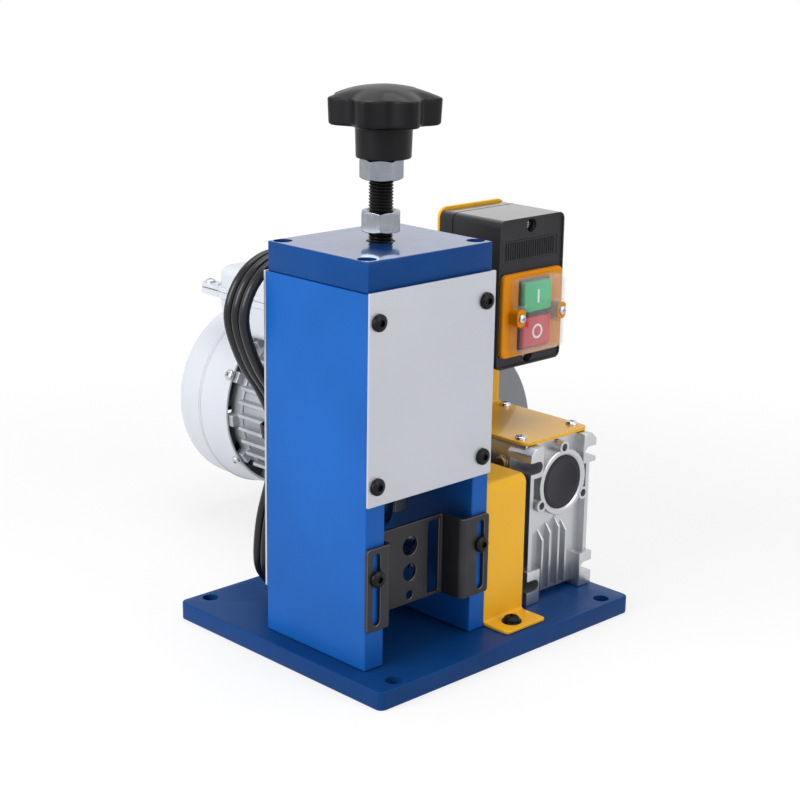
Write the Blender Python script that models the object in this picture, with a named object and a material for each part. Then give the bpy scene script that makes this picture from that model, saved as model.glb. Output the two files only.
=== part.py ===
"""Bench wire stripping machine: a blue two-plate column with a hand-pressed round blade over a
knurled feed roller, driven by a motor and worm reducer, with a guarded switch.

Metres, +Z up. The origin is the centre of the base plate's underside; the front is at -Y.
"""

import math
from dataclasses import dataclass

import bmesh
import bpy
from mathutils import Matrix, Vector

# Fits and cutting allowances
GAP = 0.0003
OVERRUN = 0.002
OVERLAP = 0.001

# Numbers of sides of round pieces
SHARP_EDGE_ANGLE = 35
SIDES_LARGE = 32
SIDES_MEDIUM = 20
SIDES_SMALL = 10
SIDES_HIDDEN = 8
CORNER_STEPS = 3

# Base plate
BASE_WIDTH = 0.240
BASE_DEPTH = 0.202
BASE_THICKNESS = 0.0125
BASE_CORNER_RADIUS = 0.005
BASE_EDGE_CHAMFER = 0.0010
BASE_HOLE_RADIUS = 0.0055
BASE_HOLE_FROM_SIDE = 0.0195
BASE_HOLE_FROM_END = 0.0095

# Column plates
MACHINE_SHIFT = 0.00585
SHAFT_SPACE = 0.0467
COLUMN_FROM_FRONT = 0.030
COLUMN_WIDTH = 0.109
COLUMN_DEPTH = 0.0945
LEFT_PLATE_THICKNESS = 0.016
RIGHT_PLATE_THICKNESS = 0.0145
SIDE_PLATE_HEIGHT = 0.242
TOP_PLATE_THICKNESS = 0.019
TOP_PLATE_INSET = 0.001
PLATE_EDGE_CHAMFER = 0.0006

# Socket screws of the frame
FRAME_BOLT_RADIUS = 0.004
FRAME_BOLT_HEAD_RADIUS = 0.0065
FRAME_BOLT_HEAD_HEIGHT = 0.008
FRAME_BOLT_RECESS = 0.0005
FRAME_BOLT_LENGTH = 0.021
FRAME_BOLT_FROM_FRONT = 0.010
FRAME_BOLT_FROM_BACK = 0.0075

# Button screws of the covers and the feed guide
BUTTON_HEAD_RADIUS = 0.0055
BUTTON_HEAD_HEIGHT = 0.0032
BUTTON_SHANK_RADIUS = 0.0025
BUTTON_LENGTH = 0.013
BUTTON_SOCKET_RADIUS = 0.0019
BUTTON_SOCKET_DEPTH = 0.0016
BUTTON_CROWN_SHARE = 0.55
SCREW_LINE_FROM_LEFT = 0.007
SCREW_LINE_FROM_RIGHT = 0.0085

# Front cover plate, measured up from the base plate's top
FRONT_COVER_THICKNESS = 0.0017
FRONT_COVER_BOTTOM = 0.109
FRONT_COVER_HEIGHT = 0.1345
FRONT_COVER_OVERHANG = 0.0004
FRONT_COVER_SCREW_FROM_TOP = 0.0185
FRONT_COVER_SCREW_FROM_BOTTOM = 0.0129

# Rear cover plate with the window where the stripped wire comes out
REAR_COVER_THICKNESS = 0.0017
REAR_COVER_BOTTOM = 0.0305
REAR_COVER_HEIGHT = 0.212
REAR_COVER_SCREW_FROM_END = 0.012
EXIT_WINDOW_WIDTH = 0.050
EXIT_WINDOW_BOTTOM = 0.0375
EXIT_WINDOW_HEIGHT = 0.060

# Feed guide, a bent strip with two slotted tabs and a set-back plate with holes
GUIDE_THICKNESS = 0.0026
GUIDE_BOTTOM = 0.027
GUIDE_HEIGHT = 0.055
GUIDE_SETBACK = 0.019
GUIDE_BEND = 0.003
GUIDE_TAB_OVERHANG_LEFT = 0.001
GUIDE_TAB_INSET_RIGHT = 0.0007
GUIDE_WEB_FROM_LEFT_PLATE = 0.0033
GUIDE_WEB_FROM_RIGHT_PLATE = 0.0101
GUIDE_SLOT_WIDTH = 0.0064
GUIDE_SLOT_FROM_END = 0.0035
GUIDE_SCREW_HEIGHT = 0.062
GUIDE_CORNER_RADIUS = 0.0025
GUIDE_HOLE_RADII = (0.0065, 0.00575, 0.0029)
GUIDE_HOLE_HEIGHT_SHARES = (0.72, 0.39, 0.105)
GUIDE_WINDOW_WIDTH = 0.010
GUIDE_WINDOW_RIM = 0.0024

# Pressure screw, nuts and star knob, heights above the top plate
SCREW_RADIUS = 0.0079
SCREW_COLLAR_RADIUS = 0.0105
SCREW_COLLAR_THICKNESS = 0.005
SCREW_FLOAT = 0.0006
NUT_ACROSS_FLATS = 0.024
NUT_HEIGHT = 0.013
NUT_CHAMFER = 0.0015
LOCK_NUT_LIFT = 0.0065
KNOB_NUT_LIFT = 0.039
KNOB_HUB_RADIUS = 0.018
KNOB_HUB_HEIGHT = 0.020
KNOB_HUB_CHAMFER = 0.002
KNOB_RIM_HEIGHT = 0.016
KNOB_DOME_HEIGHT = 0.009
KNOB_DOME_RADIUS_SHARES = (1.0, 0.8, 0.45)
KNOB_DOME_HEIGHT_SHARES = (0.35, 0.75, 0.94)
KNOB_RADIUS = 0.0362
KNOB_VALLEY_DEPTH = 0.0075
KNOB_LOBES = 7
KNOB_LOBE_STEPS = 6
KNOB_EDGE = 0.003
KNOB_SOCKET_DEPTH = 0.024

# Feed roller, blade and the carriage between the side plates
ROLLER_RADIUS = 0.017
ROLLER_WIDTH = 0.025
ROLLER_TEETH = 24
ROLLER_TOOTH_DEPTH = 0.0008
BLADE_RADIUS = 0.022
BLADE_THICKNESS = 0.003
BLADE_EDGE = 0.004
BLADE_HUB_RADIUS = 0.009
BLADE_HUB_WIDTH = 0.024
BLADE_LIFT = 0.008
AXLE_RADIUS = 0.005
AXLE_HEAD_RADIUS = 0.0075
AXLE_HEAD_THICKNESS = 0.003
CHEEK_THICKNESS = 0.010
CHEEK_DEPTH = 0.022
CHEEK_CLEARANCE = 0.0008
CARRIAGE_HEIGHT = 0.024
CARRIAGE_DEPTH = 0.040
CARRIAGE_SIDE_CLEARANCE = 0.001
CARRIAGE_BLADE_CLEARANCE = 0.003
RAIL_DEPTH = 0.010
RAIL_PROUD = 0.006
RAIL_LENGTH = 0.110
RAIL_START = 0.020
CAP_THICKNESS = 0.005
CAP_LENGTH = 0.044
CAP_SCREW_RADIUS = 0.002
CAP_SCREW_LENGTH = 0.010
CAP_SCREW_FROM_END = 0.006

# Drive shaft and its bearings in the column
SHAFT_RADIUS = 0.009
SHAFT_JOURNAL_RADIUS = 0.0075
SHAFT_BEARING_WIDTH = 0.010
LEFT_BEARING_RADIUS = 0.013
RIGHT_BEARING_RADIUS = 0.014

# Worm reducer
REDUCER_FROM_FRONT = 0.0338
REDUCER_WIDTH = 0.068
REDUCER_DEPTH = 0.1014
REDUCER_HEIGHT = 0.113
REDUCER_OUTPUT_HEIGHT = 0.0431
CENTRE_DISTANCE = 0.040
FOOT_WIDTH = 0.013
FOOT_LENGTH = 0.022
UPPER_FOOT_HEIGHT = 0.0217
LOWER_FOOT_HEIGHT = 0.0247
FOOT_SLOT_WIDTH = 0.0082
FOOT_SLOT_REACH = 0.0118
UPPER_SLOT_FROM_TOP = 0.014
LOWER_SLOT_FROM_BOTTOM = 0.0137
FOOT_TOP_CHAMFER = 0.005
FOOT_BOLT_INSET = 0.0062
CORE_SIDE_INSET = 0.003
CORE_BOTTOM_INSET = 0.003
CORE_FRONT_RECESS = 0.008
STRIP_WIDTH = 0.004
STRIP_RECESS = 0.003
RING_RADIUS = 0.0234
RING_BORE_RADIUS = 0.0191
RING_LUG_RADIUS = 0.0045
RING_LUG_CIRCLE = 0.025
RING_LUG_HOLE_RADIUS = 0.0027
RING_LUG_ANGLES = (90, 210, 330)
END_CAP_THICKNESS = 0.004
END_CAP_RECESS = 0.001
FRONT_FIN_THICKNESS = 0.002
FRONT_FIN_RECESS = 0.003
FRONT_FIN_PLACE_SHARES = (-0.46, -0.23, 0.03, 0.26)
FRONT_FIN_TOP_SHARES = (0.385, 0.42, 0.44, 0.40)
FRONT_FIN_BOTTOM_SHARE = 0.06
SIDE_COVER_RADIUS = 0.024
SIDE_COVER_THICKNESS = 0.0027
WORM_CAVITY_RADIUS = 0.0142
WORM_CAVITY_HALF_LENGTH = 0.024
WHEEL_CAVITY_CLEARANCE = 0.002
WHEEL_CAVITY_HALF_WIDTH = 0.012
WORM_BEARING_RADIUS = 0.0155
WORM_BEARING_WIDTH = 0.009
WHEEL_BEARING_RADIUS = 0.020
WHEEL_BEARING_WIDTH = 0.011
OIL_PLUG_RADIUS = 0.0045
OIL_PLUG_HEAD_THICKNESS = 0.003
OIL_PLUG_STEM_RADIUS = 0.003
OIL_PLUG_STEM_LENGTH = 0.005
OIL_PLUG_DROP = 0.016

# Worm gearing
GEAR_MODULE = 0.002
WHEEL_TEETH = 30
WHEEL_WIDTH = 0.014
TOOTH_ADDENDUM = 0.0016
TOOTH_DEDENDUM = 0.0026
TOOTH_THICKNESS_SHARE = 0.36
TOOTH_TIP_SHARE = 0.6
WORM_LENGTH = 0.032
WORM_ADDENDUM = 0.0016
WORM_ROOT_RADIUS = 0.0076
WORM_BORE_RADIUS = 0.0048
WORM_THREAD_STEPS = 10

# Motor
MOTOR_FLANGE_RADIUS = 0.079
MOTOR_FLANGE_THICKNESS = 0.012
MOTOR_BODY_RADIUS = 0.066
MOTOR_ROOT_RADIUS = 0.060
MOTOR_BORE_RADIUS = 0.050
MOTOR_BODY_LENGTH = 0.160
MOTOR_FIN_PITCH = 0.0105
MOTOR_FIN_THICKNESS = 0.0028
MOTOR_FIN_COUNT_EACH_SIDE = 4
STATOR_RADIUS = 0.0496
STATOR_BORE_RADIUS = 0.030
STATOR_LENGTH = 0.090
ROTOR_RADIUS = 0.0292
ROTOR_LENGTH = 0.080
MOTOR_SHAFT_RADIUS = 0.007
MOTOR_SHAFT_FRONT_RADIUS = 0.0045
MOTOR_SHAFT_REAR_RADIUS = 0.006
MOTOR_SHAFT_REACH_FRONT = 0.030
FRONT_BEARING_RADIUS = 0.0155
MOTOR_BEARING_WIDTH = 0.008
REAR_BEARING_RADIUS = 0.013
END_SHIELD_THICKNESS = 0.014
END_SHIELD_RADIUS = 0.061
END_SHIELD_PADS = 12
END_SHIELD_PAD_WIDTH = 0.009
END_SHIELD_PAD_START = 0.008
END_SHIELD_PAD_CLEARANCE = 0.0009
PAD_FIRST_ANGLE = 5
FAN_HUB_RADIUS = 0.013
FAN_BLADE_RADIUS = 0.060
FAN_BLADE_THICKNESS = 0.003
FAN_BLADES = 8
FAN_WIDTH = 0.016
FAN_SETBACK = 0.006
COVER_RIM_SETBACK = 0.0085
COVER_RIM_RADIUS = 0.0700
COVER_RIDGE_RADIUS = 0.0736
COVER_BACK_RADIUS = 0.0730
COVER_RIDGE_AT = 0.0285
COVER_STRAIGHT_TO = 0.0495
COVER_EDGE_RADIUS = 0.011
COVER_WALL = 0.0018
COVER_VENTS = 8
COVER_VENT_WIDTH = 0.006
COVER_VENT_INNER = 0.018
COVER_VENT_OUTER = 0.048
COVER_SCREW_ANGLES = (35, 155, 215, 335)
COVER_SCREW_RADIUS = 0.002
COVER_SCREW_LENGTH = 0.010

# Terminal box on the motor, heights above the motor's axis
TERMINAL_WIDTH = 0.122
TERMINAL_LENGTH = 0.124
TERMINAL_REAR_PAST_BODY = 0.0385
TERMINAL_BOTTOM = 0.0584
TERMINAL_RIM_BOTTOM = 0.0869
TERMINAL_RIM_TOP = 0.0919
TERMINAL_RIM_WIDTH = 0.0025
TERMINAL_TOP = 0.1114
TERMINAL_WALL = 0.003
TERMINAL_FLOOR = 0.0765
TERMINAL_CORNER_RADIUS = 0.016
TERMINAL_UNDER_RADIUS = 0.022
LID_LIP = 0.0033
LID_EDGE_RADIUS = 0.007
LUG_RADIUS = 0.007
LUG_FROM_CORNER_X = 0.0085
LUG_OUT_Y = 0.0095
LUG_SCREW_RADIUS = 0.002
CAPACITOR_RADIUS = 0.0145
CAPACITOR_LENGTH = 0.070
CAPACITOR_SIDE = 0.030

# Yellow guard over the drive shaft
GUARD_THICKNESS = 0.002
GUARD_FROM_COLUMN = 0.0005
GUARD_WIDTH = 0.0385
GUARD_FOOT_LENGTH = 0.022
GUARD_FRONT_BEHIND_COLUMN_FRONT = 0.001
GUARD_LENGTH = 0.093
GUARD_HEIGHT = 0.099
GUARD_BEND = 0.005
GUARD_FOOT_BEND = 0.003
GUARD_CORNER_RADIUS = 0.003
GUARD_BOLT_RADIUS = 0.003
GUARD_BOLT_PLACE_SHARE = 0.42

# Yellow switch bracket
BRACKET_THICKNESS = 0.0022
BRACKET_FROM_REDUCER_FRONT = 0.006
BRACKET_SIDE_INSET = 0.0012
BRACKET_BACK_FROM_REDUCER_BACK = 0.0065
BRACKET_HEIGHT = 0.1515
BRACKET_BEND = 0.0035
BRACKET_CORNER_RADIUS = 0.007
BRACKET_SCREW_FROM_SIDE = 0.0065
BRACKET_SCREW_FROM_FRONT = 0.011
BRACKET_SCREW_FROM_BACK = 0.0145
PAN_SHANK_RADIUS = 0.002
PAN_LENGTH = 0.009

# Switch box
SWITCH_WIDTH = 0.0652
SWITCH_DEPTH = 0.0562
SWITCH_HEIGHT = 0.103
SWITCH_FROM_BRACKET_TOP = 0.002
SWITCH_WALL = 0.0025
SWITCH_EDGE_RADIUS = 0.005
SWITCH_RIM = 0.0016
SWITCH_FACE_RECESS = 0.0012
SWITCH_SCREW_FROM_END = 0.0062
SWITCH_SCREW_WELL_RADIUS = 0.0046
SWITCH_SCREW_WELL_DEPTH = 0.006
NAME_PANEL_WIDTH = 0.053
NAME_PANEL_HEIGHT = 0.0145
NAME_PANEL_FROM_TOP = 0.0222
NAME_PANEL_DEPTH = 0.0006

# Yellow switch plate, module, clear cover and buttons
PLATE_WIDTH = 0.0612
PLATE_HEIGHT = 0.058
PLATE_THICKNESS = 0.0035
PLATE_FROM_BOX_BOTTOM = 0.008
PLATE_EDGE = 0.0015
EAR_SPACING = 0.0412
EAR_WIDTH = 0.0085
EAR_HEIGHT = 0.012
EAR_REACH = 0.0085
EAR_SCREW_RADIUS = 0.0013
EAR_SCREW_LENGTH = 0.0075
MODULE_WIDTH = 0.0294
MODULE_HEIGHT = 0.048
MODULE_PROUD = 0.0015
MODULE_DEPTH = 0.046
BUTTON_WIDTH = 0.0272
BUTTON_TALL = 0.0205
BUTTON_PITCH = 0.0245
BUTTON_PROUD = 0.0030
BUTTON_DEPTH = 0.012
BUTTON_TRAVEL = 0.0035
BUTTON_EDGE = 0.0008
BUTTON_POCKET_CLEARANCE = 0.0004
DOME_WIDTH = 0.045
DOME_HEIGHT = 0.051
DOME_PROUD = 0.0105
DOME_WALL = 0.0010
DOME_EDGE = 0.004
DOME_NOTCH_CLEARANCE = 0.0003

# Cord gland, and the hole for the motor's lead in the terminal box
GLAND_NUT_RADIUS = 0.0062
GLAND_TIP_RADIUS = 0.0048
GLAND_NUT_LENGTH = 0.007
GLAND_LENGTH = 0.0123
LEAD_HOLE_RADIUS = 0.0037
CORD_GLAND_FROM_BOX_LEFT = 0.0064
CORD_GLAND_FROM_BOX_BACK = 0.0082
LEAD_HOLE_SIDE = -0.030
LEAD_HOLE_BELOW_RIM = 0.010

# Power cord
CORD_DIAMETER = 0.007
RUN_SPACING = 0.015
RUN_BEVEL_RESOLUTION = 2
HANK_BEVEL_RESOLUTION = 1
HANK_TURNS = 3
HANK_TOP_X = -0.0815
HANK_TOP_Z = 0.2245
HANK_BOTTOM_X = -0.0460
HANK_LOBE_RADIUS = 0.035
HANK_WAIST = 0.0090
HANK_PITCH = 0.0076
HANK_LEAN = 0.025
HANK_ARC_STEPS = 6
HANK_SIDE_STEPS = 6
TAIL_BEND_RADIUS = 0.028
TAIL_STEPS = 5
LEAST_SELF_GAP = 0.0004
TIE_WIDTH = 0.010
TIE_SLACK = 0.0018
TIE_THICKNESS = 0.0015
TIE_CORNER = 0.004

# Mains plug
PLUG_RELIEF_LENGTH = 0.022
PLUG_RELIEF_RADIUS = 0.0065
PLUG_LENGTH = 0.030
PLUG_WIDTH = 0.030
PLUG_THICKNESS = 0.020
PLUG_EDGE = 0.004
PIN_RADIUS = 0.0024
PIN_LENGTH = 0.016
PIN_SPACING = 0.019

# Route of the cord from the switch box's gland to the hank, chosen by hand
CORD_ROUTE = (
    (0.0575, 0.0170, 0.1597),
    (0.0575, 0.0170, 0.1527),
    (0.0564, 0.0173, 0.1447),
    (0.0532, 0.0182, 0.1377),
    (0.0483, 0.0200, 0.1316),
    (0.0430, 0.0218, 0.1277),
    (0.0380, 0.0240, 0.1245),
    (0.0335, 0.0260, 0.1185),
    (0.0298, 0.0280, 0.1085),
    (0.0265, 0.0296, 0.0960),
    (0.0235, 0.0302, 0.0840),
    (0.0195, 0.0304, 0.0720),
    (0.0140, 0.0308, 0.0600),
    (0.0070, 0.0322, 0.0490),
    (-0.0005, 0.0352, 0.0385),
    (-0.0085, 0.0398, 0.0290),
    (-0.0165, 0.0450, 0.0220),
    (-0.0245, 0.0490, 0.0178),
    (-0.0317, 0.0505, 0.0163),
    (-0.0387, 0.0505, 0.0163),
)

# Places worked out from the sizes above
BASE_FRONT = -BASE_DEPTH / 2
BASE_TOP = BASE_THICKNESS
DECK = BASE_TOP + GAP

COLUMN_LEFT = MACHINE_SHIFT - (COLUMN_WIDTH + SHAFT_SPACE + REDUCER_WIDTH) / 2
COLUMN_RIGHT = COLUMN_LEFT + COLUMN_WIDTH
COLUMN_X = (COLUMN_LEFT + COLUMN_RIGHT) / 2
COLUMN_FRONT = BASE_FRONT + COLUMN_FROM_FRONT
COLUMN_BACK = COLUMN_FRONT + COLUMN_DEPTH
SCREW_Y = (COLUMN_FRONT + COLUMN_BACK) / 2
LEFT_INNER = COLUMN_LEFT + LEFT_PLATE_THICKNESS
RIGHT_INNER = COLUMN_RIGHT - RIGHT_PLATE_THICKNESS
SIDE_TOP = DECK + SIDE_PLATE_HEIGHT
TOP_BOTTOM = SIDE_TOP + GAP
TOP_TOP = TOP_BOTTOM + TOP_PLATE_THICKNESS
LEFT_BOLT_X = COLUMN_LEFT + LEFT_PLATE_THICKNESS / 2
RIGHT_BOLT_X = COLUMN_RIGHT - RIGHT_PLATE_THICKNESS / 2
FRONT_BOLT_Y = COLUMN_FRONT + FRAME_BOLT_FROM_FRONT
BACK_BOLT_Y = COLUMN_BACK - FRAME_BOLT_FROM_BACK
LEFT_SCREW_X = COLUMN_LEFT + SCREW_LINE_FROM_LEFT
RIGHT_SCREW_X = COLUMN_RIGHT - SCREW_LINE_FROM_RIGHT
FRONT_COVER_LOW = BASE_TOP + FRONT_COVER_BOTTOM
FRONT_COVER_HIGH = FRONT_COVER_LOW + FRONT_COVER_HEIGHT
REAR_COVER_LOW = BASE_TOP + REAR_COVER_BOTTOM
REAR_COVER_HIGH = REAR_COVER_LOW + REAR_COVER_HEIGHT
REAR_FACE = COLUMN_BACK + GAP + REAR_COVER_THICKNESS
FRONT_SCREW_HEIGHTS = (
    FRONT_COVER_LOW + FRONT_COVER_SCREW_FROM_BOTTOM,
    FRONT_COVER_HIGH - FRONT_COVER_SCREW_FROM_TOP,
)
REAR_SCREW_HEIGHTS = (
    REAR_COVER_LOW + REAR_COVER_SCREW_FROM_END,
    REAR_COVER_HIGH - REAR_COVER_SCREW_FROM_END,
)
GUIDE_LOW = BASE_TOP + GUIDE_BOTTOM
GUIDE_HIGH = GUIDE_LOW + GUIDE_HEIGHT
GUIDE_SCREW_Z = BASE_TOP + GUIDE_SCREW_HEIGHT

REDUCER_X = COLUMN_RIGHT + SHAFT_SPACE + REDUCER_WIDTH / 2
REDUCER_FRONT = BASE_FRONT + REDUCER_FROM_FRONT
REDUCER_BACK = REDUCER_FRONT + REDUCER_DEPTH
REDUCER_TOP = DECK + REDUCER_HEIGHT
SHAFT_Y = (REDUCER_FRONT + REDUCER_BACK) / 2
SHAFT_Z = BASE_TOP + REDUCER_OUTPUT_HEIGHT
MOTOR_X = REDUCER_X
MOTOR_Z = SHAFT_Z + CENTRE_DISTANCE

BLADE_Z = SHAFT_Z + ROLLER_RADIUS + BLADE_LIFT + BLADE_RADIUS
CARRIAGE_LOW = BLADE_Z + BLADE_RADIUS + CARRIAGE_BLADE_CLEARANCE
CARRIAGE_HIGH = CARRIAGE_LOW + CARRIAGE_HEIGHT
COLLAR_POCKET_DEPTH = SCREW_COLLAR_THICKNESS + SCREW_FLOAT
CHEEK_INNER = BLADE_HUB_WIDTH / 2 + CHEEK_CLEARANCE
CHEEK_OUTER = CHEEK_INNER + CHEEK_THICKNESS

FLANGE_FRONT = REDUCER_BACK + GAP
FLANGE_BACK = FLANGE_FRONT + MOTOR_FLANGE_THICKNESS
BODY_FRONT = FLANGE_BACK + GAP
BODY_BACK = BODY_FRONT + MOTOR_BODY_LENGTH
SHIELD_FRONT = BODY_BACK + GAP
SHIELD_BACK = SHIELD_FRONT + END_SHIELD_THICKNESS
COVER_FRONT = BODY_BACK + COVER_RIM_SETBACK
COVER_BACK = COVER_FRONT + COVER_STRAIGHT_TO + COVER_EDGE_RADIUS
FAN_FRONT = SHIELD_BACK + FAN_SETBACK
FAN_BACK = FAN_FRONT + FAN_WIDTH
STATOR_MIDDLE = (BODY_FRONT + BODY_BACK) / 2

TERMINAL_BACK = BODY_BACK + TERMINAL_REAR_PAST_BODY
TERMINAL_FRONT = TERMINAL_BACK - TERMINAL_LENGTH
TERMINAL_LEFT = MOTOR_X - TERMINAL_WIDTH / 2
TERMINAL_RIGHT = MOTOR_X + TERMINAL_WIDTH / 2
RIM_LOW = MOTOR_Z + TERMINAL_RIM_BOTTOM
RIM_HIGH = MOTOR_Z + TERMINAL_RIM_TOP
LID_LOW = RIM_HIGH + GAP
LID_HIGH = MOTOR_Z + TERMINAL_TOP
LUG_PLACES = tuple(
    (x, y)
    for x in (TERMINAL_LEFT + LUG_FROM_CORNER_X, TERMINAL_RIGHT - LUG_FROM_CORNER_X)
    for y in (TERMINAL_FRONT - LUG_OUT_Y, TERMINAL_BACK + LUG_OUT_Y)
)

GUARD_LEFT = COLUMN_RIGHT + GUARD_FROM_COLUMN
GUARD_RIGHT = GUARD_LEFT + GUARD_WIDTH
GUARD_FRONT = COLUMN_FRONT + GUARD_FRONT_BEHIND_COLUMN_FRONT
GUARD_BACK = GUARD_FRONT + GUARD_LENGTH
GUARD_TOP = BASE_TOP + GUARD_HEIGHT
GUARD_BOLT_X = GUARD_LEFT + GUARD_WIDTH * GUARD_BOLT_PLACE_SHARE
GUARD_BOLT_YS = (GUARD_FRONT - GUARD_FOOT_LENGTH / 2, GUARD_BACK + GUARD_FOOT_LENGTH / 2)

BRACKET_LOW = REDUCER_TOP + GAP
BRACKET_FLOOR = BRACKET_LOW + BRACKET_THICKNESS
BRACKET_TOP = BRACKET_LOW + BRACKET_HEIGHT
BRACKET_LEFT = REDUCER_X - REDUCER_WIDTH / 2 + BRACKET_SIDE_INSET
BRACKET_RIGHT = REDUCER_X + REDUCER_WIDTH / 2 - BRACKET_SIDE_INSET
BRACKET_FRONT = REDUCER_FRONT + BRACKET_FROM_REDUCER_FRONT
BRACKET_BACK = REDUCER_BACK - BRACKET_BACK_FROM_REDUCER_BACK
BRACKET_SCREW_PLACES = tuple(
    (x, y)
    for x in (BRACKET_LEFT + BRACKET_SCREW_FROM_SIDE, BRACKET_RIGHT - BRACKET_SCREW_FROM_SIDE)
    for y in (BRACKET_FRONT + BRACKET_SCREW_FROM_FRONT, BRACKET_BACK - BRACKET_SCREW_FROM_BACK)
)

BOX_BACK = BRACKET_BACK - BRACKET_THICKNESS - GAP
BOX_FRONT = BOX_BACK - SWITCH_DEPTH
BOX_FACE = BOX_FRONT + SWITCH_FACE_RECESS
BOX_HIGH = BRACKET_TOP - SWITCH_FROM_BRACKET_TOP
BOX_LOW = BOX_HIGH - SWITCH_HEIGHT
BOX_LEFT = REDUCER_X - SWITCH_WIDTH / 2
BOX_RIGHT = REDUCER_X + SWITCH_WIDTH / 2
PLATE_LOW = BOX_LOW + PLATE_FROM_BOX_BOTTOM
PLATE_HIGH = PLATE_LOW + PLATE_HEIGHT
PLATE_BACK = BOX_FACE - GAP
PLATE_FRONT = PLATE_BACK - PLATE_THICKNESS
PLATE_Z = (PLATE_LOW + PLATE_HIGH) / 2
EAR_FRONT = PLATE_FRONT - EAR_REACH
MODULE_FRONT = PLATE_FRONT - MODULE_PROUD
MODULE_BACK = MODULE_FRONT + MODULE_DEPTH
BUTTON_FRONT = MODULE_FRONT - BUTTON_PROUD
BUTTON_HEIGHTS = {
    "start_button": PLATE_Z + BUTTON_PITCH / 2,
    "stop_button": PLATE_Z - BUTTON_PITCH / 2,
}
DOME_BACK = PLATE_FRONT - GAP
DOME_FRONT = DOME_BACK - DOME_PROUD

CORD_RADIUS = CORD_DIAMETER / 2
CORD_GLAND = (BOX_LEFT + CORD_GLAND_FROM_BOX_LEFT, BOX_BACK - CORD_GLAND_FROM_BOX_BACK)
HANK_BOTTOM_Z = DECK + CORD_RADIUS + HANK_LOBE_RADIUS


@dataclass(frozen=True)
class Finish:
    """A painted, plated or moulded surface."""

    colour: tuple
    roughness: float
    metallic: float = 0.0


BLUE_PAINT = Finish((0.012, 0.10, 0.36), 0.32)
YELLOW_PAINT = Finish((0.95, 0.50, 0.02), 0.35)
COVER_ALUMINIUM = Finish((0.80, 0.81, 0.83), 0.38, 0.7)
CAST_ALUMINIUM = Finish((0.55, 0.56, 0.58), 0.45, 0.8)
MACHINED_STEEL = Finish((0.50, 0.51, 0.53), 0.32, 0.9)
ZINC = Finish((0.72, 0.73, 0.74), 0.28, 0.9)
BLACK_STEEL = Finish((0.015, 0.015, 0.017), 0.42, 0.3)
BLACK_PLASTIC = Finish((0.018, 0.018, 0.020), 0.45)
CHARCOAL_PLASTIC = Finish((0.035, 0.036, 0.040), 0.42)
GREY_PAINT = Finish((0.33, 0.34, 0.36), 0.45)
PALE_PAINT = Finish((0.72, 0.74, 0.77), 0.38)
CORD_RUBBER = Finish((0.012, 0.012, 0.014), 0.36)
GREEN_PLASTIC = Finish((0.02, 0.45, 0.20), 0.35)
RED_PLASTIC = Finish((0.70, 0.03, 0.04), 0.35)
CLEAR_PLASTIC = Finish((0.85, 0.88, 0.90), 0.12)
BRONZE = Finish((0.62, 0.40, 0.18), 0.35, 0.9)
LAMINATED_STEEL = Finish((0.30, 0.30, 0.32), 0.50, 0.7)


def place(axis, across, up, along):
    """Turn two profile coordinates and a depth along an axis into a point."""
    if axis == "X":
        return Vector((along, across, up))
    if axis == "Y":
        return Vector((across, along, up))
    return Vector((across, up, along))


def circle(radius, centre, sides, start=0.0):
    """Points of a circle, counted from an angle in degrees."""
    points = []
    for index in range(sides):
        angle = math.radians(start) + math.tau * index / sides
        points.append((centre[0] + radius * math.cos(angle), centre[1] + radius * math.sin(angle)))
    return points


def arc(centre, radius, first, last, steps):
    """Points along an arc between two angles in degrees, both ends included."""
    points = []
    for index in range(steps + 1):
        angle = math.radians(first + (last - first) * index / steps)
        points.append((centre[0] + radius * math.cos(angle), centre[1] + radius * math.sin(angle)))
    return points


def rounded_rectangle(low, high, radius, steps=CORNER_STEPS):
    """Outline of a rectangle with round corners."""
    corners = (
        ((high[0] - radius, high[1] - radius), 0),
        ((low[0] + radius, high[1] - radius), 90),
        ((low[0] + radius, low[1] + radius), 180),
        ((high[0] - radius, low[1] + radius), 270),
    )
    points = []
    for centre, first in corners:
        points += arc(centre, radius, first, first + 90, steps)
    return points


def hexagon(across_flats, centre, start=0.0):
    """Outline of a hexagon from its size across flats."""
    return circle(across_flats / math.sqrt(3), centre, 6, start)


def bent_sheet(path, thickness, bends, steps=CORNER_STEPS):
    """Outline of a sheet bent along a path of its middle line, with a middle radius at each bend."""
    left = []
    right = []
    half = thickness / 2
    for index, point in enumerate(path):
        here = Vector(point)
        if index in (0, len(path) - 1):
            other = Vector(path[1]) if index == 0 else Vector(path[-2])
            along = (other - here).normalized() if index == 0 else (here - other).normalized()
            normal = Vector((-along.y, along.x))
            left.append(here + normal * half)
            right.append(here - normal * half)
            continue
        before = (here - Vector(path[index - 1])).normalized()
        after = (Vector(path[index + 1]) - here).normalized()
        turn = math.atan2(before.cross(after), before.dot(after))
        side = math.copysign(1.0, turn)
        radius = bends[index - 1]
        start = here - before * radius * math.tan(abs(turn) / 2)
        centre = start + Vector((-before.y, before.x)) * side * radius
        for step in range(steps + 1):
            swing = Matrix.Rotation(turn * step / steps, 2)
            spoke = swing @ (start - centre)
            outward = spoke.normalized() * side
            left.append(centre + spoke - outward * half)
            right.append(centre + spoke + outward * half)
    return [tuple(point) for point in left + right[::-1]]


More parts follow.
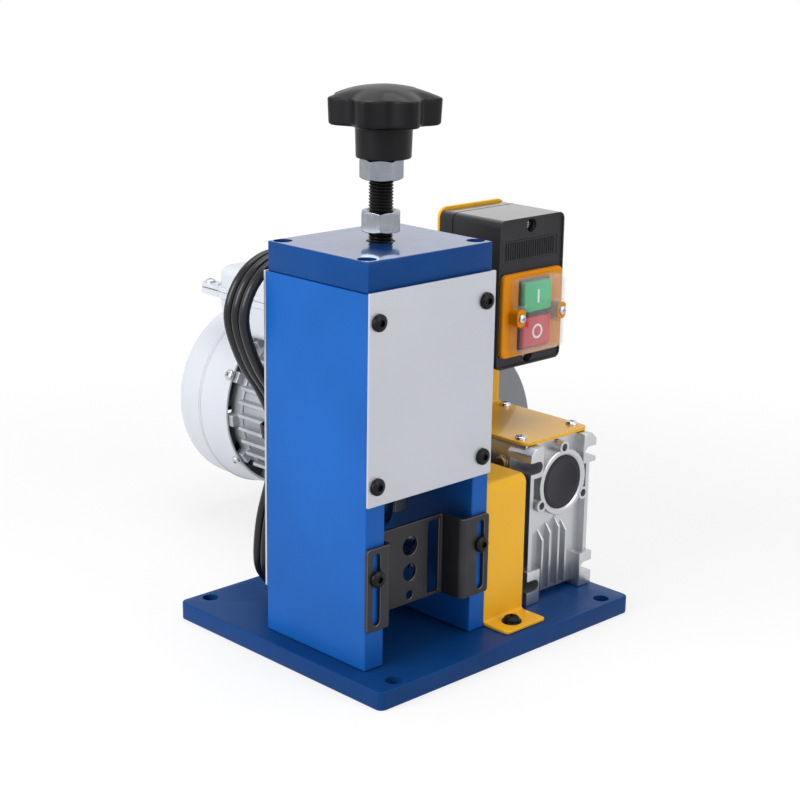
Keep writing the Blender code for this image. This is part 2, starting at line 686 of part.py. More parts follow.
class Shape:
    """A closed mesh that other shapes can be joined to or cut from before it becomes an object."""

    def __init__(self):
        self.mesh = bmesh.new()
        self.steps = []

    def box(self, low, high):
        """Add a box between two opposite corners."""
        outline = ((low[0], low[1]), (high[0], low[1]), (high[0], high[1]), (low[0], high[1]))
        return self.prism(outline, "Z", low[2], high[2])

    def prism(self, outline, axis, start, end):
        """Add an outline extruded along an axis."""
        return self.loft([(outline, start), (outline, end)], axis)

    def loft(self, sections, axis):
        """Add a solid through outlines with equal numbers of points, each at its place on the axis."""
        rings = []
        for outline, along in sections:
            ring = [self.mesh.verts.new(place(axis, point[0], point[1], along)) for point in outline]
            rings.append(ring)
        for lower, upper in zip(rings, rings[1:]):
            for index in range(len(lower)):
                following = (index + 1) % len(lower)
                self.mesh.faces.new((lower[index], lower[following], upper[following], upper[index]))
        self.mesh.faces.new(rings[0])
        self.mesh.faces.new(rings[-1])
        return self

    def turned(self, profile, axis, centre, sides, closed=False):
        """Add a profile of radius and place turned round an axis; a closed profile makes a ring."""
        rings = []
        for radius, along in profile:
            if radius == 0:
                rings.append([self.mesh.verts.new(place(axis, centre[0], centre[1], along))])
                continue
            points = circle(radius, centre, sides)
            rings.append([self.mesh.verts.new(place(axis, point[0], point[1], along)) for point in points])
        pairs = list(zip(rings, rings[1:]))
        if closed:
            pairs.append((rings[-1], rings[0]))
        for lower, upper in pairs:
            if len(lower) == len(upper) == 1:
                continue
            for index in range(sides):
                following = (index + 1) % sides
                corners = [lower[index % len(lower)], lower[following % len(lower)]]
                corners += [upper[following % len(upper)], upper[index % len(upper)]]
                self.mesh.faces.new(list(dict.fromkeys(corners)))
        return self

    def rod(self, radius, axis, centre, start, end, sides):
        """Add a plain cylinder."""
        return self.turned([(0, start), (radius, start), (radius, end), (0, end)], axis, centre, sides)

    def ring(self, inner, outer, axis, centre, start, end, sides):
        """Add a plain ring."""
        profile = [(inner, start), (outer, start), (outer, end), (inner, end)]
        return self.turned(profile, axis, centre, sides, closed=True)

    def round_edges(self, chosen, radius, segments=CORNER_STEPS):
        """Round the edges for which a test of their two ends is true."""
        edges = [edge for edge in self.mesh.edges if chosen(edge.verts[0].co, edge.verts[1].co)]
        bmesh.ops.bevel(
            self.mesh, geom=edges, offset=radius, segments=segments, profile=0.5, affect="EDGES"
        )
        return self

    def round_all(self, radius, segments=CORNER_STEPS):
        """Round every edge."""
        return self.round_edges(lambda first, second: True, radius, segments)

    def moved(self, matrix):
        """Turn and shift everything made so far."""
        bmesh.ops.transform(self.mesh, matrix=matrix, verts=self.mesh.verts)
        return self

    def cut(self, other):
        """Take another shape away."""
        self.steps.append(("DIFFERENCE", other))
        return self

    def join(self, other):
        """Fuse another shape to this one."""
        self.steps.append(("UNION", other))
        return self

    def solid(self):
        """The finished mesh data, with every cut and join carried out."""
        bmesh.ops.recalc_face_normals(self.mesh, faces=self.mesh.faces)
        data = bpy.data.meshes.new("shape")
        self.mesh.to_mesh(data)
        self.mesh.free()
        if not self.steps:
            return data
        work = bpy.data.objects.new("work", data)
        bpy.context.scene.collection.objects.link(work)
        tools = []
        for operation, other in self.steps:
            tool = bpy.data.objects.new("tool", other.solid())
            bpy.context.scene.collection.objects.link(tool)
            tools.append(tool)
            boolean = work.modifiers.new(operation, "BOOLEAN")
            boolean.operation = operation
            boolean.solver = "EXACT"
            boolean.object = tool
        evaluated = work.evaluated_get(bpy.context.evaluated_depsgraph_get())
        result = bpy.data.meshes.new_from_object(evaluated)
        for helper in tools + [work]:
            bpy.data.objects.remove(helper)
        return result


def shade(finish, name):
    """The material of one piece."""
    material = bpy.data.materials.new(name)
    material.use_nodes = True
    surface = material.node_tree.nodes["Principled BSDF"]
    surface.inputs["Base Color"].default_value = (*finish.colour, 1.0)
    surface.inputs["Roughness"].default_value = finish.roughness
    surface.inputs["Metallic"].default_value = finish.metallic
    material.diffuse_color = (*finish.colour, 1.0)
    return material


def add(name, shape, finish, origin=(0.0, 0.0, 0.0)):
    """Make a named object of a shape, with its origin at a point such as its joint's axis."""
    data = shape.solid()
    data.name = name
    data.transform(Matrix.Translation(-Vector(origin)))
    data.materials.clear()
    data.materials.append(shade(finish, name))
    data.shade_smooth()
    data.set_sharp_from_angle(angle=math.radians(SHARP_EDGE_ANGLE))
    piece = bpy.data.objects.new(name, data)
    piece.location = origin
    bpy.context.scene.collection.objects.link(piece)
    return piece


def socket_screw(shape, head, reach, direction, axis, centre, at, sides=SIDES_SMALL):
    """Add a screw: head is its profile from its seat outwards, reach its shank's radius and length."""
    radius, length = reach
    profile = [(0, at - direction * length), (radius, at - direction * length), (radius, at)]
    profile += [(part[0], at + direction * part[1]) for part in head]
    return shape.turned(profile, axis, centre, sides)


def button_head():
    """Profile of a button screw's head with its hexagon socket."""
    crown = BUTTON_HEAD_RADIUS * BUTTON_CROWN_SHARE
    floor = BUTTON_HEAD_HEIGHT - BUTTON_SOCKET_DEPTH
    shoulder = BUTTON_HEAD_HEIGHT * BUTTON_CROWN_SHARE
    return [
        (BUTTON_HEAD_RADIUS, 0),
        (BUTTON_HEAD_RADIUS, shoulder / 2),
        (crown + (BUTTON_HEAD_RADIUS - crown) / 2, shoulder + (BUTTON_HEAD_HEIGHT - shoulder) / 2),
        (crown, BUTTON_HEAD_HEIGHT),
        (BUTTON_SOCKET_RADIUS, BUTTON_HEAD_HEIGHT),
        (BUTTON_SOCKET_RADIUS, floor),
        (0, floor),
    ]


def plain_head(radius, height):
    """Profile of a low domed head."""
    return [(radius, 0), (radius, height / 2), (radius * BUTTON_CROWN_SHARE, height), (0, height)]


def frame_bolt_places():
    """Where the frame's screws stand: x, y, head seat height and the way the head faces."""
    column = [(x, y) for x in (LEFT_BOLT_X, RIGHT_BOLT_X) for y in (FRONT_BOLT_Y, BACK_BOLT_Y)]
    feet = [
        (REDUCER_X + side * (REDUCER_WIDTH / 2 - FOOT_BOLT_INSET), y)
        for side in (-1, 1)
        for y in (REDUCER_FRONT + FOOT_LENGTH / 2, REDUCER_BACK - FOOT_LENGTH / 2)
    ]
    under = FRAME_BOLT_HEAD_HEIGHT + FRAME_BOLT_RECESS
    above = TOP_TOP - FRAME_BOLT_HEAD_HEIGHT - FRAME_BOLT_RECESS
    top = [(x, y, above, 1) for x, y in column]
    bottom = [(x, y, under, -1) for x, y in column + feet]
    return top, bottom


def bolt_hole(shape, x, y, seat, way, face):
    """Add the cutter of a counterbored screw hole whose mouth is at face."""
    end = seat - way * (FRAME_BOLT_LENGTH + OVERRUN)
    profile = [
        (0, end),
        (FRAME_BOLT_RADIUS + GAP, end),
        (FRAME_BOLT_RADIUS + GAP, seat - way * GAP),
        (FRAME_BOLT_HEAD_RADIUS + GAP, seat - way * GAP),
        (FRAME_BOLT_HEAD_RADIUS + GAP, face + way * OVERRUN),
        (0, face + way * OVERRUN),
    ]
    return shape.turned(profile, "Z", (x, y), SIDES_HIDDEN)


def make_base_plate():
    """Flat plate with four open holes and the counterbored holes of the frame's screws."""
    half = (BASE_WIDTH / 2, BASE_DEPTH / 2)
    low = (-half[0], -half[1])
    outline = rounded_rectangle(low, half, BASE_CORNER_RADIUS)
    inner_low = (low[0] + BASE_EDGE_CHAMFER, low[1] + BASE_EDGE_CHAMFER)
    inner_high = (half[0] - BASE_EDGE_CHAMFER, half[1] - BASE_EDGE_CHAMFER)
    small = rounded_rectangle(inner_low, inner_high, BASE_CORNER_RADIUS - BASE_EDGE_CHAMFER)
    sections = [
        (outline, 0),
        (outline, BASE_THICKNESS - BASE_EDGE_CHAMFER),
        (small, BASE_THICKNESS),
    ]
    plate = Shape().loft(sections, "Z")
    holes = Shape()
    for x in (-half[0] + BASE_HOLE_FROM_SIDE, half[0] - BASE_HOLE_FROM_SIDE):
        for y in (-half[1] + BASE_HOLE_FROM_END, half[1] - BASE_HOLE_FROM_END):
            holes.rod(BASE_HOLE_RADIUS, "Z", (x, y), -OVERRUN, BASE_TOP + OVERRUN, SIDES_MEDIUM)
    for y in GUARD_BOLT_YS:
        centre = (GUARD_BOLT_X, y)
        holes.rod(GUARD_BOLT_RADIUS + GAP, "Z", centre, -OVERRUN, BASE_TOP + OVERRUN, SIDES_SMALL)
    for x, y, seat, way in frame_bolt_places()[1]:
        bolt_hole(holes, x, y, seat, way, 0)
    add("base_plate", plate.cut(holes), BLUE_PAINT)


def button_holes(shape, heights, face, way):
    """Add cutters for button screws' shanks in the two screw lines."""
    for x in (LEFT_SCREW_X, RIGHT_SCREW_X):
        for z in heights:
            ends = sorted((face + way * OVERRUN, face - way * (BUTTON_LENGTH + OVERRUN)))
            shape.rod(BUTTON_SHANK_RADIUS + GAP, "Y", (x, z), ends[0], ends[1], SIDES_SMALL)


def make_column():
    """The two uprights and the top plate."""
    top_bolts, bottom_bolts = frame_bolt_places()
    pocket_end = LEFT_INNER - SHAFT_BEARING_WIDTH - OVERLAP
    plates = (
        ("left_side_plate", COLUMN_LEFT, LEFT_INNER),
        ("right_side_plate", RIGHT_INNER, COLUMN_RIGHT),
    )
    for name, low_x, high_x in plates:
        low = (low_x, COLUMN_FRONT, DECK)
        high = (high_x, COLUMN_BACK, SIDE_TOP)
        plate = Shape().box(low, high).round_all(PLATE_EDGE_CHAMFER, 1)
        holes = Shape()
        for x, y, seat, way in top_bolts + bottom_bolts:
            if low_x < x < high_x:
                end = seat - way * (FRAME_BOLT_LENGTH + OVERRUN)
                mouth = SIDE_TOP + OVERRUN if way > 0 else BASE_TOP - OVERRUN
                ends = sorted((end, mouth))
                holes.rod(FRAME_BOLT_RADIUS + GAP, "Z", (x, y), ends[0], ends[1], SIDES_HIDDEN)
        screw_x = LEFT_SCREW_X if name == "left_side_plate" else RIGHT_SCREW_X
        inside = BUTTON_LENGTH + OVERLAP
        for z in FRONT_SCREW_HEIGHTS + (GUIDE_SCREW_Z,):
            start = COLUMN_FRONT - OVERRUN
            holes.rod(
                BUTTON_SHANK_RADIUS + GAP, "Y", (screw_x, z), start, COLUMN_FRONT + inside, SIDES_HIDDEN
            )
        for z in REAR_SCREW_HEIGHTS:
            start = COLUMN_BACK - inside
            holes.rod(
                BUTTON_SHANK_RADIUS + GAP, "Y", (screw_x, z), start, COLUMN_BACK + OVERRUN, SIDES_HIDDEN
            )
        if name == "left_side_plate":
            holes.rod(
                LEFT_BEARING_RADIUS + GAP,
                "X",
                (SHAFT_Y, SHAFT_Z),
                pocket_end,
                LEFT_INNER + OVERRUN,
                SIDES_MEDIUM,
            )
        else:
            holes.rod(
                RIGHT_BEARING_RADIUS + GAP,
                "X",
                (SHAFT_Y, SHAFT_Z),
                RIGHT_INNER - OVERRUN,
                COLUMN_RIGHT + OVERRUN,
                SIDES_MEDIUM,
            )
        add(name, plate.cut(holes), BLUE_PAINT)
    low = (COLUMN_LEFT + TOP_PLATE_INSET, COLUMN_FRONT + TOP_PLATE_INSET, TOP_BOTTOM)
    high = (COLUMN_RIGHT - TOP_PLATE_INSET, COLUMN_BACK - TOP_PLATE_INSET, TOP_TOP)
    top = Shape().box(low, high).round_all(PLATE_EDGE_CHAMFER, 1)
    holes = Shape()
    for x, y, seat, way in top_bolts:
        bolt_hole(holes, x, y, seat, way, TOP_TOP)
    centre = (COLUMN_X, SCREW_Y)
    holes.rod(SCREW_RADIUS + GAP, "Z", centre, TOP_BOTTOM - OVERRUN, TOP_TOP + OVERRUN, SIDES_MEDIUM)
    add("top_plate", top.cut(holes), BLUE_PAINT)


def foot_bolt_length():
    """Length of a screw from under the base into a reducer foot, short of the foot's slot."""
    seat = FRAME_BOLT_HEAD_HEIGHT + FRAME_BOLT_RECESS
    return BASE_TOP - seat + LOWER_SLOT_FROM_BOTTOM - FOOT_SLOT_WIDTH / 2 - OVERRUN


def make_covers():
    """Thin front and rear covers of the column and the button screws that hold them."""
    left = COLUMN_LEFT - FRONT_COVER_OVERHANG
    back = COLUMN_FRONT - GAP
    low = (left, back - FRONT_COVER_THICKNESS, FRONT_COVER_LOW)
    front = Shape().box(low, (COLUMN_RIGHT, back, FRONT_COVER_HIGH))
    holes = Shape()
    button_holes(holes, FRONT_SCREW_HEIGHTS, low[1], -1)
    add("front_cover_plate", front.cut(holes), COVER_ALUMINIUM)

    start = COLUMN_BACK + GAP
    rear = Shape().box((COLUMN_LEFT, start, REAR_COVER_LOW), (COLUMN_RIGHT, REAR_FACE, REAR_COVER_HIGH))
    holes = Shape()
    button_holes(holes, REAR_SCREW_HEIGHTS, REAR_FACE, 1)
    window_low = BASE_TOP + EXIT_WINDOW_BOTTOM
    holes.box(
        (COLUMN_X - EXIT_WINDOW_WIDTH / 2, start - OVERRUN, window_low),
        (COLUMN_X + EXIT_WINDOW_WIDTH / 2, REAR_FACE + OVERRUN, window_low + EXIT_WINDOW_HEIGHT),
    )
    add("rear_cover_plate", rear.cut(holes), COVER_ALUMINIUM)


def make_feed_guide():
    """Hat-shaped strip with a slot in each tab, three wire holes and a tall window."""
    tab_y = COLUMN_FRONT - GAP - GUIDE_THICKNESS / 2
    back_y = tab_y + GUIDE_SETBACK
    left_web = LEFT_INNER + GUIDE_WEB_FROM_LEFT_PLATE
    right_web = RIGHT_INNER - GUIDE_WEB_FROM_RIGHT_PLATE
    path = (
        (COLUMN_LEFT - GUIDE_TAB_OVERHANG_LEFT, tab_y),
        (left_web, tab_y),
        (left_web, back_y),
        (right_web, back_y),
        (right_web, tab_y),
        (COLUMN_RIGHT - GUIDE_TAB_INSET_RIGHT, tab_y),
    )
    outline = bent_sheet(path, GUIDE_THICKNESS, (GUIDE_BEND,) * 4)
    guide = Shape().prism(outline, "Z", GUIDE_LOW, GUIDE_HIGH)
    ends = (path[0][0], path[-1][0])

    def tab_corner(first, second):
        """True for an outer corner of a tab."""
        upright = abs(first.z - second.z) < GAP and abs(first.x - second.x) < GAP
        return upright and min(abs(first.x - end) for end in ends) < GAP

    guide.round_edges(tab_corner, GUIDE_CORNER_RADIUS)
    cuts = Shape()
    slot_low = GUIDE_LOW + GUIDE_SLOT_FROM_END
    slot_high = GUIDE_HIGH - GUIDE_SLOT_FROM_END
    half = GUIDE_SLOT_WIDTH / 2
    for x in (LEFT_SCREW_X, RIGHT_SCREW_X):
        slot = rounded_rectangle((x - half, slot_low), (x + half, slot_high), half)
        cuts.prism(slot, "Y", tab_y - GUIDE_THICKNESS, tab_y + GUIDE_THICKNESS)
    near = back_y - GUIDE_THICKNESS
    far = back_y + GUIDE_THICKNESS
    for radius, share in zip(GUIDE_HOLE_RADII, GUIDE_HOLE_HEIGHT_SHARES):
        centre = (COLUMN_X, GUIDE_LOW + GUIDE_HEIGHT * share)
        cuts.rod(radius, "Y", centre, near, far, SIDES_MEDIUM)
    window_right = right_web - GUIDE_THICKNESS / 2 - GUIDE_WINDOW_RIM
    window = rounded_rectangle(
        (window_right - GUIDE_WINDOW_WIDTH, GUIDE_LOW + GUIDE_WINDOW_RIM),
        (window_right, GUIDE_HIGH - GUIDE_WINDOW_RIM),
        GUIDE_WINDOW_RIM / 2,
    )
    cuts.prism(window, "Y", near, far)
    add("feed_guide", guide.cut(cuts), BLACK_STEEL)

    seat = tab_y - GUIDE_THICKNESS / 2 - GAP
    reach = (BUTTON_SHANK_RADIUS, BUTTON_LENGTH)
    for name, x in (("left_guide_screw", LEFT_SCREW_X), ("right_guide_screw", RIGHT_SCREW_X)):
        screw = socket_screw(Shape(), button_head(), reach, -1, "Y", (x, GUIDE_SCREW_Z), seat)
        add(name, screw, BLACK_STEEL)


def make_nut(name, low, start):
    """A hexagon nut with chamfered faces round the pressure screw."""
    centre = (COLUMN_X, SCREW_Y)
    small = NUT_ACROSS_FLATS - NUT_CHAMFER
    sections = [
        (hexagon(small, centre, start), low),
        (hexagon(NUT_ACROSS_FLATS, centre, start), low + NUT_CHAMFER / 2),
        (hexagon(NUT_ACROSS_FLATS, centre, start), low + NUT_HEIGHT - NUT_CHAMFER / 2),
        (hexagon(small, centre, start), low + NUT_HEIGHT),
    ]
    nut = Shape().loft(sections, "Z")
    bore = Shape().rod(
        SCREW_RADIUS + GAP, "Z", centre, low - OVERRUN, low + NUT_HEIGHT + OVERRUN, SIDES_MEDIUM
    )
    add(name, nut.cut(bore), ZINC, (COLUMN_X, SCREW_Y, low))


def knob_outline(shrink):
    """Star outline of the knob, drawn in by a length."""
    points = []
    count = KNOB_LOBES * KNOB_LOBE_STEPS
    middle = KNOB_RADIUS - KNOB_VALLEY_DEPTH / 2
    for index in range(count):
        angle = math.tau * index / count
        radius = middle + KNOB_VALLEY_DEPTH / 2 * math.cos(KNOB_LOBES * angle) - shrink
        points.append((COLUMN_X + radius * math.cos(angle), SCREW_Y + radius * math.sin(angle)))
    return points


def make_adjuster():
    """Pressure screw with its collar, the two nuts and the star knob."""
    centre = (COLUMN_X, SCREW_Y)
    hub_low = TOP_TOP + KNOB_NUT_LIFT + NUT_HEIGHT + GAP
    collar_low = CARRIAGE_HIGH - COLLAR_POCKET_DEPTH + SCREW_FLOAT / 2
    collar_high = collar_low + SCREW_COLLAR_THICKNESS
    screw_top = hub_low + KNOB_SOCKET_DEPTH - GAP
    profile = [
        (0, collar_low),
        (SCREW_COLLAR_RADIUS, collar_low),
        (SCREW_COLLAR_RADIUS, collar_high),
        (SCREW_RADIUS, collar_high),
        (SCREW_RADIUS, screw_top),
        (0, screw_top),
    ]
    screw = Shape().turned(profile, "Z", centre, SIDES_MEDIUM)
    add("pressure_screw", screw, BLACK_STEEL, (*centre, collar_low))
    make_nut("lock_nut", TOP_TOP + LOCK_NUT_LIFT, 15)
    make_nut("knob_nut", TOP_TOP + KNOB_NUT_LIFT, 45)

    rim_low = hub_low + KNOB_HUB_HEIGHT
    rim_high = rim_low + KNOB_RIM_HEIGHT
    top = rim_high + KNOB_DOME_HEIGHT
    sections = [
        (knob_outline(KNOB_EDGE), rim_low),
        (knob_outline(0), rim_low + KNOB_EDGE),
        (knob_outline(0), rim_high - KNOB_EDGE),
        (knob_outline(KNOB_EDGE / 2), rim_high - KNOB_EDGE / 3),
        (knob_outline(KNOB_EDGE * 2), rim_high + KNOB_EDGE / 3),
    ]
    knob = Shape().loft(sections, "Z")
    dome_radius = KNOB_RADIUS - KNOB_VALLEY_DEPTH - KNOB_EDGE
    hub = [
        (0, hub_low),
        (KNOB_HUB_RADIUS - KNOB_HUB_CHAMFER, hub_low),
        (KNOB_HUB_RADIUS, hub_low + KNOB_HUB_CHAMFER),
        (KNOB_HUB_RADIUS, rim_high - KNOB_EDGE),
        (dome_radius, rim_high - KNOB_EDGE),
        *(
            (dome_radius * across, rim_high + KNOB_DOME_HEIGHT * up)
            for across, up in zip(KNOB_DOME_RADIUS_SHARES, KNOB_DOME_HEIGHT_SHARES)
        ),
        (0, top),
    ]
    knob.join(Shape().turned(hub, "Z", centre, SIDES_MEDIUM))
    bore = Shape().rod(
        SCREW_RADIUS + GAP, "Z", centre, hub_low - OVERRUN, hub_low + KNOB_SOCKET_DEPTH, SIDES_MEDIUM
    )
    add("star_knob", knob.cut(bore), BLACK_PLASTIC, (*centre, hub_low))


def make_carriage():
    """Sliding block with two cheeks, its cap and screws, the blade, its pin and the rails."""
    centre = (COLUMN_X, SCREW_Y)
    half_depth = CARRIAGE_DEPTH / 2
    left = LEFT_INNER + CARRIAGE_SIDE_CLEARANCE
    right = RIGHT_INNER - CARRIAGE_SIDE_CLEARANCE
    block = Shape().box(
        (left, SCREW_Y - half_depth, CARRIAGE_LOW), (right, SCREW_Y + half_depth, CARRIAGE_HIGH)
    )
    for side in (-1, 1):
        across = sorted((COLUMN_X + side * CHEEK_INNER, COLUMN_X + side * CHEEK_OUTER))
        cheek = Shape().box(
            (across[0], SHAFT_Y - CHEEK_DEPTH / 2, BLADE_Z - CHEEK_DEPTH / 2),
            (across[1], SHAFT_Y + CHEEK_DEPTH / 2, CARRIAGE_LOW + OVERRUN),
        )
        block.join(cheek)
    cuts = Shape()
    groove = RAIL_DEPTH / 2 + GAP * 2
    below = CARRIAGE_LOW - OVERRUN
    above = CARRIAGE_HIGH + OVERRUN
    reach = RAIL_PROUD + GAP * 2
    cuts.box((left - OVERRUN, SCREW_Y - groove, below), (LEFT_INNER + reach, SCREW_Y + groove, above))
    cuts.box((RIGHT_INNER - reach, SCREW_Y - groove, below), (right + OVERRUN, SCREW_Y + groove, above))
    pocket = CARRIAGE_HIGH - COLLAR_POCKET_DEPTH
    cuts.rod(SCREW_COLLAR_RADIUS + GAP, "Z", centre, pocket, above, SIDES_MEDIUM)
    cap_screws = [(COLUMN_X + side * (CAP_LENGTH / 2 - CAP_SCREW_FROM_END), SCREW_Y) for side in (-1, 1)]
    for place_xy in cap_screws:
        depth = CARRIAGE_HIGH - CAP_SCREW_LENGTH
        cuts.rod(CAP_SCREW_RADIUS + GAP, "Z", place_xy, depth, above, SIDES_HIDDEN)
    start = COLUMN_X - CHEEK_OUTER - OVERRUN
    end = COLUMN_X + CHEEK_OUTER + OVERRUN
    cuts.rod(AXLE_RADIUS + GAP, "X", (SHAFT_Y, BLADE_Z), start, end, SIDES_MEDIUM)
    add("blade_carriage", block.cut(cuts), MACHINED_STEEL)

    cap_low = CARRIAGE_HIGH + GAP
    cap_high = cap_low + CAP_THICKNESS
    cap = Shape().box(
        (COLUMN_X - CAP_LENGTH / 2, SCREW_Y - half_depth + OVERRUN, cap_low),
        (COLUMN_X + CAP_LENGTH / 2, SCREW_Y + half_depth - OVERRUN, cap_high),
    )
    holes = Shape().rod(
        SCREW_RADIUS + GAP, "Z", centre, cap_low - OVERRUN, cap_high + OVERRUN, SIDES_MEDIUM
    )
    for place_xy in cap_screws:
        holes.rod(
            CAP_SCREW_RADIUS + GAP, "Z", place_xy, cap_low - OVERRUN, cap_high + OVERRUN, SIDES_HIDDEN
        )
    add("carriage_cap", cap.cut(holes), MACHINED_STEEL)
    hub = BLADE_HUB_WIDTH / 2
    half = BLADE_THICKNESS / 2
    bore = AXLE_RADIUS + GAP
    profile = [
        (bore, COLUMN_X - hub),
        (BLADE_HUB_RADIUS, COLUMN_X - hub),
        (BLADE_HUB_RADIUS, COLUMN_X - half),
        (BLADE_RADIUS - BLADE_EDGE, COLUMN_X - half),
        (BLADE_RADIUS, COLUMN_X),
        (BLADE_RADIUS - BLADE_EDGE, COLUMN_X + half),
        (BLADE_HUB_RADIUS, COLUMN_X + half),
        (BLADE_HUB_RADIUS, COLUMN_X + hub),
        (bore, COLUMN_X + hub),
    ]
    axis_point = (COLUMN_X, SHAFT_Y, BLADE_Z)
    blade = Shape().turned(profile, "X", (SHAFT_Y, BLADE_Z), SIDES_MEDIUM, closed=True)
    add("blade_wheel", blade, MACHINED_STEEL, axis_point)
    tip = COLUMN_X + CHEEK_OUTER + GAP
    head_at = COLUMN_X - CHEEK_OUTER - GAP
    pin = [
        (0, head_at - AXLE_HEAD_THICKNESS),
        (AXLE_HEAD_RADIUS, head_at - AXLE_HEAD_THICKNESS),
        (AXLE_HEAD_RADIUS, head_at),
        (AXLE_RADIUS, head_at),
        (AXLE_RADIUS, tip),
        (0, tip),
    ]
    axle = Shape().turned(pin, "X", (SHAFT_Y, BLADE_Z), SIDES_MEDIUM)
    add("blade_axle", axle, MACHINED_STEEL, axis_point)

    low_z = BLADE_Z + RAIL_START
    for name, low_x, high_x in (
        ("left_carriage_rail", LEFT_INNER + GAP, LEFT_INNER + RAIL_PROUD),
        ("right_carriage_rail", RIGHT_INNER - RAIL_PROUD, RIGHT_INNER - GAP),
    ):
        low = (low_x, SCREW_Y - RAIL_DEPTH / 2, low_z)
        high = (high_x, SCREW_Y + RAIL_DEPTH / 2, low_z + RAIL_LENGTH)
        add(name, Shape().box(low, high), MACHINED_STEEL)


def make_drive():
    """Knurled feed roller on the drive shaft, which runs from the column into the reducer."""
    centre = (SHAFT_Y, SHAFT_Z)
    origin = (COLUMN_X, SHAFT_Y, SHAFT_Z)
    outline = []
    for index in range(ROLLER_TEETH * 2):
        angle = math.tau * index / (ROLLER_TEETH * 2)
        radius = ROLLER_RADIUS - ROLLER_TOOTH_DEPTH * (index % 2)
        outline.append((SHAFT_Y + radius * math.cos(angle), SHAFT_Z + radius * math.sin(angle)))
    half = ROLLER_WIDTH / 2
    roller = Shape().prism(outline, "X", COLUMN_X - half, COLUMN_X + half)
    start = COLUMN_X - half - OVERRUN
    bore = Shape().rod(SHAFT_RADIUS + GAP, "X", centre, start, COLUMN_X + half + OVERRUN, SIDES_MEDIUM)
    add("drive_roller", roller.cut(bore), MACHINED_STEEL, origin)

    journal_end = LEFT_INNER - SHAFT_BEARING_WIDTH - OVERLAP / 2
    shaft_end = REDUCER_X + REDUCER_WIDTH / 2 - SIDE_COVER_THICKNESS - GAP * 2
    profile = [
        (0, journal_end),
        (SHAFT_JOURNAL_RADIUS, journal_end),
        (SHAFT_JOURNAL_RADIUS, LEFT_INNER),
        (SHAFT_RADIUS, LEFT_INNER),
        (SHAFT_RADIUS, shaft_end),
        (0, shaft_end),
    ]
    add("drive_shaft", Shape().turned(profile, "X", centre, SIDES_MEDIUM), MACHINED_STEEL, origin)

    left_high = LEFT_INNER - OVERLAP / 2
    right_low = COLUMN_RIGHT - RIGHT_PLATE_THICKNESS / 2 - SHAFT_BEARING_WIDTH / 2
    left_sizes = (SHAFT_JOURNAL_RADIUS, LEFT_BEARING_RADIUS)
    right_sizes = (SHAFT_RADIUS, RIGHT_BEARING_RADIUS)
    left_ends = (left_high - SHAFT_BEARING_WIDTH, left_high)
    right_ends = (right_low, right_low + SHAFT_BEARING_WIDTH)
    add_bearing("left_shaft_bearing", "X", centre, left_sizes, left_ends)
    add_bearing("right_shaft_bearing", "X", centre, right_sizes, right_ends)


def add_bearing(name, axis, centre, sizes, ends):
    """A closed bearing as a plain ring round a shaft; sizes are the shaft's and its own radius."""
    bearing = Shape().ring(sizes[0] + GAP, sizes[1], axis, centre, ends[0], ends[1], SIDES_MEDIUM)
    add(name, bearing, MACHINED_STEEL)


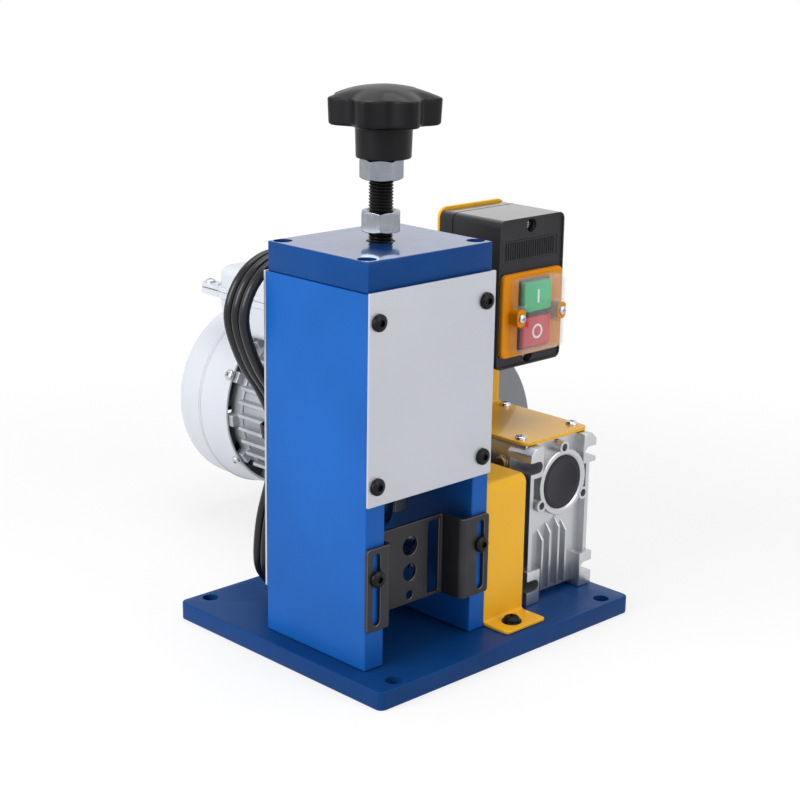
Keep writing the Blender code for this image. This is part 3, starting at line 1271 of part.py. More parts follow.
def reducer_core():
    """The housing's block with its feet, front strips, ring, lugs and fins fused together."""
    half = REDUCER_WIDTH / 2
    core_half = half - CORE_SIDE_INSET
    face = REDUCER_FRONT + CORE_FRONT_RECESS
    low = DECK + CORE_BOTTOM_INSET
    core = Shape().box(
        (REDUCER_X - core_half, face, low), (REDUCER_X + core_half, REDUCER_BACK, REDUCER_TOP)
    )
    ends = (
        (REDUCER_FRONT, REDUCER_FRONT + FOOT_LENGTH),
        (REDUCER_BACK - FOOT_LENGTH, REDUCER_BACK - OVERLAP),
    )
    for side in (-1, 1):
        outer = REDUCER_X + side * half
        inner = outer - side * FOOT_WIDTH
        corner = outer - side * FOOT_TOP_CHAMFER
        upper = (
            (outer, REDUCER_TOP - UPPER_FOOT_HEIGHT),
            (inner, REDUCER_TOP - UPPER_FOOT_HEIGHT),
            (inner, REDUCER_TOP - OVERLAP / 4),
            (corner, REDUCER_TOP - OVERLAP / 4),
            (outer, REDUCER_TOP - FOOT_TOP_CHAMFER),
        )
        lower = (
            (outer, DECK),
            (inner, DECK),
            (inner, DECK + LOWER_FOOT_HEIGHT),
            (outer, DECK + LOWER_FOOT_HEIGHT),
        )
        for start, end in ends:
            core.join(Shape().prism(upper, "Y", start, end))
            core.join(Shape().prism(lower, "Y", start, end))
        strip_outer = REDUCER_X + side * core_half
        strip = sorted((strip_outer, strip_outer - side * STRIP_WIDTH))
        core.join(
            Shape().box(
                (strip[0] + OVERLAP / 4, REDUCER_FRONT + STRIP_RECESS, DECK + LOWER_FOOT_HEIGHT / 2),
                (strip[1] - OVERLAP / 4, face + OVERLAP, REDUCER_TOP - UPPER_FOOT_HEIGHT / 2),
            )
        )
    ring_face = REDUCER_FRONT + OVERLAP / 4
    ring = Shape().rod(RING_RADIUS, "Y", (REDUCER_X, MOTOR_Z), ring_face, face + OVERLAP, SIDES_LARGE)
    core.join(ring)
    for angle in RING_LUG_ANGLES:
        core.join(
            Shape().rod(RING_LUG_RADIUS, "Y", lug_place(angle), REDUCER_FRONT, face + OVERLAP, SIDES_SMALL)
        )
    for across, top in zip(FRONT_FIN_PLACE_SHARES, FRONT_FIN_TOP_SHARES):
        x = REDUCER_X + half * across
        bottom_z = DECK + REDUCER_HEIGHT * FRONT_FIN_BOTTOM_SHARE
        top_z = DECK + REDUCER_HEIGHT * top
        fin = (
            (REDUCER_FRONT + FRONT_FIN_RECESS, bottom_z),
            (face + OVERLAP, bottom_z),
            (face + OVERLAP, top_z + CORE_FRONT_RECESS),
            (REDUCER_FRONT + FRONT_FIN_RECESS, top_z),
        )
        thick = FRONT_FIN_THICKNESS / 2
        core.join(Shape().prism(fin, "X", x - thick, x + thick))
    return core


def lug_place(angle):
    """Place of a lug on the front ring."""
    turn = math.radians(angle)
    return (REDUCER_X + RING_LUG_CIRCLE * math.cos(turn), MOTOR_Z + RING_LUG_CIRCLE * math.sin(turn))


def reducer_cuts():
    """Cutters for the foot slots, bores, bearing seats and gear space, each closed by itself."""
    half = REDUCER_WIDTH / 2
    wheel = (SHAFT_Y, SHAFT_Z)
    worm = (REDUCER_X, MOTOR_Z)
    slots = Shape()
    slot_heights = (REDUCER_TOP - UPPER_SLOT_FROM_TOP, DECK + LOWER_SLOT_FROM_BOTTOM)
    ends = (
        (REDUCER_FRONT - OVERRUN, REDUCER_FRONT + FOOT_LENGTH + GAP),
        (REDUCER_BACK - FOOT_LENGTH - GAP, REDUCER_BACK + OVERRUN),
    )
    radius = FOOT_SLOT_WIDTH / 2
    for side in (-1, 1):
        outer = REDUCER_X + side * (half + OVERRUN)
        centre_x = REDUCER_X + side * (half - FOOT_SLOT_REACH + radius)
        for z in slot_heights:
            nose = [
                (centre_x - side * (x - centre_x), height)
                for x, height in arc((centre_x, z), radius, -90, 90, CORNER_STEPS * 2)
            ]
            outline = nose + [(outer, nose[-1][1]), (outer, nose[0][1])]
            for start, end in ends:
                slots.prism(outline, "Y", start, end)
    holes = Shape()
    for angle in RING_LUG_ANGLES:
        depth = REDUCER_FRONT + CORE_FRONT_RECESS
        holes.rod(RING_LUG_HOLE_RADIUS, "Y", lug_place(angle), REDUCER_FRONT - OVERRUN, depth, SIDES_HIDDEN)
    for x, y, seat, way in frame_bolt_places()[1]:
        if abs(x - REDUCER_X) < half:
            top = seat - way * (foot_bolt_length() + GAP * 2)
            holes.rod(FRAME_BOLT_RADIUS + GAP, "Z", (x, y), BASE_TOP - OVERRUN, top, SIDES_HIDDEN)
    for x, y in BRACKET_SCREW_PLACES:
        depth = BRACKET_FLOOR + GAP - PAN_LENGTH - OVERLAP
        holes.rod(PAN_SHANK_RADIUS + GAP, "Z", (x, y), depth, REDUCER_TOP + OVERRUN, SIDES_HIDDEN)
    holes.rod(
        OIL_PLUG_STEM_RADIUS + GAP,
        "X",
        oil_plug_place(),
        REDUCER_X - half - OVERRUN,
        REDUCER_X - half + CORE_SIDE_INSET + OIL_PLUG_STEM_LENGTH + OVERLAP,
        SIDES_HIDDEN,
    )
    wheel_radius = wheel_tip_radius() + WHEEL_CAVITY_CLEARANCE
    wheel_space = Shape().rod(
        wheel_radius,
        "X",
        wheel,
        REDUCER_X - WHEEL_CAVITY_HALF_WIDTH,
        REDUCER_X + WHEEL_CAVITY_HALF_WIDTH,
        SIDES_MEDIUM,
    )
    wheel_bore = Shape().rod(
        WHEEL_BEARING_RADIUS + GAP,
        "X",
        wheel,
        REDUCER_X - half - OVERRUN,
        REDUCER_X + half + OVERRUN,
        SIDES_MEDIUM,
    )
    cap_floor = REDUCER_FRONT + END_CAP_RECESS + END_CAP_THICKNESS + GAP
    worm_profile = [
        (0, REDUCER_FRONT - OVERRUN),
        (RING_BORE_RADIUS, REDUCER_FRONT - OVERRUN),
        (RING_BORE_RADIUS, cap_floor),
        (WORM_BEARING_RADIUS + GAP, cap_floor),
        (WORM_BEARING_RADIUS + GAP, SHAFT_Y - WORM_CAVITY_HALF_LENGTH),
        (WORM_CAVITY_RADIUS, SHAFT_Y - WORM_CAVITY_HALF_LENGTH),
        (WORM_CAVITY_RADIUS, SHAFT_Y + WORM_CAVITY_HALF_LENGTH),
        (WORM_BEARING_RADIUS + GAP, SHAFT_Y + WORM_CAVITY_HALF_LENGTH),
        (WORM_BEARING_RADIUS + GAP, REDUCER_BACK + OVERRUN),
        (0, REDUCER_BACK + OVERRUN),
    ]
    worm_bore = Shape().turned(worm_profile, "Y", worm, SIDES_MEDIUM)
    return slots, holes, wheel_space, wheel_bore, worm_bore


def oil_plug_place():
    """Place of the oil plug on the housing's left side, as y and z."""
    return (SHAFT_Y - FOOT_LENGTH, REDUCER_TOP - OIL_PLUG_DROP)


def wheel_tip_radius():
    """Outer radius of the worm wheel."""
    return GEAR_MODULE * WHEEL_TEETH / 2 + TOOTH_ADDENDUM


def make_reducer():
    """Housing, covers, end cap, oil plug and bearings of the worm reducer."""
    half = REDUCER_WIDTH / 2
    housing = reducer_core()
    for cutter in reducer_cuts():
        housing.cut(cutter)
    add("reducer_housing", housing, CAST_ALUMINIUM)

    wheel = (SHAFT_Y, SHAFT_Z)
    inner = half - CORE_SIDE_INSET + GAP
    outer = inner + SIDE_COVER_THICKNESS
    left_cover = Shape().ring(
        SHAFT_RADIUS + GAP,
        SIDE_COVER_RADIUS,
        "X",
        wheel,
        REDUCER_X - outer,
        REDUCER_X - inner,
        SIDES_MEDIUM,
    )
    add("reducer_left_cover", left_cover, CAST_ALUMINIUM)
    right_cover = Shape().rod(
        SIDE_COVER_RADIUS, "X", wheel, REDUCER_X + inner, REDUCER_X + outer, SIDES_MEDIUM
    )
    add("reducer_right_cover", right_cover, CAST_ALUMINIUM)

    cap_front = REDUCER_FRONT + END_CAP_RECESS
    cap = Shape().rod(
        RING_BORE_RADIUS - GAP,
        "Y",
        (REDUCER_X, MOTOR_Z),
        cap_front,
        cap_front + END_CAP_THICKNESS,
        SIDES_MEDIUM,
    )
    add("reducer_end_cap", cap, CHARCOAL_PLASTIC)

    seat = REDUCER_X - half + CORE_SIDE_INSET - GAP
    plug = Shape()
    socket_screw(
        plug,
        [(OIL_PLUG_RADIUS, 0), (OIL_PLUG_RADIUS, OIL_PLUG_HEAD_THICKNESS), (0, OIL_PLUG_HEAD_THICKNESS)],
        (OIL_PLUG_STEM_RADIUS, OIL_PLUG_STEM_LENGTH),
        -1,
        "X",
        oil_plug_place(),
        seat,
        SIDES_SMALL,
    )
    add("oil_plug", plug, BRONZE)

    worm = (REDUCER_X, MOTOR_Z)
    sizes = (WORM_ROOT_RADIUS, WORM_BEARING_RADIUS)
    for name, start in (
        ("front_worm_bearing", SHAFT_Y - WORM_CAVITY_HALF_LENGTH - WORM_BEARING_WIDTH),
        ("rear_worm_bearing", SHAFT_Y + WORM_CAVITY_HALF_LENGTH + GAP),
    ):
        add_bearing(name, "Y", worm, sizes, (start, start + WORM_BEARING_WIDTH - GAP))
    sizes = (SHAFT_RADIUS, WHEEL_BEARING_RADIUS)
    seat = half - CORE_SIDE_INSET
    for name, start in (
        ("left_wheel_bearing", REDUCER_X - seat),
        ("right_wheel_bearing", REDUCER_X + seat - WHEEL_BEARING_WIDTH),
    ):
        add_bearing(name, "X", wheel, sizes, (start, start + WHEEL_BEARING_WIDTH))


def gear_outline(twist):
    """Outline of the worm wheel's teeth, turned by a small angle; a tooth points straight up."""
    points = []
    pitch_angle = math.tau / WHEEL_TEETH
    pitch_radius = GEAR_MODULE * WHEEL_TEETH / 2
    half_root = pitch_angle * TOOTH_THICKNESS_SHARE / 2 * (2 - TOOTH_TIP_SHARE)
    half_tip = pitch_angle * TOOTH_THICKNESS_SHARE / 2 * TOOTH_TIP_SHARE
    for tooth in range(WHEEL_TEETH):
        middle = math.pi / 2 + twist + pitch_angle * tooth
        corners = (
            (pitch_radius - TOOTH_DEDENDUM, middle - half_root),
            (pitch_radius + TOOTH_ADDENDUM, middle - half_tip),
            (pitch_radius + TOOTH_ADDENDUM, middle + half_tip),
            (pitch_radius - TOOTH_DEDENDUM, middle + half_root),
        )
        for radius, angle in corners:
            points.append((SHAFT_Y + radius * math.cos(angle), SHAFT_Z + radius * math.sin(angle)))
    return points


def make_gears():
    """Worm and worm wheel in mesh: a thread flank stands in the gap beside the wheel's top tooth."""
    half = WHEEL_WIDTH / 2
    pitch_radius = GEAR_MODULE * WHEEL_TEETH / 2
    lead = math.pi * GEAR_MODULE
    worm_pitch_radius = CENTRE_DISTANCE - pitch_radius
    twist = half * lead / (math.tau * worm_pitch_radius * pitch_radius)
    wheel = Shape().loft(
        [
            (gear_outline(-twist), REDUCER_X - half),
            (gear_outline(twist), REDUCER_X + half),
        ],
        "X",
    )
    centre = (SHAFT_Y, SHAFT_Z)
    bore = Shape().rod(
        SHAFT_RADIUS + GAP,
        "X",
        centre,
        REDUCER_X - half - OVERRUN,
        REDUCER_X + half + OVERRUN,
        SIDES_MEDIUM,
    )
    add("worm_wheel", wheel.cut(bore), BRONZE, (REDUCER_X, SHAFT_Y, SHAFT_Z))

    front = SHAFT_Y - WORM_CAVITY_HALF_LENGTH - WORM_BEARING_WIDTH
    back = SHAFT_Y + WORM_CAVITY_HALF_LENGTH + WORM_BEARING_WIDTH
    axis = (REDUCER_X, MOTOR_Z)
    worm = Shape().rod(WORM_ROOT_RADIUS, "Y", axis, front, back, SIDES_MEDIUM)
    worm.join(worm_thread(lead))
    bore = Shape().rod(
        WORM_BORE_RADIUS, "Y", axis, back - MOTOR_SHAFT_REACH_FRONT, back + OVERRUN, SIDES_MEDIUM
    )
    add("worm_shaft", worm.cut(bore), MACHINED_STEEL, (REDUCER_X, SHAFT_Y, MOTOR_Z))


def worm_thread(lead):
    """One helical ridge whose middle passes the wheel's plane at the top of the worm."""
    ridge = Shape()
    turns = int(WORM_LENGTH / lead)
    steps = turns * WORM_THREAD_STEPS
    outer = CENTRE_DISTANCE - GEAR_MODULE * WHEEL_TEETH / 2 + WORM_ADDENDUM
    inner = WORM_ROOT_RADIUS - OVERLAP
    root_half = lead * TOOTH_THICKNESS_SHARE / 2 * (2 - TOOTH_TIP_SHARE)
    tip_half = lead * TOOTH_THICKNESS_SHARE / 2 * TOOTH_TIP_SHARE
    corners = ((inner, -root_half), (outer, -tip_half), (outer, tip_half), (inner, root_half))
    rings = []
    for step in range(steps + 1):
        turn = math.tau * (step / WORM_THREAD_STEPS - turns / 2)
        along = SHAFT_Y + lead * turn / math.tau
        ring = []
        for radius, offset in corners:
            point = Vector(
                (REDUCER_X + radius * math.sin(turn), along + offset, MOTOR_Z + radius * math.cos(turn))
            )
            ring.append(ridge.mesh.verts.new(point))
        rings.append(ring)
    for lower, upper in zip(rings, rings[1:]):
        for index in range(4):
            following = (index + 1) % 4
            ridge.mesh.faces.new((lower[index], lower[following], upper[following], upper[index]))
    ridge.mesh.faces.new(rings[0])
    ridge.mesh.faces.new(rings[-1])
    return ridge


def motor_outline():
    """Section of the motor body: round with flat fins standing out to both sides."""
    fins = []
    half = MOTOR_FIN_THICKNESS / 2
    count = MOTOR_FIN_COUNT_EACH_SIDE
    for index in range(-count, count + 1):
        for edge in (-half, half):
            z = index * MOTOR_FIN_PITCH + edge
            root = math.sqrt(MOTOR_ROOT_RADIUS**2 - z * z)
            tip = math.sqrt(MOTOR_BODY_RADIUS**2 - z * z)
            pair = ((root, z), (tip, z))
            fins.extend(pair if edge < 0 else pair[::-1])
    top = math.degrees(math.atan2(fins[-1][1], fins[-1][0]))
    crown = arc((0, 0), MOTOR_ROOT_RADIUS, top, 180 - top, SIDES_SMALL)[1:-1]
    right = [(MOTOR_X + x, MOTOR_Z + z) for x, z in fins]
    upper = [(MOTOR_X + x, MOTOR_Z + z) for x, z in crown]
    left = [(MOTOR_X - x, MOTOR_Z + z) for x, z in reversed(fins)]
    lower = [(MOTOR_X - x, MOTOR_Z - z) for x, z in crown]
    return right + upper + left + lower


def make_motor():
    """Flange, finned body, stator, rotor, shaft, bearings, end shield, fan and fan cover."""
    axis = (MOTOR_X, MOTOR_Z)
    origin = (MOTOR_X, SHIELD_BACK, MOTOR_Z)
    bearing_front = FLANGE_BACK - MOTOR_BEARING_WIDTH - GAP
    flange_profile = [
        (MOTOR_SHAFT_RADIUS + GAP * 2, FLANGE_FRONT),
        (MOTOR_FLANGE_RADIUS - OVERLAP, FLANGE_FRONT),
        (MOTOR_FLANGE_RADIUS, FLANGE_FRONT + OVERLAP),
        (MOTOR_FLANGE_RADIUS, FLANGE_BACK),
        (FRONT_BEARING_RADIUS + GAP, FLANGE_BACK),
        (FRONT_BEARING_RADIUS + GAP, bearing_front),
        (MOTOR_SHAFT_RADIUS + GAP * 2, bearing_front),
    ]
    flange = Shape().turned(flange_profile, "Y", axis, SIDES_LARGE, closed=True)
    add("motor_flange", flange, GREY_PAINT)

    body = Shape().prism(motor_outline(), "Y", BODY_FRONT, BODY_BACK)
    bore = Shape().rod(MOTOR_BORE_RADIUS, "Y", axis, BODY_FRONT - OVERRUN, BODY_BACK + OVERRUN, SIDES_LARGE)
    add("motor_body", body.cut(bore), CAST_ALUMINIUM)

    stator = Shape().ring(
        STATOR_BORE_RADIUS,
        STATOR_RADIUS,
        "Y",
        axis,
        STATOR_MIDDLE - STATOR_LENGTH / 2,
        STATOR_MIDDLE + STATOR_LENGTH / 2,
        SIDES_LARGE,
    )
    add("motor_stator", stator, LAMINATED_STEEL)
    rotor = Shape().ring(
        MOTOR_SHAFT_RADIUS + GAP,
        ROTOR_RADIUS,
        "Y",
        axis,
        STATOR_MIDDLE - ROTOR_LENGTH / 2,
        STATOR_MIDDLE + ROTOR_LENGTH / 2,
        SIDES_MEDIUM,
    )
    add("motor_rotor", rotor, LAMINATED_STEEL, origin)

    worm_back = SHAFT_Y + WORM_CAVITY_HALF_LENGTH + WORM_BEARING_WIDTH
    nose = worm_back - MOTOR_SHAFT_REACH_FRONT + GAP * 2
    profile = [
        (0, nose),
        (MOTOR_SHAFT_FRONT_RADIUS, nose),
        (MOTOR_SHAFT_FRONT_RADIUS, worm_back + GAP * 2),
        (MOTOR_SHAFT_RADIUS, worm_back + GAP * 2),
        (MOTOR_SHAFT_RADIUS, SHIELD_FRONT - GAP),
        (MOTOR_SHAFT_REAR_RADIUS, SHIELD_FRONT - GAP),
        (MOTOR_SHAFT_REAR_RADIUS, FAN_BACK + OVERRUN),
        (0, FAN_BACK + OVERRUN),
    ]
    add("motor_shaft", Shape().turned(profile, "Y", axis, SIDES_MEDIUM), MACHINED_STEEL, origin)

    sizes = (MOTOR_SHAFT_RADIUS, FRONT_BEARING_RADIUS)
    add_bearing("front_motor_bearing", "Y", axis, sizes, (bearing_front + GAP, FLANGE_BACK - GAP))
    sizes = (MOTOR_SHAFT_REAR_RADIUS, REAR_BEARING_RADIUS)
    ends = (SHIELD_FRONT + GAP, SHIELD_FRONT + MOTOR_BEARING_WIDTH)
    add_bearing("rear_motor_bearing", "Y", axis, sizes, ends)
    make_end_shield(axis)
    make_fan(axis, origin)


def turned_about_motor(shape, angle):
    """Swing a shape made on the motor's +X side round the motor's axis, by degrees."""
    centre = Matrix.Translation((MOTOR_X, 0, MOTOR_Z))
    swing = Matrix.Rotation(-math.radians(angle), 4, "Y")
    return shape.moved(centre @ swing @ centre.inverted())


def make_end_shield(axis):
    """Rear shield with the rear bearing's seat and the pads that the fan cover is screwed to."""
    seat = SHIELD_FRONT + MOTOR_BEARING_WIDTH + GAP
    profile = [
        (MOTOR_SHAFT_REAR_RADIUS + GAP * 2, seat),
        (REAR_BEARING_RADIUS + GAP, seat),
        (REAR_BEARING_RADIUS + GAP, SHIELD_FRONT),
        (END_SHIELD_RADIUS, SHIELD_FRONT),
        (END_SHIELD_RADIUS, SHIELD_BACK),
        (MOTOR_SHAFT_REAR_RADIUS + GAP * 2, SHIELD_BACK),
    ]
    shield = Shape().turned(profile, "Y", axis, SIDES_LARGE, closed=True)
    pad_outer = COVER_RIM_RADIUS - COVER_WALL - END_SHIELD_PAD_CLEARANCE
    for index in range(END_SHIELD_PADS):
        angle = PAD_FIRST_ANGLE + index * 360 / END_SHIELD_PADS
        low = (MOTOR_X + END_SHIELD_RADIUS - OVERRUN, SHIELD_FRONT + END_SHIELD_PAD_START)
        pad = Shape().box(
            (low[0], low[1] - END_SHIELD_PAD_START / 2, MOTOR_Z - END_SHIELD_PAD_WIDTH / 2),
            (MOTOR_X + pad_outer, SHIELD_BACK - OVERLAP, MOTOR_Z + END_SHIELD_PAD_WIDTH / 2),
        )
        shield.join(turned_about_motor(pad, angle))
    holes = Shape()
    for angle in COVER_SCREW_ANGLES:
        hole = Shape().rod(
            COVER_SCREW_RADIUS + GAP,
            "X",
            (cover_screw_y(), MOTOR_Z),
            MOTOR_X + COVER_RIM_RADIUS - COVER_SCREW_LENGTH - OVERLAP,
            MOTOR_X + COVER_RIM_RADIUS + OVERRUN,
            SIDES_HIDDEN,
        )
        copy_into(holes, turned_about_motor(hole, angle))
    add("motor_end_shield", shield.cut(holes), CAST_ALUMINIUM)


def copy_into(target, source):
    """Move a shape's mesh into another shape."""
    data = bpy.data.meshes.new("copy")
    source.mesh.to_mesh(data)
    source.mesh.free()
    target.mesh.from_mesh(data)
    bpy.data.meshes.remove(data)


def cover_screw_y():
    """Place along the motor of the fan cover's screws."""
    return SHIELD_FRONT + (END_SHIELD_THICKNESS + END_SHIELD_PAD_START) / 2


def make_fan(axis, origin):
    """Cooling fan, its cover with vents, and the cover's screws."""
    outline = []
    half_angle = math.asin(FAN_BLADE_THICKNESS / 2 / FAN_HUB_RADIUS)
    tip_angle = math.asin(FAN_BLADE_THICKNESS / 2 / FAN_BLADE_RADIUS)
    for index in range(FAN_BLADES):
        middle = math.tau * index / FAN_BLADES
        step = math.tau / FAN_BLADES
        corners = (
            (FAN_HUB_RADIUS, middle - half_angle),
            (FAN_BLADE_RADIUS, middle - tip_angle),
            (FAN_BLADE_RADIUS, middle + tip_angle),
            (FAN_HUB_RADIUS, middle + half_angle),
            (FAN_HUB_RADIUS, middle + step / 2),
        )
        for radius, angle in corners:
            outline.append((MOTOR_X + radius * math.cos(angle), MOTOR_Z + radius * math.sin(angle)))
    fan = Shape().prism(outline, "Y", FAN_FRONT, FAN_BACK)
    bore = Shape().rod(
        MOTOR_SHAFT_REAR_RADIUS + GAP, "Y", axis, FAN_FRONT - OVERRUN, FAN_BACK + OVERRUN, SIDES_MEDIUM
    )
    add("cooling_fan", fan.cut(bore), BLACK_PLASTIC, origin)

    ridge = COVER_FRONT + COVER_RIDGE_AT
    straight = COVER_FRONT + COVER_STRAIGHT_TO
    edge = COVER_EDGE_RADIUS
    inner_edge = edge - COVER_WALL
    corner = (COVER_BACK_RADIUS - edge, straight)
    outside = [(COVER_RIM_RADIUS, COVER_FRONT), (COVER_RIDGE_RADIUS, ridge)]
    outside += arc(corner, edge, 0, 90, CORNER_STEPS)
    inside = arc(corner, inner_edge, 90, 0, CORNER_STEPS)
    inside += [(COVER_RIDGE_RADIUS - COVER_WALL, ridge), (COVER_RIM_RADIUS - COVER_WALL, COVER_FRONT)]
    profile = outside + [(0, COVER_BACK), (0, COVER_BACK - COVER_WALL)] + inside
    cover = Shape().turned(profile, "Y", axis, SIDES_LARGE, closed=True)
    vents = Shape()
    for index in range(COVER_VENTS):
        vent = Shape().box(
            (MOTOR_X + COVER_VENT_INNER, COVER_BACK - COVER_WALL - OVERRUN, MOTOR_Z - COVER_VENT_WIDTH / 2),
            (MOTOR_X + COVER_VENT_OUTER, COVER_BACK + OVERRUN, MOTOR_Z + COVER_VENT_WIDTH / 2),
        )
        copy_into(vents, turned_about_motor(vent, index * 360 / COVER_VENTS))
    for angle in COVER_SCREW_ANGLES:
        hole = Shape().rod(
            COVER_SCREW_RADIUS + GAP,
            "X",
            (cover_screw_y(), MOTOR_Z),
            MOTOR_X + COVER_RIM_RADIUS - OVERRUN * 2,
            MOTOR_X + COVER_RIM_RADIUS + OVERRUN * 2,
            SIDES_HIDDEN,
        )
        copy_into(vents, turned_about_motor(hole, angle))
    add("fan_cover", cover.cut(vents), PALE_PAINT)


def terminal_outline(grow):
    """Outline of the terminal box seen from above, grown by a length."""
    return rounded_rectangle(
        (TERMINAL_LEFT - grow, TERMINAL_FRONT - grow),
        (TERMINAL_RIGHT + grow, TERMINAL_BACK + grow),
        TERMINAL_CORNER_RADIUS + grow,
        CORNER_STEPS + 1,
    )


def lug_block(low, high):
    """Four round screw lugs, each with a neck that reaches into the box's edge."""
    lugs = []
    for x, y in LUG_PLACES:
        inward = 1 if y < (TERMINAL_FRONT + TERMINAL_BACK) / 2 else -1
        neck_end = y + inward * (LUG_OUT_Y + TERMINAL_CORNER_RADIUS / 2)
        outline = arc((x, y), LUG_RADIUS, 0 if inward < 0 else 180, 180 if inward < 0 else 360, 6)
        outline += [(outline[-1][0], neck_end), (outline[0][0], neck_end)]
        lugs.append(Shape().prism(outline, "Z", low, high))
    return lugs


def make_terminal_box():
    """Box saddled on the motor, its lid and the capacitor inside."""
    axis = (MOTOR_X, MOTOR_Z)
    bottom = MOTOR_Z + TERMINAL_BOTTOM
    draft = TERMINAL_RIM_WIDTH
    box = Shape().loft(
        [
            (terminal_outline(-TERMINAL_UNDER_RADIUS / 2 - draft), bottom),
            (terminal_outline(-draft - TERMINAL_WALL), bottom + TERMINAL_UNDER_RADIUS / 4),
            (terminal_outline(-draft), bottom + TERMINAL_UNDER_RADIUS),
            (terminal_outline(-draft), RIM_HIGH - OVERLAP / 2),
        ],
        "Z",
    )
    box.join(Shape().prism(terminal_outline(0), "Z", RIM_LOW, RIM_HIGH))
    for lug in lug_block(RIM_LOW + OVERLAP / 4, RIM_HIGH - OVERLAP / 4):
        box.join(lug)
    floor = MOTOR_Z + TERMINAL_FLOOR
    box.cut(Shape().prism(terminal_outline(-draft - TERMINAL_WALL), "Z", floor, RIM_HIGH + OVERRUN))
    box.cut(
        Shape().rod(
            MOTOR_ROOT_RADIUS + GAP,
            "Y",
            axis,
            TERMINAL_FRONT - TERMINAL_CORNER_RADIUS,
            COVER_FRONT,
            SIDES_LARGE,
        )
    )
    far = TERMINAL_BACK + TERMINAL_CORNER_RADIUS
    box.cut(Shape().rod(COVER_RIDGE_RADIUS + GAP, "Y", axis, BODY_BACK, far, SIDES_LARGE))
    holes = Shape()
    for place_xy in LUG_PLACES:
        holes.rod(
            LUG_SCREW_RADIUS + GAP, "Z", place_xy, RIM_LOW - OVERRUN, RIM_HIGH + OVERRUN, SIDES_HIDDEN
        )
    lead = lead_hole_place()
    holes.rod(
        LEAD_HOLE_RADIUS,
        "Y",
        lead,
        TERMINAL_FRONT - OVERRUN,
        TERMINAL_FRONT + TERMINAL_CORNER_RADIUS / 2,
        SIDES_HIDDEN,
    )
    add("terminal_box", box.cut(holes), PALE_PAINT)

    lip_top = LID_LOW + LID_LIP
    lid = Shape().loft(
        [
            (terminal_outline(0), LID_LOW),
            (terminal_outline(0), lip_top),
        ],
        "Z",
    )
    dome = [(terminal_outline(-draft), lip_top - OVERLAP)]
    for radius, height in arc((0, 0), LID_EDGE_RADIUS, 0, 90, CORNER_STEPS):
        inset = LID_EDGE_RADIUS - radius
        dome.append((terminal_outline(-draft - inset), LID_HIGH - LID_EDGE_RADIUS + height))
    lid.join(Shape().loft(dome, "Z"))
    for lug in lug_block(LID_LOW + OVERLAP / 4, lip_top - OVERLAP / 4):
        lid.join(lug)
    hollow = terminal_outline(-draft - TERMINAL_WALL)
    lid.cut(Shape().prism(hollow, "Z", LID_LOW - OVERRUN, LID_HIGH - TERMINAL_WALL))
    holes = Shape()
    for place_xy in LUG_PLACES:
        holes.rod(
            LUG_SCREW_RADIUS + GAP, "Z", place_xy, LID_LOW - OVERRUN, lip_top + OVERRUN, SIDES_HIDDEN
        )
    add("terminal_box_lid", lid.cut(holes), PALE_PAINT)

    middle = (TERMINAL_FRONT + TERMINAL_BACK) / 2
    centre = (MOTOR_X + CAPACITOR_SIDE, floor + GAP + CAPACITOR_RADIUS)
    start = middle - CAPACITOR_LENGTH / 2
    capacitor = Shape().rod(
        CAPACITOR_RADIUS, "Y", centre, start, start + CAPACITOR_LENGTH, SIDES_MEDIUM
    )
    add("run_capacitor", capacitor, PALE_PAINT)


def lead_hole_place():
    """Place of the lead's hole in the terminal box's front, as x and z."""
    return (MOTOR_X + LEAD_HOLE_SIDE, RIM_LOW - LEAD_HOLE_BELOW_RIM)


def make_guard():
    """Bent yellow sheet over the drive shaft, with a foot at each end."""
    half = GUARD_THICKNESS / 2
    foot_z = DECK + half
    front = GUARD_FRONT + half
    back = GUARD_BACK - half
    path = (
        (GUARD_FRONT - GUARD_FOOT_LENGTH, foot_z),
        (front, foot_z),
        (front, GUARD_TOP - half),
        (back, GUARD_TOP - half),
        (back, foot_z),
        (GUARD_BACK + GUARD_FOOT_LENGTH, foot_z),
    )
    bends = (GUARD_FOOT_BEND, GUARD_BEND, GUARD_BEND, GUARD_FOOT_BEND)
    guard = Shape().prism(bent_sheet(path, GUARD_THICKNESS, bends), "X", GUARD_LEFT, GUARD_RIGHT)
    ends = (path[0][0], path[-1][0])

    def foot_corner(first, second):
        """True for an outer corner of a foot."""
        upright = abs(first.x - second.x) < GAP and abs(first.y - second.y) < GAP
        return upright and min(abs(first.y - end) for end in ends) < GAP

    guard.round_edges(foot_corner, GUARD_CORNER_RADIUS)
    holes = Shape()
    for y in GUARD_BOLT_YS:
        holes.rod(
            GUARD_BOLT_RADIUS + GAP,
            "Z",
            (GUARD_BOLT_X, y),
            DECK - OVERRUN,
            DECK + GUARD_THICKNESS + OVERRUN,
            SIDES_SMALL,
        )
    add("shaft_guard", guard.cut(holes), YELLOW_PAINT)


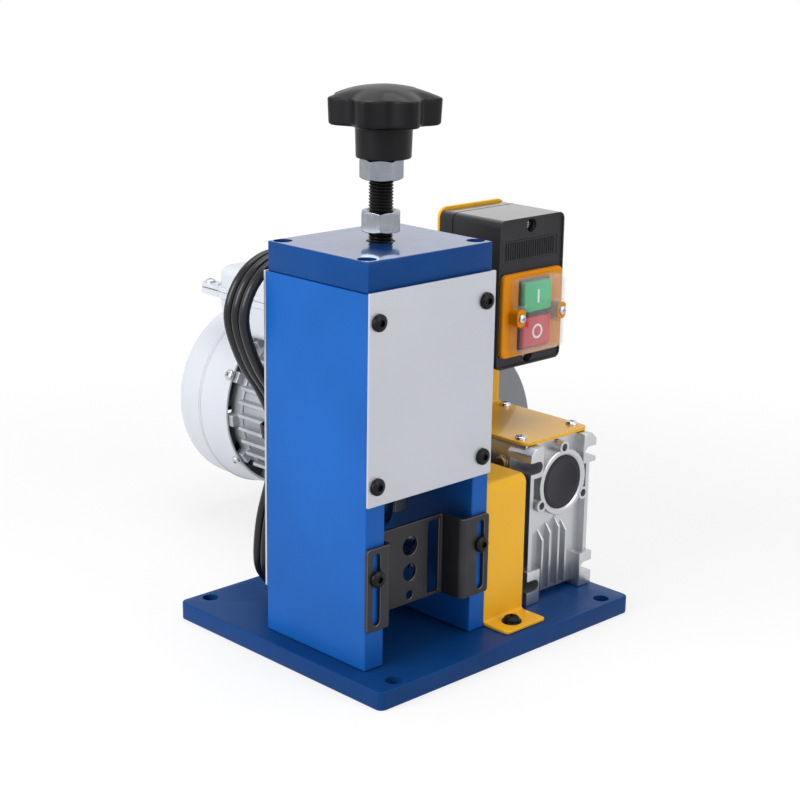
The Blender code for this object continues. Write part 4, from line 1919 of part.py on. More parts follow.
def make_switch_bracket():
    """Yellow angle plate on the reducer's top that carries the switch box."""
    half = BRACKET_THICKNESS / 2
    path = (
        (BRACKET_FRONT, BRACKET_LOW + half),
        (BRACKET_BACK - half, BRACKET_LOW + half),
        (BRACKET_BACK - half, BRACKET_TOP),
    )
    outline = bent_sheet(path, BRACKET_THICKNESS, (BRACKET_BEND,))
    bracket = Shape().prism(outline, "X", BRACKET_LEFT, BRACKET_RIGHT)

    def corner(first, second):
        """True for a top corner of the upright or a front corner of the floor."""
        same_x = abs(first.x - second.x) < GAP
        at_top = min(first.z, second.z) > BRACKET_TOP - GAP
        at_front = max(first.y, second.y) < BRACKET_FRONT + GAP
        return same_x and (at_top or at_front)

    bracket.round_edges(corner, BRACKET_CORNER_RADIUS)
    holes = Shape()
    for place_xy in BRACKET_SCREW_PLACES:
        holes.rod(
            PAN_SHANK_RADIUS + GAP,
            "Z",
            place_xy,
            BRACKET_LOW - OVERRUN,
            BRACKET_FLOOR + OVERRUN,
            SIDES_HIDDEN,
        )
    add("switch_bracket", bracket.cut(holes), YELLOW_PAINT)


def switch_screw_places():
    """Places of the two screws in the switch box's face, as x and z."""
    return (
        (REDUCER_X, BOX_LOW + SWITCH_SCREW_FROM_END),
        (REDUCER_X, BOX_HIGH - SWITCH_SCREW_FROM_END),
    )


def ear_places():
    """Places of the two ears of the switch plate, as x and z."""
    return tuple((REDUCER_X + side * EAR_SPACING / 2, PLATE_Z) for side in (-1, 1))


def make_switch_box():
    """Moulded switch housing with a rimmed face."""
    box = Shape().box((BOX_LEFT, BOX_FRONT, BOX_LOW), (BOX_RIGHT, BOX_BACK, BOX_HIGH))
    box.round_edges(
        lambda first, second: abs(first.y - second.y) > SWITCH_DEPTH / 2, SWITCH_EDGE_RADIUS
    )
    inner_radius = SWITCH_EDGE_RADIUS - SWITCH_RIM
    face = rounded_rectangle(
        (BOX_LEFT + SWITCH_RIM, BOX_LOW + SWITCH_RIM),
        (BOX_RIGHT - SWITCH_RIM, BOX_HIGH - SWITCH_RIM),
        inner_radius,
    )
    box.cut(Shape().prism(face, "Y", BOX_FRONT - OVERRUN, BOX_FACE))
    wall = SWITCH_WALL + GAP
    hollow_low = BOX_LOW + 2 * SWITCH_SCREW_FROM_END
    hollow_high = BOX_HIGH - 2 * SWITCH_SCREW_FROM_END
    box.cut(
        Shape().box(
            (BOX_LEFT + wall, BOX_FACE + SWITCH_WALL, hollow_low),
            (BOX_RIGHT - wall, BOX_BACK - SWITCH_WALL, hollow_high),
        )
    )
    cuts = Shape()
    half_width = MODULE_WIDTH / 2 + GAP
    half_height = MODULE_HEIGHT / 2 + GAP
    cuts.box(
        (REDUCER_X - half_width, BOX_FRONT - OVERRUN, PLATE_Z - half_height),
        (REDUCER_X + half_width, BOX_FACE + SWITCH_WALL + OVERRUN, PLATE_Z + half_height),
    )
    for place_xz in switch_screw_places():
        depth = BOX_FACE + SWITCH_SCREW_WELL_DEPTH
        profile = [
            (0, BOX_FRONT - OVERRUN),
            (SWITCH_SCREW_WELL_RADIUS, BOX_FRONT - OVERRUN),
            (SWITCH_SCREW_WELL_RADIUS, depth),
            (PAN_SHANK_RADIUS + GAP, depth),
            (PAN_SHANK_RADIUS + GAP, depth + PAN_LENGTH + GAP),
            (0, depth + PAN_LENGTH + GAP),
        ]
        cuts.turned(profile, "Y", place_xz, SIDES_SMALL)
    panel_high = BOX_HIGH - NAME_PANEL_FROM_TOP + NAME_PANEL_HEIGHT / 2
    cuts.box(
        (REDUCER_X - NAME_PANEL_WIDTH / 2, BOX_FACE - OVERRUN, panel_high - NAME_PANEL_HEIGHT),
        (REDUCER_X + NAME_PANEL_WIDTH / 2, BOX_FACE + NAME_PANEL_DEPTH, panel_high),
    )
    for place_xz in ear_places():
        depth = EAR_FRONT + EAR_SCREW_LENGTH
        if depth > PLATE_BACK:
            cuts.rod(
                EAR_SCREW_RADIUS + GAP,
                "Y",
                place_xz,
                BOX_FACE - OVERRUN,
                depth + OVERLAP,
                SIDES_HIDDEN,
            )
    add("switch_box", box.cut(cuts), CHARCOAL_PLASTIC)


def make_switch_plate():
    """Yellow plate round the buttons, with an ear at each side for the clear cover."""
    half_width = PLATE_WIDTH / 2
    sections = []
    for grow, along in ((0, PLATE_BACK), (0, PLATE_FRONT + PLATE_EDGE), (-PLATE_EDGE, PLATE_FRONT)):
        outline = rounded_rectangle(
            (REDUCER_X - half_width - grow, PLATE_LOW - grow),
            (REDUCER_X + half_width + grow, PLATE_HIGH + grow),
            SWITCH_EDGE_RADIUS + grow,
        )
        sections.append((outline, along))
    plate = Shape().loft(sections, "Y")
    for x, z in ear_places():
        ear = rounded_rectangle(
            (x - EAR_WIDTH / 2, z - EAR_HEIGHT / 2),
            (x + EAR_WIDTH / 2, z + EAR_HEIGHT / 2),
            EAR_WIDTH / 2 - OVERLAP / 2,
        )
        plate.join(Shape().prism(ear, "Y", EAR_FRONT, PLATE_BACK - OVERLAP))
    cuts = Shape()
    half_width = MODULE_WIDTH / 2 + GAP
    half_height = MODULE_HEIGHT / 2 + GAP
    cuts.box(
        (REDUCER_X - half_width, PLATE_FRONT - OVERRUN, PLATE_Z - half_height),
        (REDUCER_X + half_width, PLATE_BACK + OVERRUN, PLATE_Z + half_height),
    )
    for place_xz in ear_places():
        cuts.rod(
            EAR_SCREW_RADIUS + GAP,
            "Y",
            place_xz,
            EAR_FRONT - OVERRUN,
            EAR_FRONT + EAR_SCREW_LENGTH + GAP,
            SIDES_HIDDEN,
        )
    add("switch_plate", plate.cut(cuts), YELLOW_PAINT)


def make_switch_module():
    """Switch block with two pockets, the buttons that slide in them, and the clear cover."""
    half_width = MODULE_WIDTH / 2
    half_height = MODULE_HEIGHT / 2
    module = Shape().box(
        (REDUCER_X - half_width, MODULE_FRONT, PLATE_Z - half_height),
        (REDUCER_X + half_width, MODULE_BACK, PLATE_Z + half_height),
    )
    cuts = Shape()
    side = BUTTON_WIDTH / 2 + BUTTON_POCKET_CLEARANCE
    tall = BUTTON_TALL / 2 + BUTTON_POCKET_CLEARANCE
    pocket_end = BUTTON_FRONT + BUTTON_DEPTH + BUTTON_TRAVEL + GAP
    for z in BUTTON_HEIGHTS.values():
        cuts.box(
            (REDUCER_X - side, MODULE_FRONT - OVERRUN, z - tall),
            (REDUCER_X + side, pocket_end, z + tall),
        )
    add("switch_module", module.cut(cuts), BLACK_PLASTIC)
    finishes = {"start_button": GREEN_PLASTIC, "stop_button": RED_PLASTIC}
    for name, z in BUTTON_HEIGHTS.items():
        button = Shape().box(
            (REDUCER_X - BUTTON_WIDTH / 2, BUTTON_FRONT, z - BUTTON_TALL / 2),
            (REDUCER_X + BUTTON_WIDTH / 2, BUTTON_FRONT + BUTTON_DEPTH, z + BUTTON_TALL / 2),
        )
        button.round_all(BUTTON_EDGE, 2)
        add(name, button, finishes[name], (REDUCER_X, BUTTON_FRONT, z))

    notch_x = EAR_SPACING / 2 - EAR_WIDTH / 2 - DOME_NOTCH_CLEARANCE
    notch_z = EAR_HEIGHT / 2 + DOME_NOTCH_CLEARANCE
    outer = dome_block(0, notch_x, notch_z)
    inner = dome_block(DOME_WALL, notch_x - DOME_WALL, notch_z + DOME_WALL)
    add("clear_cover", outer.cut(inner), CLEAR_PLASTIC)


def dome_block(wall, notch_x, notch_z):
    """The clear cover's block drawn in by a wall, with a notch at each ear."""
    half_width = DOME_WIDTH / 2 - wall
    half_height = DOME_HEIGHT / 2 - wall
    back = DOME_BACK + (OVERRUN if wall else 0)
    block = Shape().box(
        (REDUCER_X - half_width, DOME_FRONT + wall, PLATE_Z - half_height),
        (REDUCER_X + half_width, back, PLATE_Z + half_height),
    )

    def front_or_side(first, second):
        """True for every edge but those of the open back."""
        return min(first.y, second.y) < back - OVERLAP / 2

    block.round_edges(front_or_side, DOME_EDGE - wall, 2)
    notches = Shape()
    for side in (-1, 1):
        across = sorted((REDUCER_X + side * notch_x, REDUCER_X + side * (half_width + OVERRUN)))
        notches.box(
            (across[0], DOME_FRONT - OVERRUN, PLATE_Z - notch_z),
            (across[1], back + OVERRUN, PLATE_Z + notch_z),
        )
    return block.cut(notches)


def make_gland():
    """Gland under the switch box through which the mains cord leaves."""
    seat = BOX_LOW - GAP
    nut = seat - GLAND_NUT_LENGTH
    tip = seat - GLAND_LENGTH
    profile = [
        (0, seat),
        (GLAND_NUT_RADIUS, seat),
        (GLAND_NUT_RADIUS, nut),
        (GLAND_TIP_RADIUS, nut - OVERLAP),
        (GLAND_TIP_RADIUS, tip),
        (0, tip),
    ]
    add("cord_gland", Shape().turned(profile, "Z", CORD_GLAND, SIDES_SMALL), BLACK_PLASTIC)


def smooth_route(points, spacing):
    """Read points about a spacing apart from a smooth curve through the given points."""
    route = [Vector(point) for point in points]
    padded = [2 * route[0] - route[1], *route, 2 * route[-1] - route[-2]]
    fine = []
    for index in range(1, len(padded) - 2):
        p0, p1, p2, p3 = padded[index - 1 : index + 3]
        for step in range(12):
            t = step / 12
            bend = (2 * p0 - 5 * p1 + 4 * p2 - p3) * t**2 + (3 * p1 - p0 - 3 * p2 + p3) * t**3
            fine.append((2 * p1 + (p2 - p0) * t + bend) / 2)
    fine.append(route[-1])
    lengths = [0.0]
    for first, second in zip(fine, fine[1:]):
        lengths.append(lengths[-1] + (second - first).length)
    straight = CORD_DIAMETER
    inner = lengths[-1] - 2 * straight
    count = max(2, round(inner / spacing))
    targets = [0.0] + [straight + inner * index / count for index in range(count + 1)] + [lengths[-1]]
    found = []
    for target in targets:
        index = next(i for i, length in enumerate(lengths) if length >= target - GAP / 100)
        if index == 0:
            found.append(fine[0])
            continue
        share = (target - lengths[index - 1]) / (lengths[index] - lengths[index - 1])
        found.append(fine[index - 1].lerp(fine[index], min(1.0, share)))
    return found, lengths[-1]


def add_tube(name, points, bevel_resolution):
    """A round tube along points, as a curve with filled ends."""
    curve = bpy.data.curves.new(name, "CURVE")
    curve.dimensions = "3D"
    curve.bevel_depth = CORD_RADIUS
    curve.bevel_resolution = bevel_resolution
    curve.use_fill_caps = True
    spline = curve.splines.new("POLY")
    spline.points.add(len(points) - 1)
    for target, point in zip(spline.points, points):
        target.co = (*point, 1.0)
    curve.materials.append(shade(CORD_RUBBER, name))
    piece = bpy.data.objects.new(name, curve)
    bpy.context.scene.collection.objects.link(piece)
    return piece


def hank_frame():
    """The hank's bottom and top lobe centres and its two directions in the upright plane."""
    bottom = Vector((HANK_BOTTOM_X, HANK_BOTTOM_Z))
    top = Vector((HANK_TOP_X, HANK_TOP_Z))
    along = (top - bottom).normalized()
    across = Vector((along.y, -along.x))
    return bottom, top, along, across


def hank_depth(z, turn):
    """Place along Y of the hank's strand at a height after a number of turns."""
    bottom, top, along, across = hank_frame()
    highest = top.y + HANK_LOBE_RADIUS
    lowest = bottom.y - HANK_LOBE_RADIUS
    start = REAR_FACE + GAP + CORD_RADIUS - HANK_PITCH / 2
    return start + HANK_LEAN * (highest - z) / (highest - lowest) + HANK_PITCH * turn


def hank_points():
    """The hank's strand: peanut loops side by side, then a bend towards the plug."""
    bottom, top, along, across = hank_frame()
    start = math.degrees(math.atan2(along.y, along.x)) + 90
    length = (top - bottom).length
    foot = arc(bottom, HANK_LOBE_RADIUS, -90, 180 - start, HANK_ARC_STEPS // 2)
    loop = [(2 * bottom.x - x, z) for x, z in foot]
    side = []
    for step in range(1, HANK_SIDE_STEPS):
        share = step / HANK_SIDE_STEPS
        width = HANK_WAIST + (HANK_LOBE_RADIUS - HANK_WAIST) * (1 + math.cos(math.tau * share)) / 2
        side.append((share * length, width))
    loop += [tuple(bottom + along * s - across * w) for s, w in side]
    loop += arc(top, HANK_LOBE_RADIUS, start, start - 180, HANK_ARC_STEPS)
    loop += [tuple(top - along * s + across * w) for s, w in side]
    right = start - 180
    loop += arc(bottom, HANK_LOBE_RADIUS, right, -90, HANK_ARC_STEPS // 2)[:-1]
    count = len(loop)
    points = []
    for index in range(HANK_TURNS * count):
        x, z = loop[index % count]
        points.append(Vector((x, hank_depth(z, index / count), z)))
    last = HANK_TURNS * count - HANK_ARC_STEPS // 2
    points = points[: last + 1]
    lead_in = Vector((HANK_BOTTOM_X + CORD_DIAMETER, points[0].y, points[0].z))
    return [lead_in] + points + tail_points(points[-1], last / count, -along)


def tail_points(start, turn, heading):
    """The strand's end: down from the last loop, round a bend and straight into the plug."""
    first = math.degrees(math.atan2(heading.y, heading.x))
    centre_up = plug_axis_z() + TAIL_BEND_RADIUS
    spoke = Vector((-heading.y, heading.x)) * TAIL_BEND_RADIUS
    drop = (start.z + spoke.y - centre_up) / -heading.y
    begin = Vector((start.x, start.z)) + heading * drop
    centre = begin + spoke
    bend = arc(centre, TAIL_BEND_RADIUS, first - 90, -90, TAIL_STEPS)
    bend.append((bend[-1][0] + CORD_DIAMETER, bend[-1][1]))
    return [Vector((x, hank_depth(z, turn), z)) for x, z in bend]


def plug_axis_z():
    """Height of the cord where it enters the plug, which lies on the base."""
    return DECK + PLUG_THICKNESS / 2


def self_gap(points):
    """Least gap between stretches of a tube that aren't neighbours along it."""
    least = None
    for first in range(len(points) - 1):
        for second in range(first + 4, len(points) - 1):
            gap = segment_distance(points[first : first + 2], points[second : second + 2])
            if least is None or gap < least:
                least = gap
    return least - CORD_DIAMETER


def segment_distance(one, two):
    """Least distance between two straight stretches, sampled along both."""
    best = None
    for i in range(9):
        a = one[0].lerp(one[1], i / 8)
        b = closest_on(a, two)
        distance = (a - b).length
        best = distance if best is None else min(best, distance)
    for i in range(9):
        a = two[0].lerp(two[1], i / 8)
        b = closest_on(a, one)
        best = min(best, (a - b).length)
    return best


def closest_on(point, stretch):
    """Closest point of a straight stretch."""
    along = stretch[1] - stretch[0]
    share = (point - stretch[0]).dot(along) / along.length_squared
    return stretch[0] + along * min(1.0, max(0.0, share))


def make_cord():
    """Mains cord: its free run, the hank behind the column with its tie, and the plug."""
    run, run_length = smooth_route(CORD_ROUTE, RUN_SPACING)
    add_tube("power_cord_run", run, RUN_BEVEL_RESOLUTION)
    points = hank_points()
    add_tube("power_cord_hank", points, HANK_BEVEL_RESOLUTION)
    hank_length = sum((b - a).length for a, b in zip(points, points[1:]))
    gap = self_gap(points)
    print(f"cord run {run_length:.4f} m, hank {hank_length:.4f} m, least self gap {gap * 1000:.3f} mm")
    print("hank starts at", tuple(round(value, 5) for value in points[0]))
    print("hank ends at", tuple(round(value, 5) for value in points[-1]))
    assert gap > LEAST_SELF_GAP
    make_tie()
    make_plug(points[-1])


def make_tie():
    """Band round the hank's waist."""
    bottom, top, along, across = hank_frame()
    middle = (bottom + top) / 2
    half = HANK_WAIST + CORD_RADIUS + TIE_SLACK
    z = middle.y
    count = 2 * (HANK_SIDE_STEPS - 1) + 2 * HANK_ARC_STEPS + 2
    first = (HANK_ARC_STEPS / 2 + HANK_SIDE_STEPS / 2) / count
    near = hank_depth(z, first) - CORD_RADIUS - OVERLAP
    far = hank_depth(z, HANK_TURNS - first) + CORD_RADIUS + OVERLAP
    inner = rounded_rectangle((-half, near), (half, far), TIE_CORNER)
    outer = rounded_rectangle(
        (-half - TIE_THICKNESS, near - TIE_THICKNESS),
        (half + TIE_THICKNESS, far + TIE_THICKNESS),
        TIE_CORNER + TIE_THICKNESS,
    )
    band = Shape().prism(outer, "Z", -TIE_WIDTH / 2, TIE_WIDTH / 2)
    band.cut(Shape().prism(inner, "Z", -TIE_WIDTH / 2 - OVERRUN, TIE_WIDTH / 2 + OVERRUN))
    tilt = math.atan2(along.x, along.y)
    turn = Matrix.Translation((middle.x, 0, middle.y)) @ Matrix.Rotation(tilt, 4, "Y")
    data = band.solid()
    data.transform(turn)
    shape = Shape()
    shape.mesh.from_mesh(data)
    add("cord_tie", shape, BLACK_PLASTIC)


def make_plug(end):
    """Moulded mains plug with a tapered strain relief and two round pins."""
    centre = (end.y, end.z)
    relief_start = end.x + GAP
    body_start = relief_start + PLUG_RELIEF_LENGTH
    body_end = body_start + PLUG_LENGTH
    body = Shape().box(
        (body_start, end.y - PLUG_WIDTH / 2, DECK),
        (body_end, end.y + PLUG_WIDTH / 2, DECK + PLUG_THICKNESS),
    )
    body.round_all(PLUG_EDGE, 2)
    relief = [
        (0, relief_start),
        (CORD_RADIUS + OVERLAP / 2, relief_start),
        (PLUG_RELIEF_RADIUS, body_start + OVERRUN),
        (0, body_start + OVERRUN),
    ]
    body.join(Shape().turned(relief, "X", centre, SIDES_SMALL))
    for side in (-1, 1):
        at = (end.y + side * PIN_SPACING / 2, end.z)
        start = body_end - OVERRUN
        body.join(Shape().rod(PIN_RADIUS, "X", at, start, body_end + PIN_LENGTH, SIDES_HIDDEN))
    add("power_plug", body, BLACK_PLASTIC)


def main():
    """Build every piece of the machine."""
    for leftover in list(bpy.data.objects):
        bpy.data.objects.remove(leftover)
    make_base_plate()
    make_column()
    make_covers()
    make_feed_guide()
    make_adjuster()
    make_carriage()
    make_drive()
    make_reducer()
    make_gears()
    make_motor()
    make_terminal_box()
    make_guard()
    make_switch_bracket()
    make_switch_box()
    make_switch_plate()
    make_switch_module()
    make_gland()
    make_cord()


main()
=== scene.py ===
"""Looks of a bench wire stripping machine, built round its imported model.

Metres, +Z up, the feed side at -Y. Every piece stands where its node stands, and sizes that a
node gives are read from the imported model.
"""

import logging
import math
from collections.abc import Iterable, Sequence
from dataclasses import dataclass, field, fields
from enum import Enum

import bmesh
import bpy
from mathutils import Matrix, Vector


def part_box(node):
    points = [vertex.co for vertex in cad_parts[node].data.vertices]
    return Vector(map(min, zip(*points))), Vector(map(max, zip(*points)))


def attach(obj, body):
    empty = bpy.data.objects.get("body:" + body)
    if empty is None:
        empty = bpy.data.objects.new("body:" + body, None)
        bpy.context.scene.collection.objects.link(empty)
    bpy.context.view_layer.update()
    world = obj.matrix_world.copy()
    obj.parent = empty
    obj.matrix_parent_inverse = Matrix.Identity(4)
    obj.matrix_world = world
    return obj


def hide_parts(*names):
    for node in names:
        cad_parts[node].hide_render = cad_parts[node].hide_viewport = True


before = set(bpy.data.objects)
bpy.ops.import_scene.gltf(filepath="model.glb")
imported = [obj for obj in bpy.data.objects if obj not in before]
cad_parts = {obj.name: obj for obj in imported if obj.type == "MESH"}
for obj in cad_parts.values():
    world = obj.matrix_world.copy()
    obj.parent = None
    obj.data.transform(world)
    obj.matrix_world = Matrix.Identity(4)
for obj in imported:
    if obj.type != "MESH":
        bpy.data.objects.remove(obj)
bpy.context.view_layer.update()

LOG = logging.getLogger("wire_stripping_machine")

Colour = tuple[float, float, float]
Triple = tuple[float, float, float]
Plane = tuple[float, float]
Seat = tuple[Vector, Vector]

GAP = 0.0003
OVERRUN = 0.002
OVERLAP = 0.001
HAIR = OVERLAP / 4
FINE_SIDES = 128
ROUND_SIDES = 96
DISC_SIDES = 72
BORE_SIDES = 48
CORNER_STEPS = 7
BEND_STEPS = 8
SHARP_ANGLE = math.radians(35)
BEVEL_ANGLE = math.radians(32)
MERGE_REACH = 2e-6
COAT_ROUGHNESS = 0.08
# Range of a face's upward lean over which the painted top sheen comes in.
LOOKS_UP = (0.6, 0.95)


class Axis(Enum):
    """Axis that a shape is turned or drawn along."""

    X = 0
    Y = 1
    Z = 2

    def point(self, across: float, up: float, along: float) -> Vector:
        """A point from two coordinates of a profile and its place along the axis."""
        if self is Axis.X:
            return Vector((along, across, up))
        return Vector((across, along, up)) if self is Axis.Y else Vector((across, up, along))

    def flat(self, place: Vector) -> Plane:
        """The two coordinates of a place across the axis."""
        return tuple(place[index] for index in range(3) if index != self.value)


class Operation(Enum):
    """How one form works on another."""

    CUT = "DIFFERENCE"
    JOIN = "UNION"
    KEEP = "INTERSECT"


class Recess(Enum):
    """Drive of a screw's head."""

    HEXAGON = "hexagon"
    CROSS = "cross"


@dataclass(frozen=True)
class Extent:
    """The box of one node at rest."""

    low: Vector
    high: Vector

    @classmethod
    def of(cls, node: str) -> "Extent":
        """The box of a node by its name."""
        low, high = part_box(node)
        return cls(low, high)

    @property
    def middle(self) -> Vector:
        """The box's centre."""
        return (self.low + self.high) / 2

    @property
    def size(self) -> Vector:
        """The box's lengths along X, Y and Z."""
        return self.high - self.low

    def centre(self, axis: Axis) -> Plane:
        """The box's centre seen along an axis."""
        return axis.flat(self.middle)

    def outline(self, axis: Axis, radius: float, grow: float = 0.0, steps: int = CORNER_STEPS) -> list[Plane]:
        """The box's outline seen along an axis, grown by a length, with round corners."""
        low, high = axis.flat(self.low), axis.flat(self.high)
        return rounded((low[0] - grow, low[1] - grow), (high[0] + grow, high[1] + grow), radius, steps)


def arc(centre: Plane, radius: float, first: float, last: float, steps: int) -> list[Plane]:
    """Draws an arc.

    Args:
        centre: Its centre.
        radius: Its radius.
        first: Angle of its first point, in degrees.
        last: Angle of its last point, in degrees.
        steps: Number of chords.

    Returns:
        The arc's points, both ends included.
    """
    angles = (math.radians(first + (last - first) * step / steps) for step in range(steps + 1))
    return [(centre[0] + radius * math.cos(a), centre[1] + radius * math.sin(a)) for a in angles]


def ring(radius: float, centre: Plane, sides: int, start: float = 0.0) -> list[Plane]:
    """Corners of a regular polygon, the first one at an angle in degrees."""
    return arc(centre, radius, start, start + 360, sides)[:-1]


def stepped(corners: Iterable[Sequence[float]], start: float, way: int = 1) -> list[tuple[float, ...]]:
    """Corners of a profile, and their roundings, whose places count from a start in one way."""
    return [(radius, start + way * place, *bend) for radius, place, *bend in corners]


def rounded(low: Plane, high: Plane, radius: float, steps: int = CORNER_STEPS) -> list[Plane]:
    """A rectangle between two corners whose own corners are arcs of some steps."""
    corners = (
        ((high[0] - radius, high[1] - radius), 0),
        ((low[0] + radius, high[1] - radius), 90),
        ((low[0] + radius, low[1] + radius), 180),
        ((high[0] - radius, low[1] + radius), 270),
    )
    return [point for centre, first in corners for point in arc(centre, radius, first, first + 90, steps)]


def centred(
    middle: Plane, width: float, height: float, radius: float, steps: int = CORNER_STEPS
) -> list[Plane]:
    """A rectangle with round corners about its middle."""
    half = (width / 2, height / 2)
    low = (middle[0] - half[0], middle[1] - half[1])
    return rounded(low, (middle[0] + half[0], middle[1] + half[1]), radius, steps)


def filleted(path: Sequence[tuple[float, ...]], steps: int = 5) -> list[Plane]:
    """Rounds the corners of an open path.

    Args:
        path: Points as two coordinates and, where a corner is rounded, its radius.
        steps: Chords of a rounded corner.

    Returns:
        The points of the path with its corners rounded.
    """
    points: list[Plane] = []
    for index, corner in enumerate(path):
        if len(corner) < 3 or corner[2] == 0 or index in (0, len(path) - 1):
            points.append((corner[0], corner[1]))
            continue
        here = Vector(corner[:2])
        back = (Vector(path[index - 1][:2]) - here).normalized()
        ahead = (Vector(path[index + 1][:2]) - here).normalized()
        half = back.angle(ahead) / 2
        start = here + back * corner[2] / math.tan(half)
        centre = here + (back + ahead).normalized() * corner[2] / math.sin(half)
        spoke = start - centre
        end = here + ahead * corner[2] / math.tan(half) - centre
        turn = math.atan2(spoke.cross(end), spoke.dot(end))
        for step in range(steps + 1):
            points.append(tuple(centre + Matrix.Rotation(turn * step / steps, 2) @ spoke))
    return points


def bent_sheet(path: Sequence[Plane], thickness: float, bends: Sequence[float]) -> list[Plane]:
    """Draws a sheet bent along its middle line.

    Args:
        path: Corners of the middle line.
        thickness: The sheet's thickness.
        bends: Middle radius at each corner between the ends.

    Returns:
        The outline of the sheet's edge.
    """
    line = filleted([path[0], *((*p, bend) for p, bend in zip(path[1:-1], bends)), path[-1]], BEND_STEPS)
    left: list[Plane] = []
    right: list[Plane] = []
    for index, point in enumerate(line):
        before = Vector(line[max(index - 1, 0)])
        after = Vector(line[min(index + 1, len(line) - 1)])
        along = (after - before).normalized()
        normal = Vector((-along.y, along.x)) * thickness / 2
        left.append(tuple(Vector(point) + normal))
        right.append(tuple(Vector(point) - normal))
    return left + right[::-1]


def evaluated(piece: bpy.types.Object) -> bpy.types.Mesh:
    """A plain mesh of an object with its modifiers carried out."""
    graph = bpy.context.evaluated_depsgraph_get()
    graph.update()
    shaped = piece.evaluated_get(graph)
    return bpy.data.meshes.new_from_object(shaped, preserve_all_data_layers=True, depsgraph=graph)


def linked(name: str, data: bpy.types.ID) -> bpy.types.Object:
    """A new object of some data in the scene."""
    made = bpy.data.objects.new(name, data)
    bpy.context.scene.collection.objects.link(made)
    return made


class Form:
    """A closed mesh in the machine's own coordinates, before it becomes a piece."""

    def __init__(self) -> None:
        """Starts with no faces."""
        self.mesh = bmesh.new()

    def skin(self, rings: Sequence[Sequence[Vector]], closed: bool = False) -> "Form":
        """Adds a skin over rings of points.

        Args:
            rings: Rings of equal count; one of a single point makes a pole.
            closed: Whether the last ring joins the first instead of both being filled.

        Returns:
            This form.
        """
        fresh = bmesh.new()
        rows = [[fresh.verts.new(point) for point in points] for points in rings]
        pairs = list(zip(rows, rows[1:])) + ([(rows[-1], rows[0])] if closed else [])
        for first, second in pairs:
            count = max(len(first), len(second))
            for index in range(count if count > 1 else 0):
                after = (index + 1) % count
                corners = [first[index % len(first)], first[after % len(first)]]
                corners += [second[after % len(second)], second[index % len(second)]]
                fresh.faces.new(list(dict.fromkeys(corners)))
        for row in () if closed else (rows[0], rows[-1]):
            if len(row) > 2:
                fresh.faces.new(row)
        bmesh.ops.recalc_face_normals(fresh, faces=fresh.faces)
        return self.take(fresh)

    def take(self, other: bmesh.types.BMesh) -> "Form":
        """Moves another mesh's faces into this form."""
        data = bpy.data.meshes.new("moved")
        other.to_mesh(data)
        other.free()
        self.mesh.from_mesh(data)
        bpy.data.meshes.remove(data)
        return self

    def loft(self, sections: Sequence[tuple[Sequence[Plane], float]], axis: Axis) -> "Form":
        """Adds a solid through outlines, each at its place along an axis."""
        return self.skin([[axis.point(*point, along) for point in outline] for outline, along in sections])

    def prism(self, outline: Sequence[Plane], axis: Axis, start: float, end: float) -> "Form":
        """Adds an outline drawn out along an axis."""
        return self.loft([(outline, start), (outline, end)], axis)

    def block(self, low: Sequence[float], high: Sequence[float]) -> "Form":
        """Adds a box between two opposite corners."""
        outline = ((low[0], low[1]), (high[0], low[1]), (high[0], high[1]), (low[0], high[1]))
        return self.prism(outline, Axis.Z, low[2], high[2])

    def turned(
        self, profile: Sequence[Plane], axis: Axis, centre: Plane, sides: int = ROUND_SIDES, closed: bool = False
    ) -> "Form":
        """Adds a profile turned round an axis.

        Args:
            profile: Radius and place along the axis of each point.
            axis: The axis's direction.
            centre: Where the axis stands.
            sides: Number of sides.
            closed: Whether the profile is a loop, which makes a ring.

        Returns:
            This form.
        """
        rings = []
        for radius, along in profile:
            points = ring(radius, centre, sides) if radius > 0 else [centre]
            rings.append([axis.point(*point, along) for point in points])
        return self.skin(rings, closed)

    def rod(
        self, radius: float, axis: Axis, centre: Plane, start: float, end: float, sides: int = BORE_SIDES
    ) -> "Form":
        """Adds a plain round bar."""
        return self.prism(ring(radius, centre, sides), axis, start, end)

    def node(self, name: str) -> "Form":
        """Adds a merged copy of a CAD node's mesh."""
        fresh = bmesh.new()
        fresh.from_mesh(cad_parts[name].data)
        bmesh.ops.remove_doubles(fresh, verts=fresh.verts, dist=MERGE_REACH)
        return self.take(fresh)

    def moved(self, matrix: Matrix) -> "Form":
        """Turns and shifts everything added so far."""
        bmesh.ops.transform(self.mesh, matrix=matrix, verts=self.mesh.verts)
        return self

    def copied(self, other: "Form", matrix: Matrix) -> "Form":
        """Adds a moved copy of another form."""
        fresh = other.mesh.copy()
        bmesh.ops.transform(fresh, matrix=matrix, verts=fresh.verts)
        return self.take(fresh)

    def worked(self, other: "Form", operation: Operation) -> "Form":
        """Works another form on this one.

        Args:
            other: The form to cut, join or keep; it is used up.
            operation: What is done.

        Returns:
            This form.
        """
        work = linked("work", self.data("work"))
        tool = linked("tool", other.data("tool"))
        boolean = work.modifiers.new("work", "BOOLEAN")
        boolean.operation = operation.value
        boolean.solver = "EXACT"
        boolean.object = tool
        result = evaluated(work)
        self.mesh.clear()
        self.mesh.from_mesh(result)
        bpy.data.meshes.remove(result)
        for helper in (work, tool):
            bpy.data.meshes.remove(helper.data)
        return self

    def cut(self, other: "Form") -> "Form":
        """Takes another form away."""
        return self.worked(other, Operation.CUT)

    def join(self, other: "Form") -> "Form":
        """Fuses another form to this one."""
        return self.worked(other, Operation.JOIN)

    def keep(self, other: "Form") -> "Form":
        """Keeps only what another form covers."""
        return self.worked(other, Operation.KEEP)

    def eased(self, width: float, segments: int = 2) -> "Form":
        """Rounds the sharp edges of everything added so far."""
        edges = [edge for edge in self.mesh.edges if edge.calc_face_angle(0.0) > BEVEL_ANGLE]
        bmesh.ops.bevel(
            self.mesh, geom=edges, offset=width, segments=segments, profile=0.5, affect="EDGES", loop_slide=False
        )
        return self

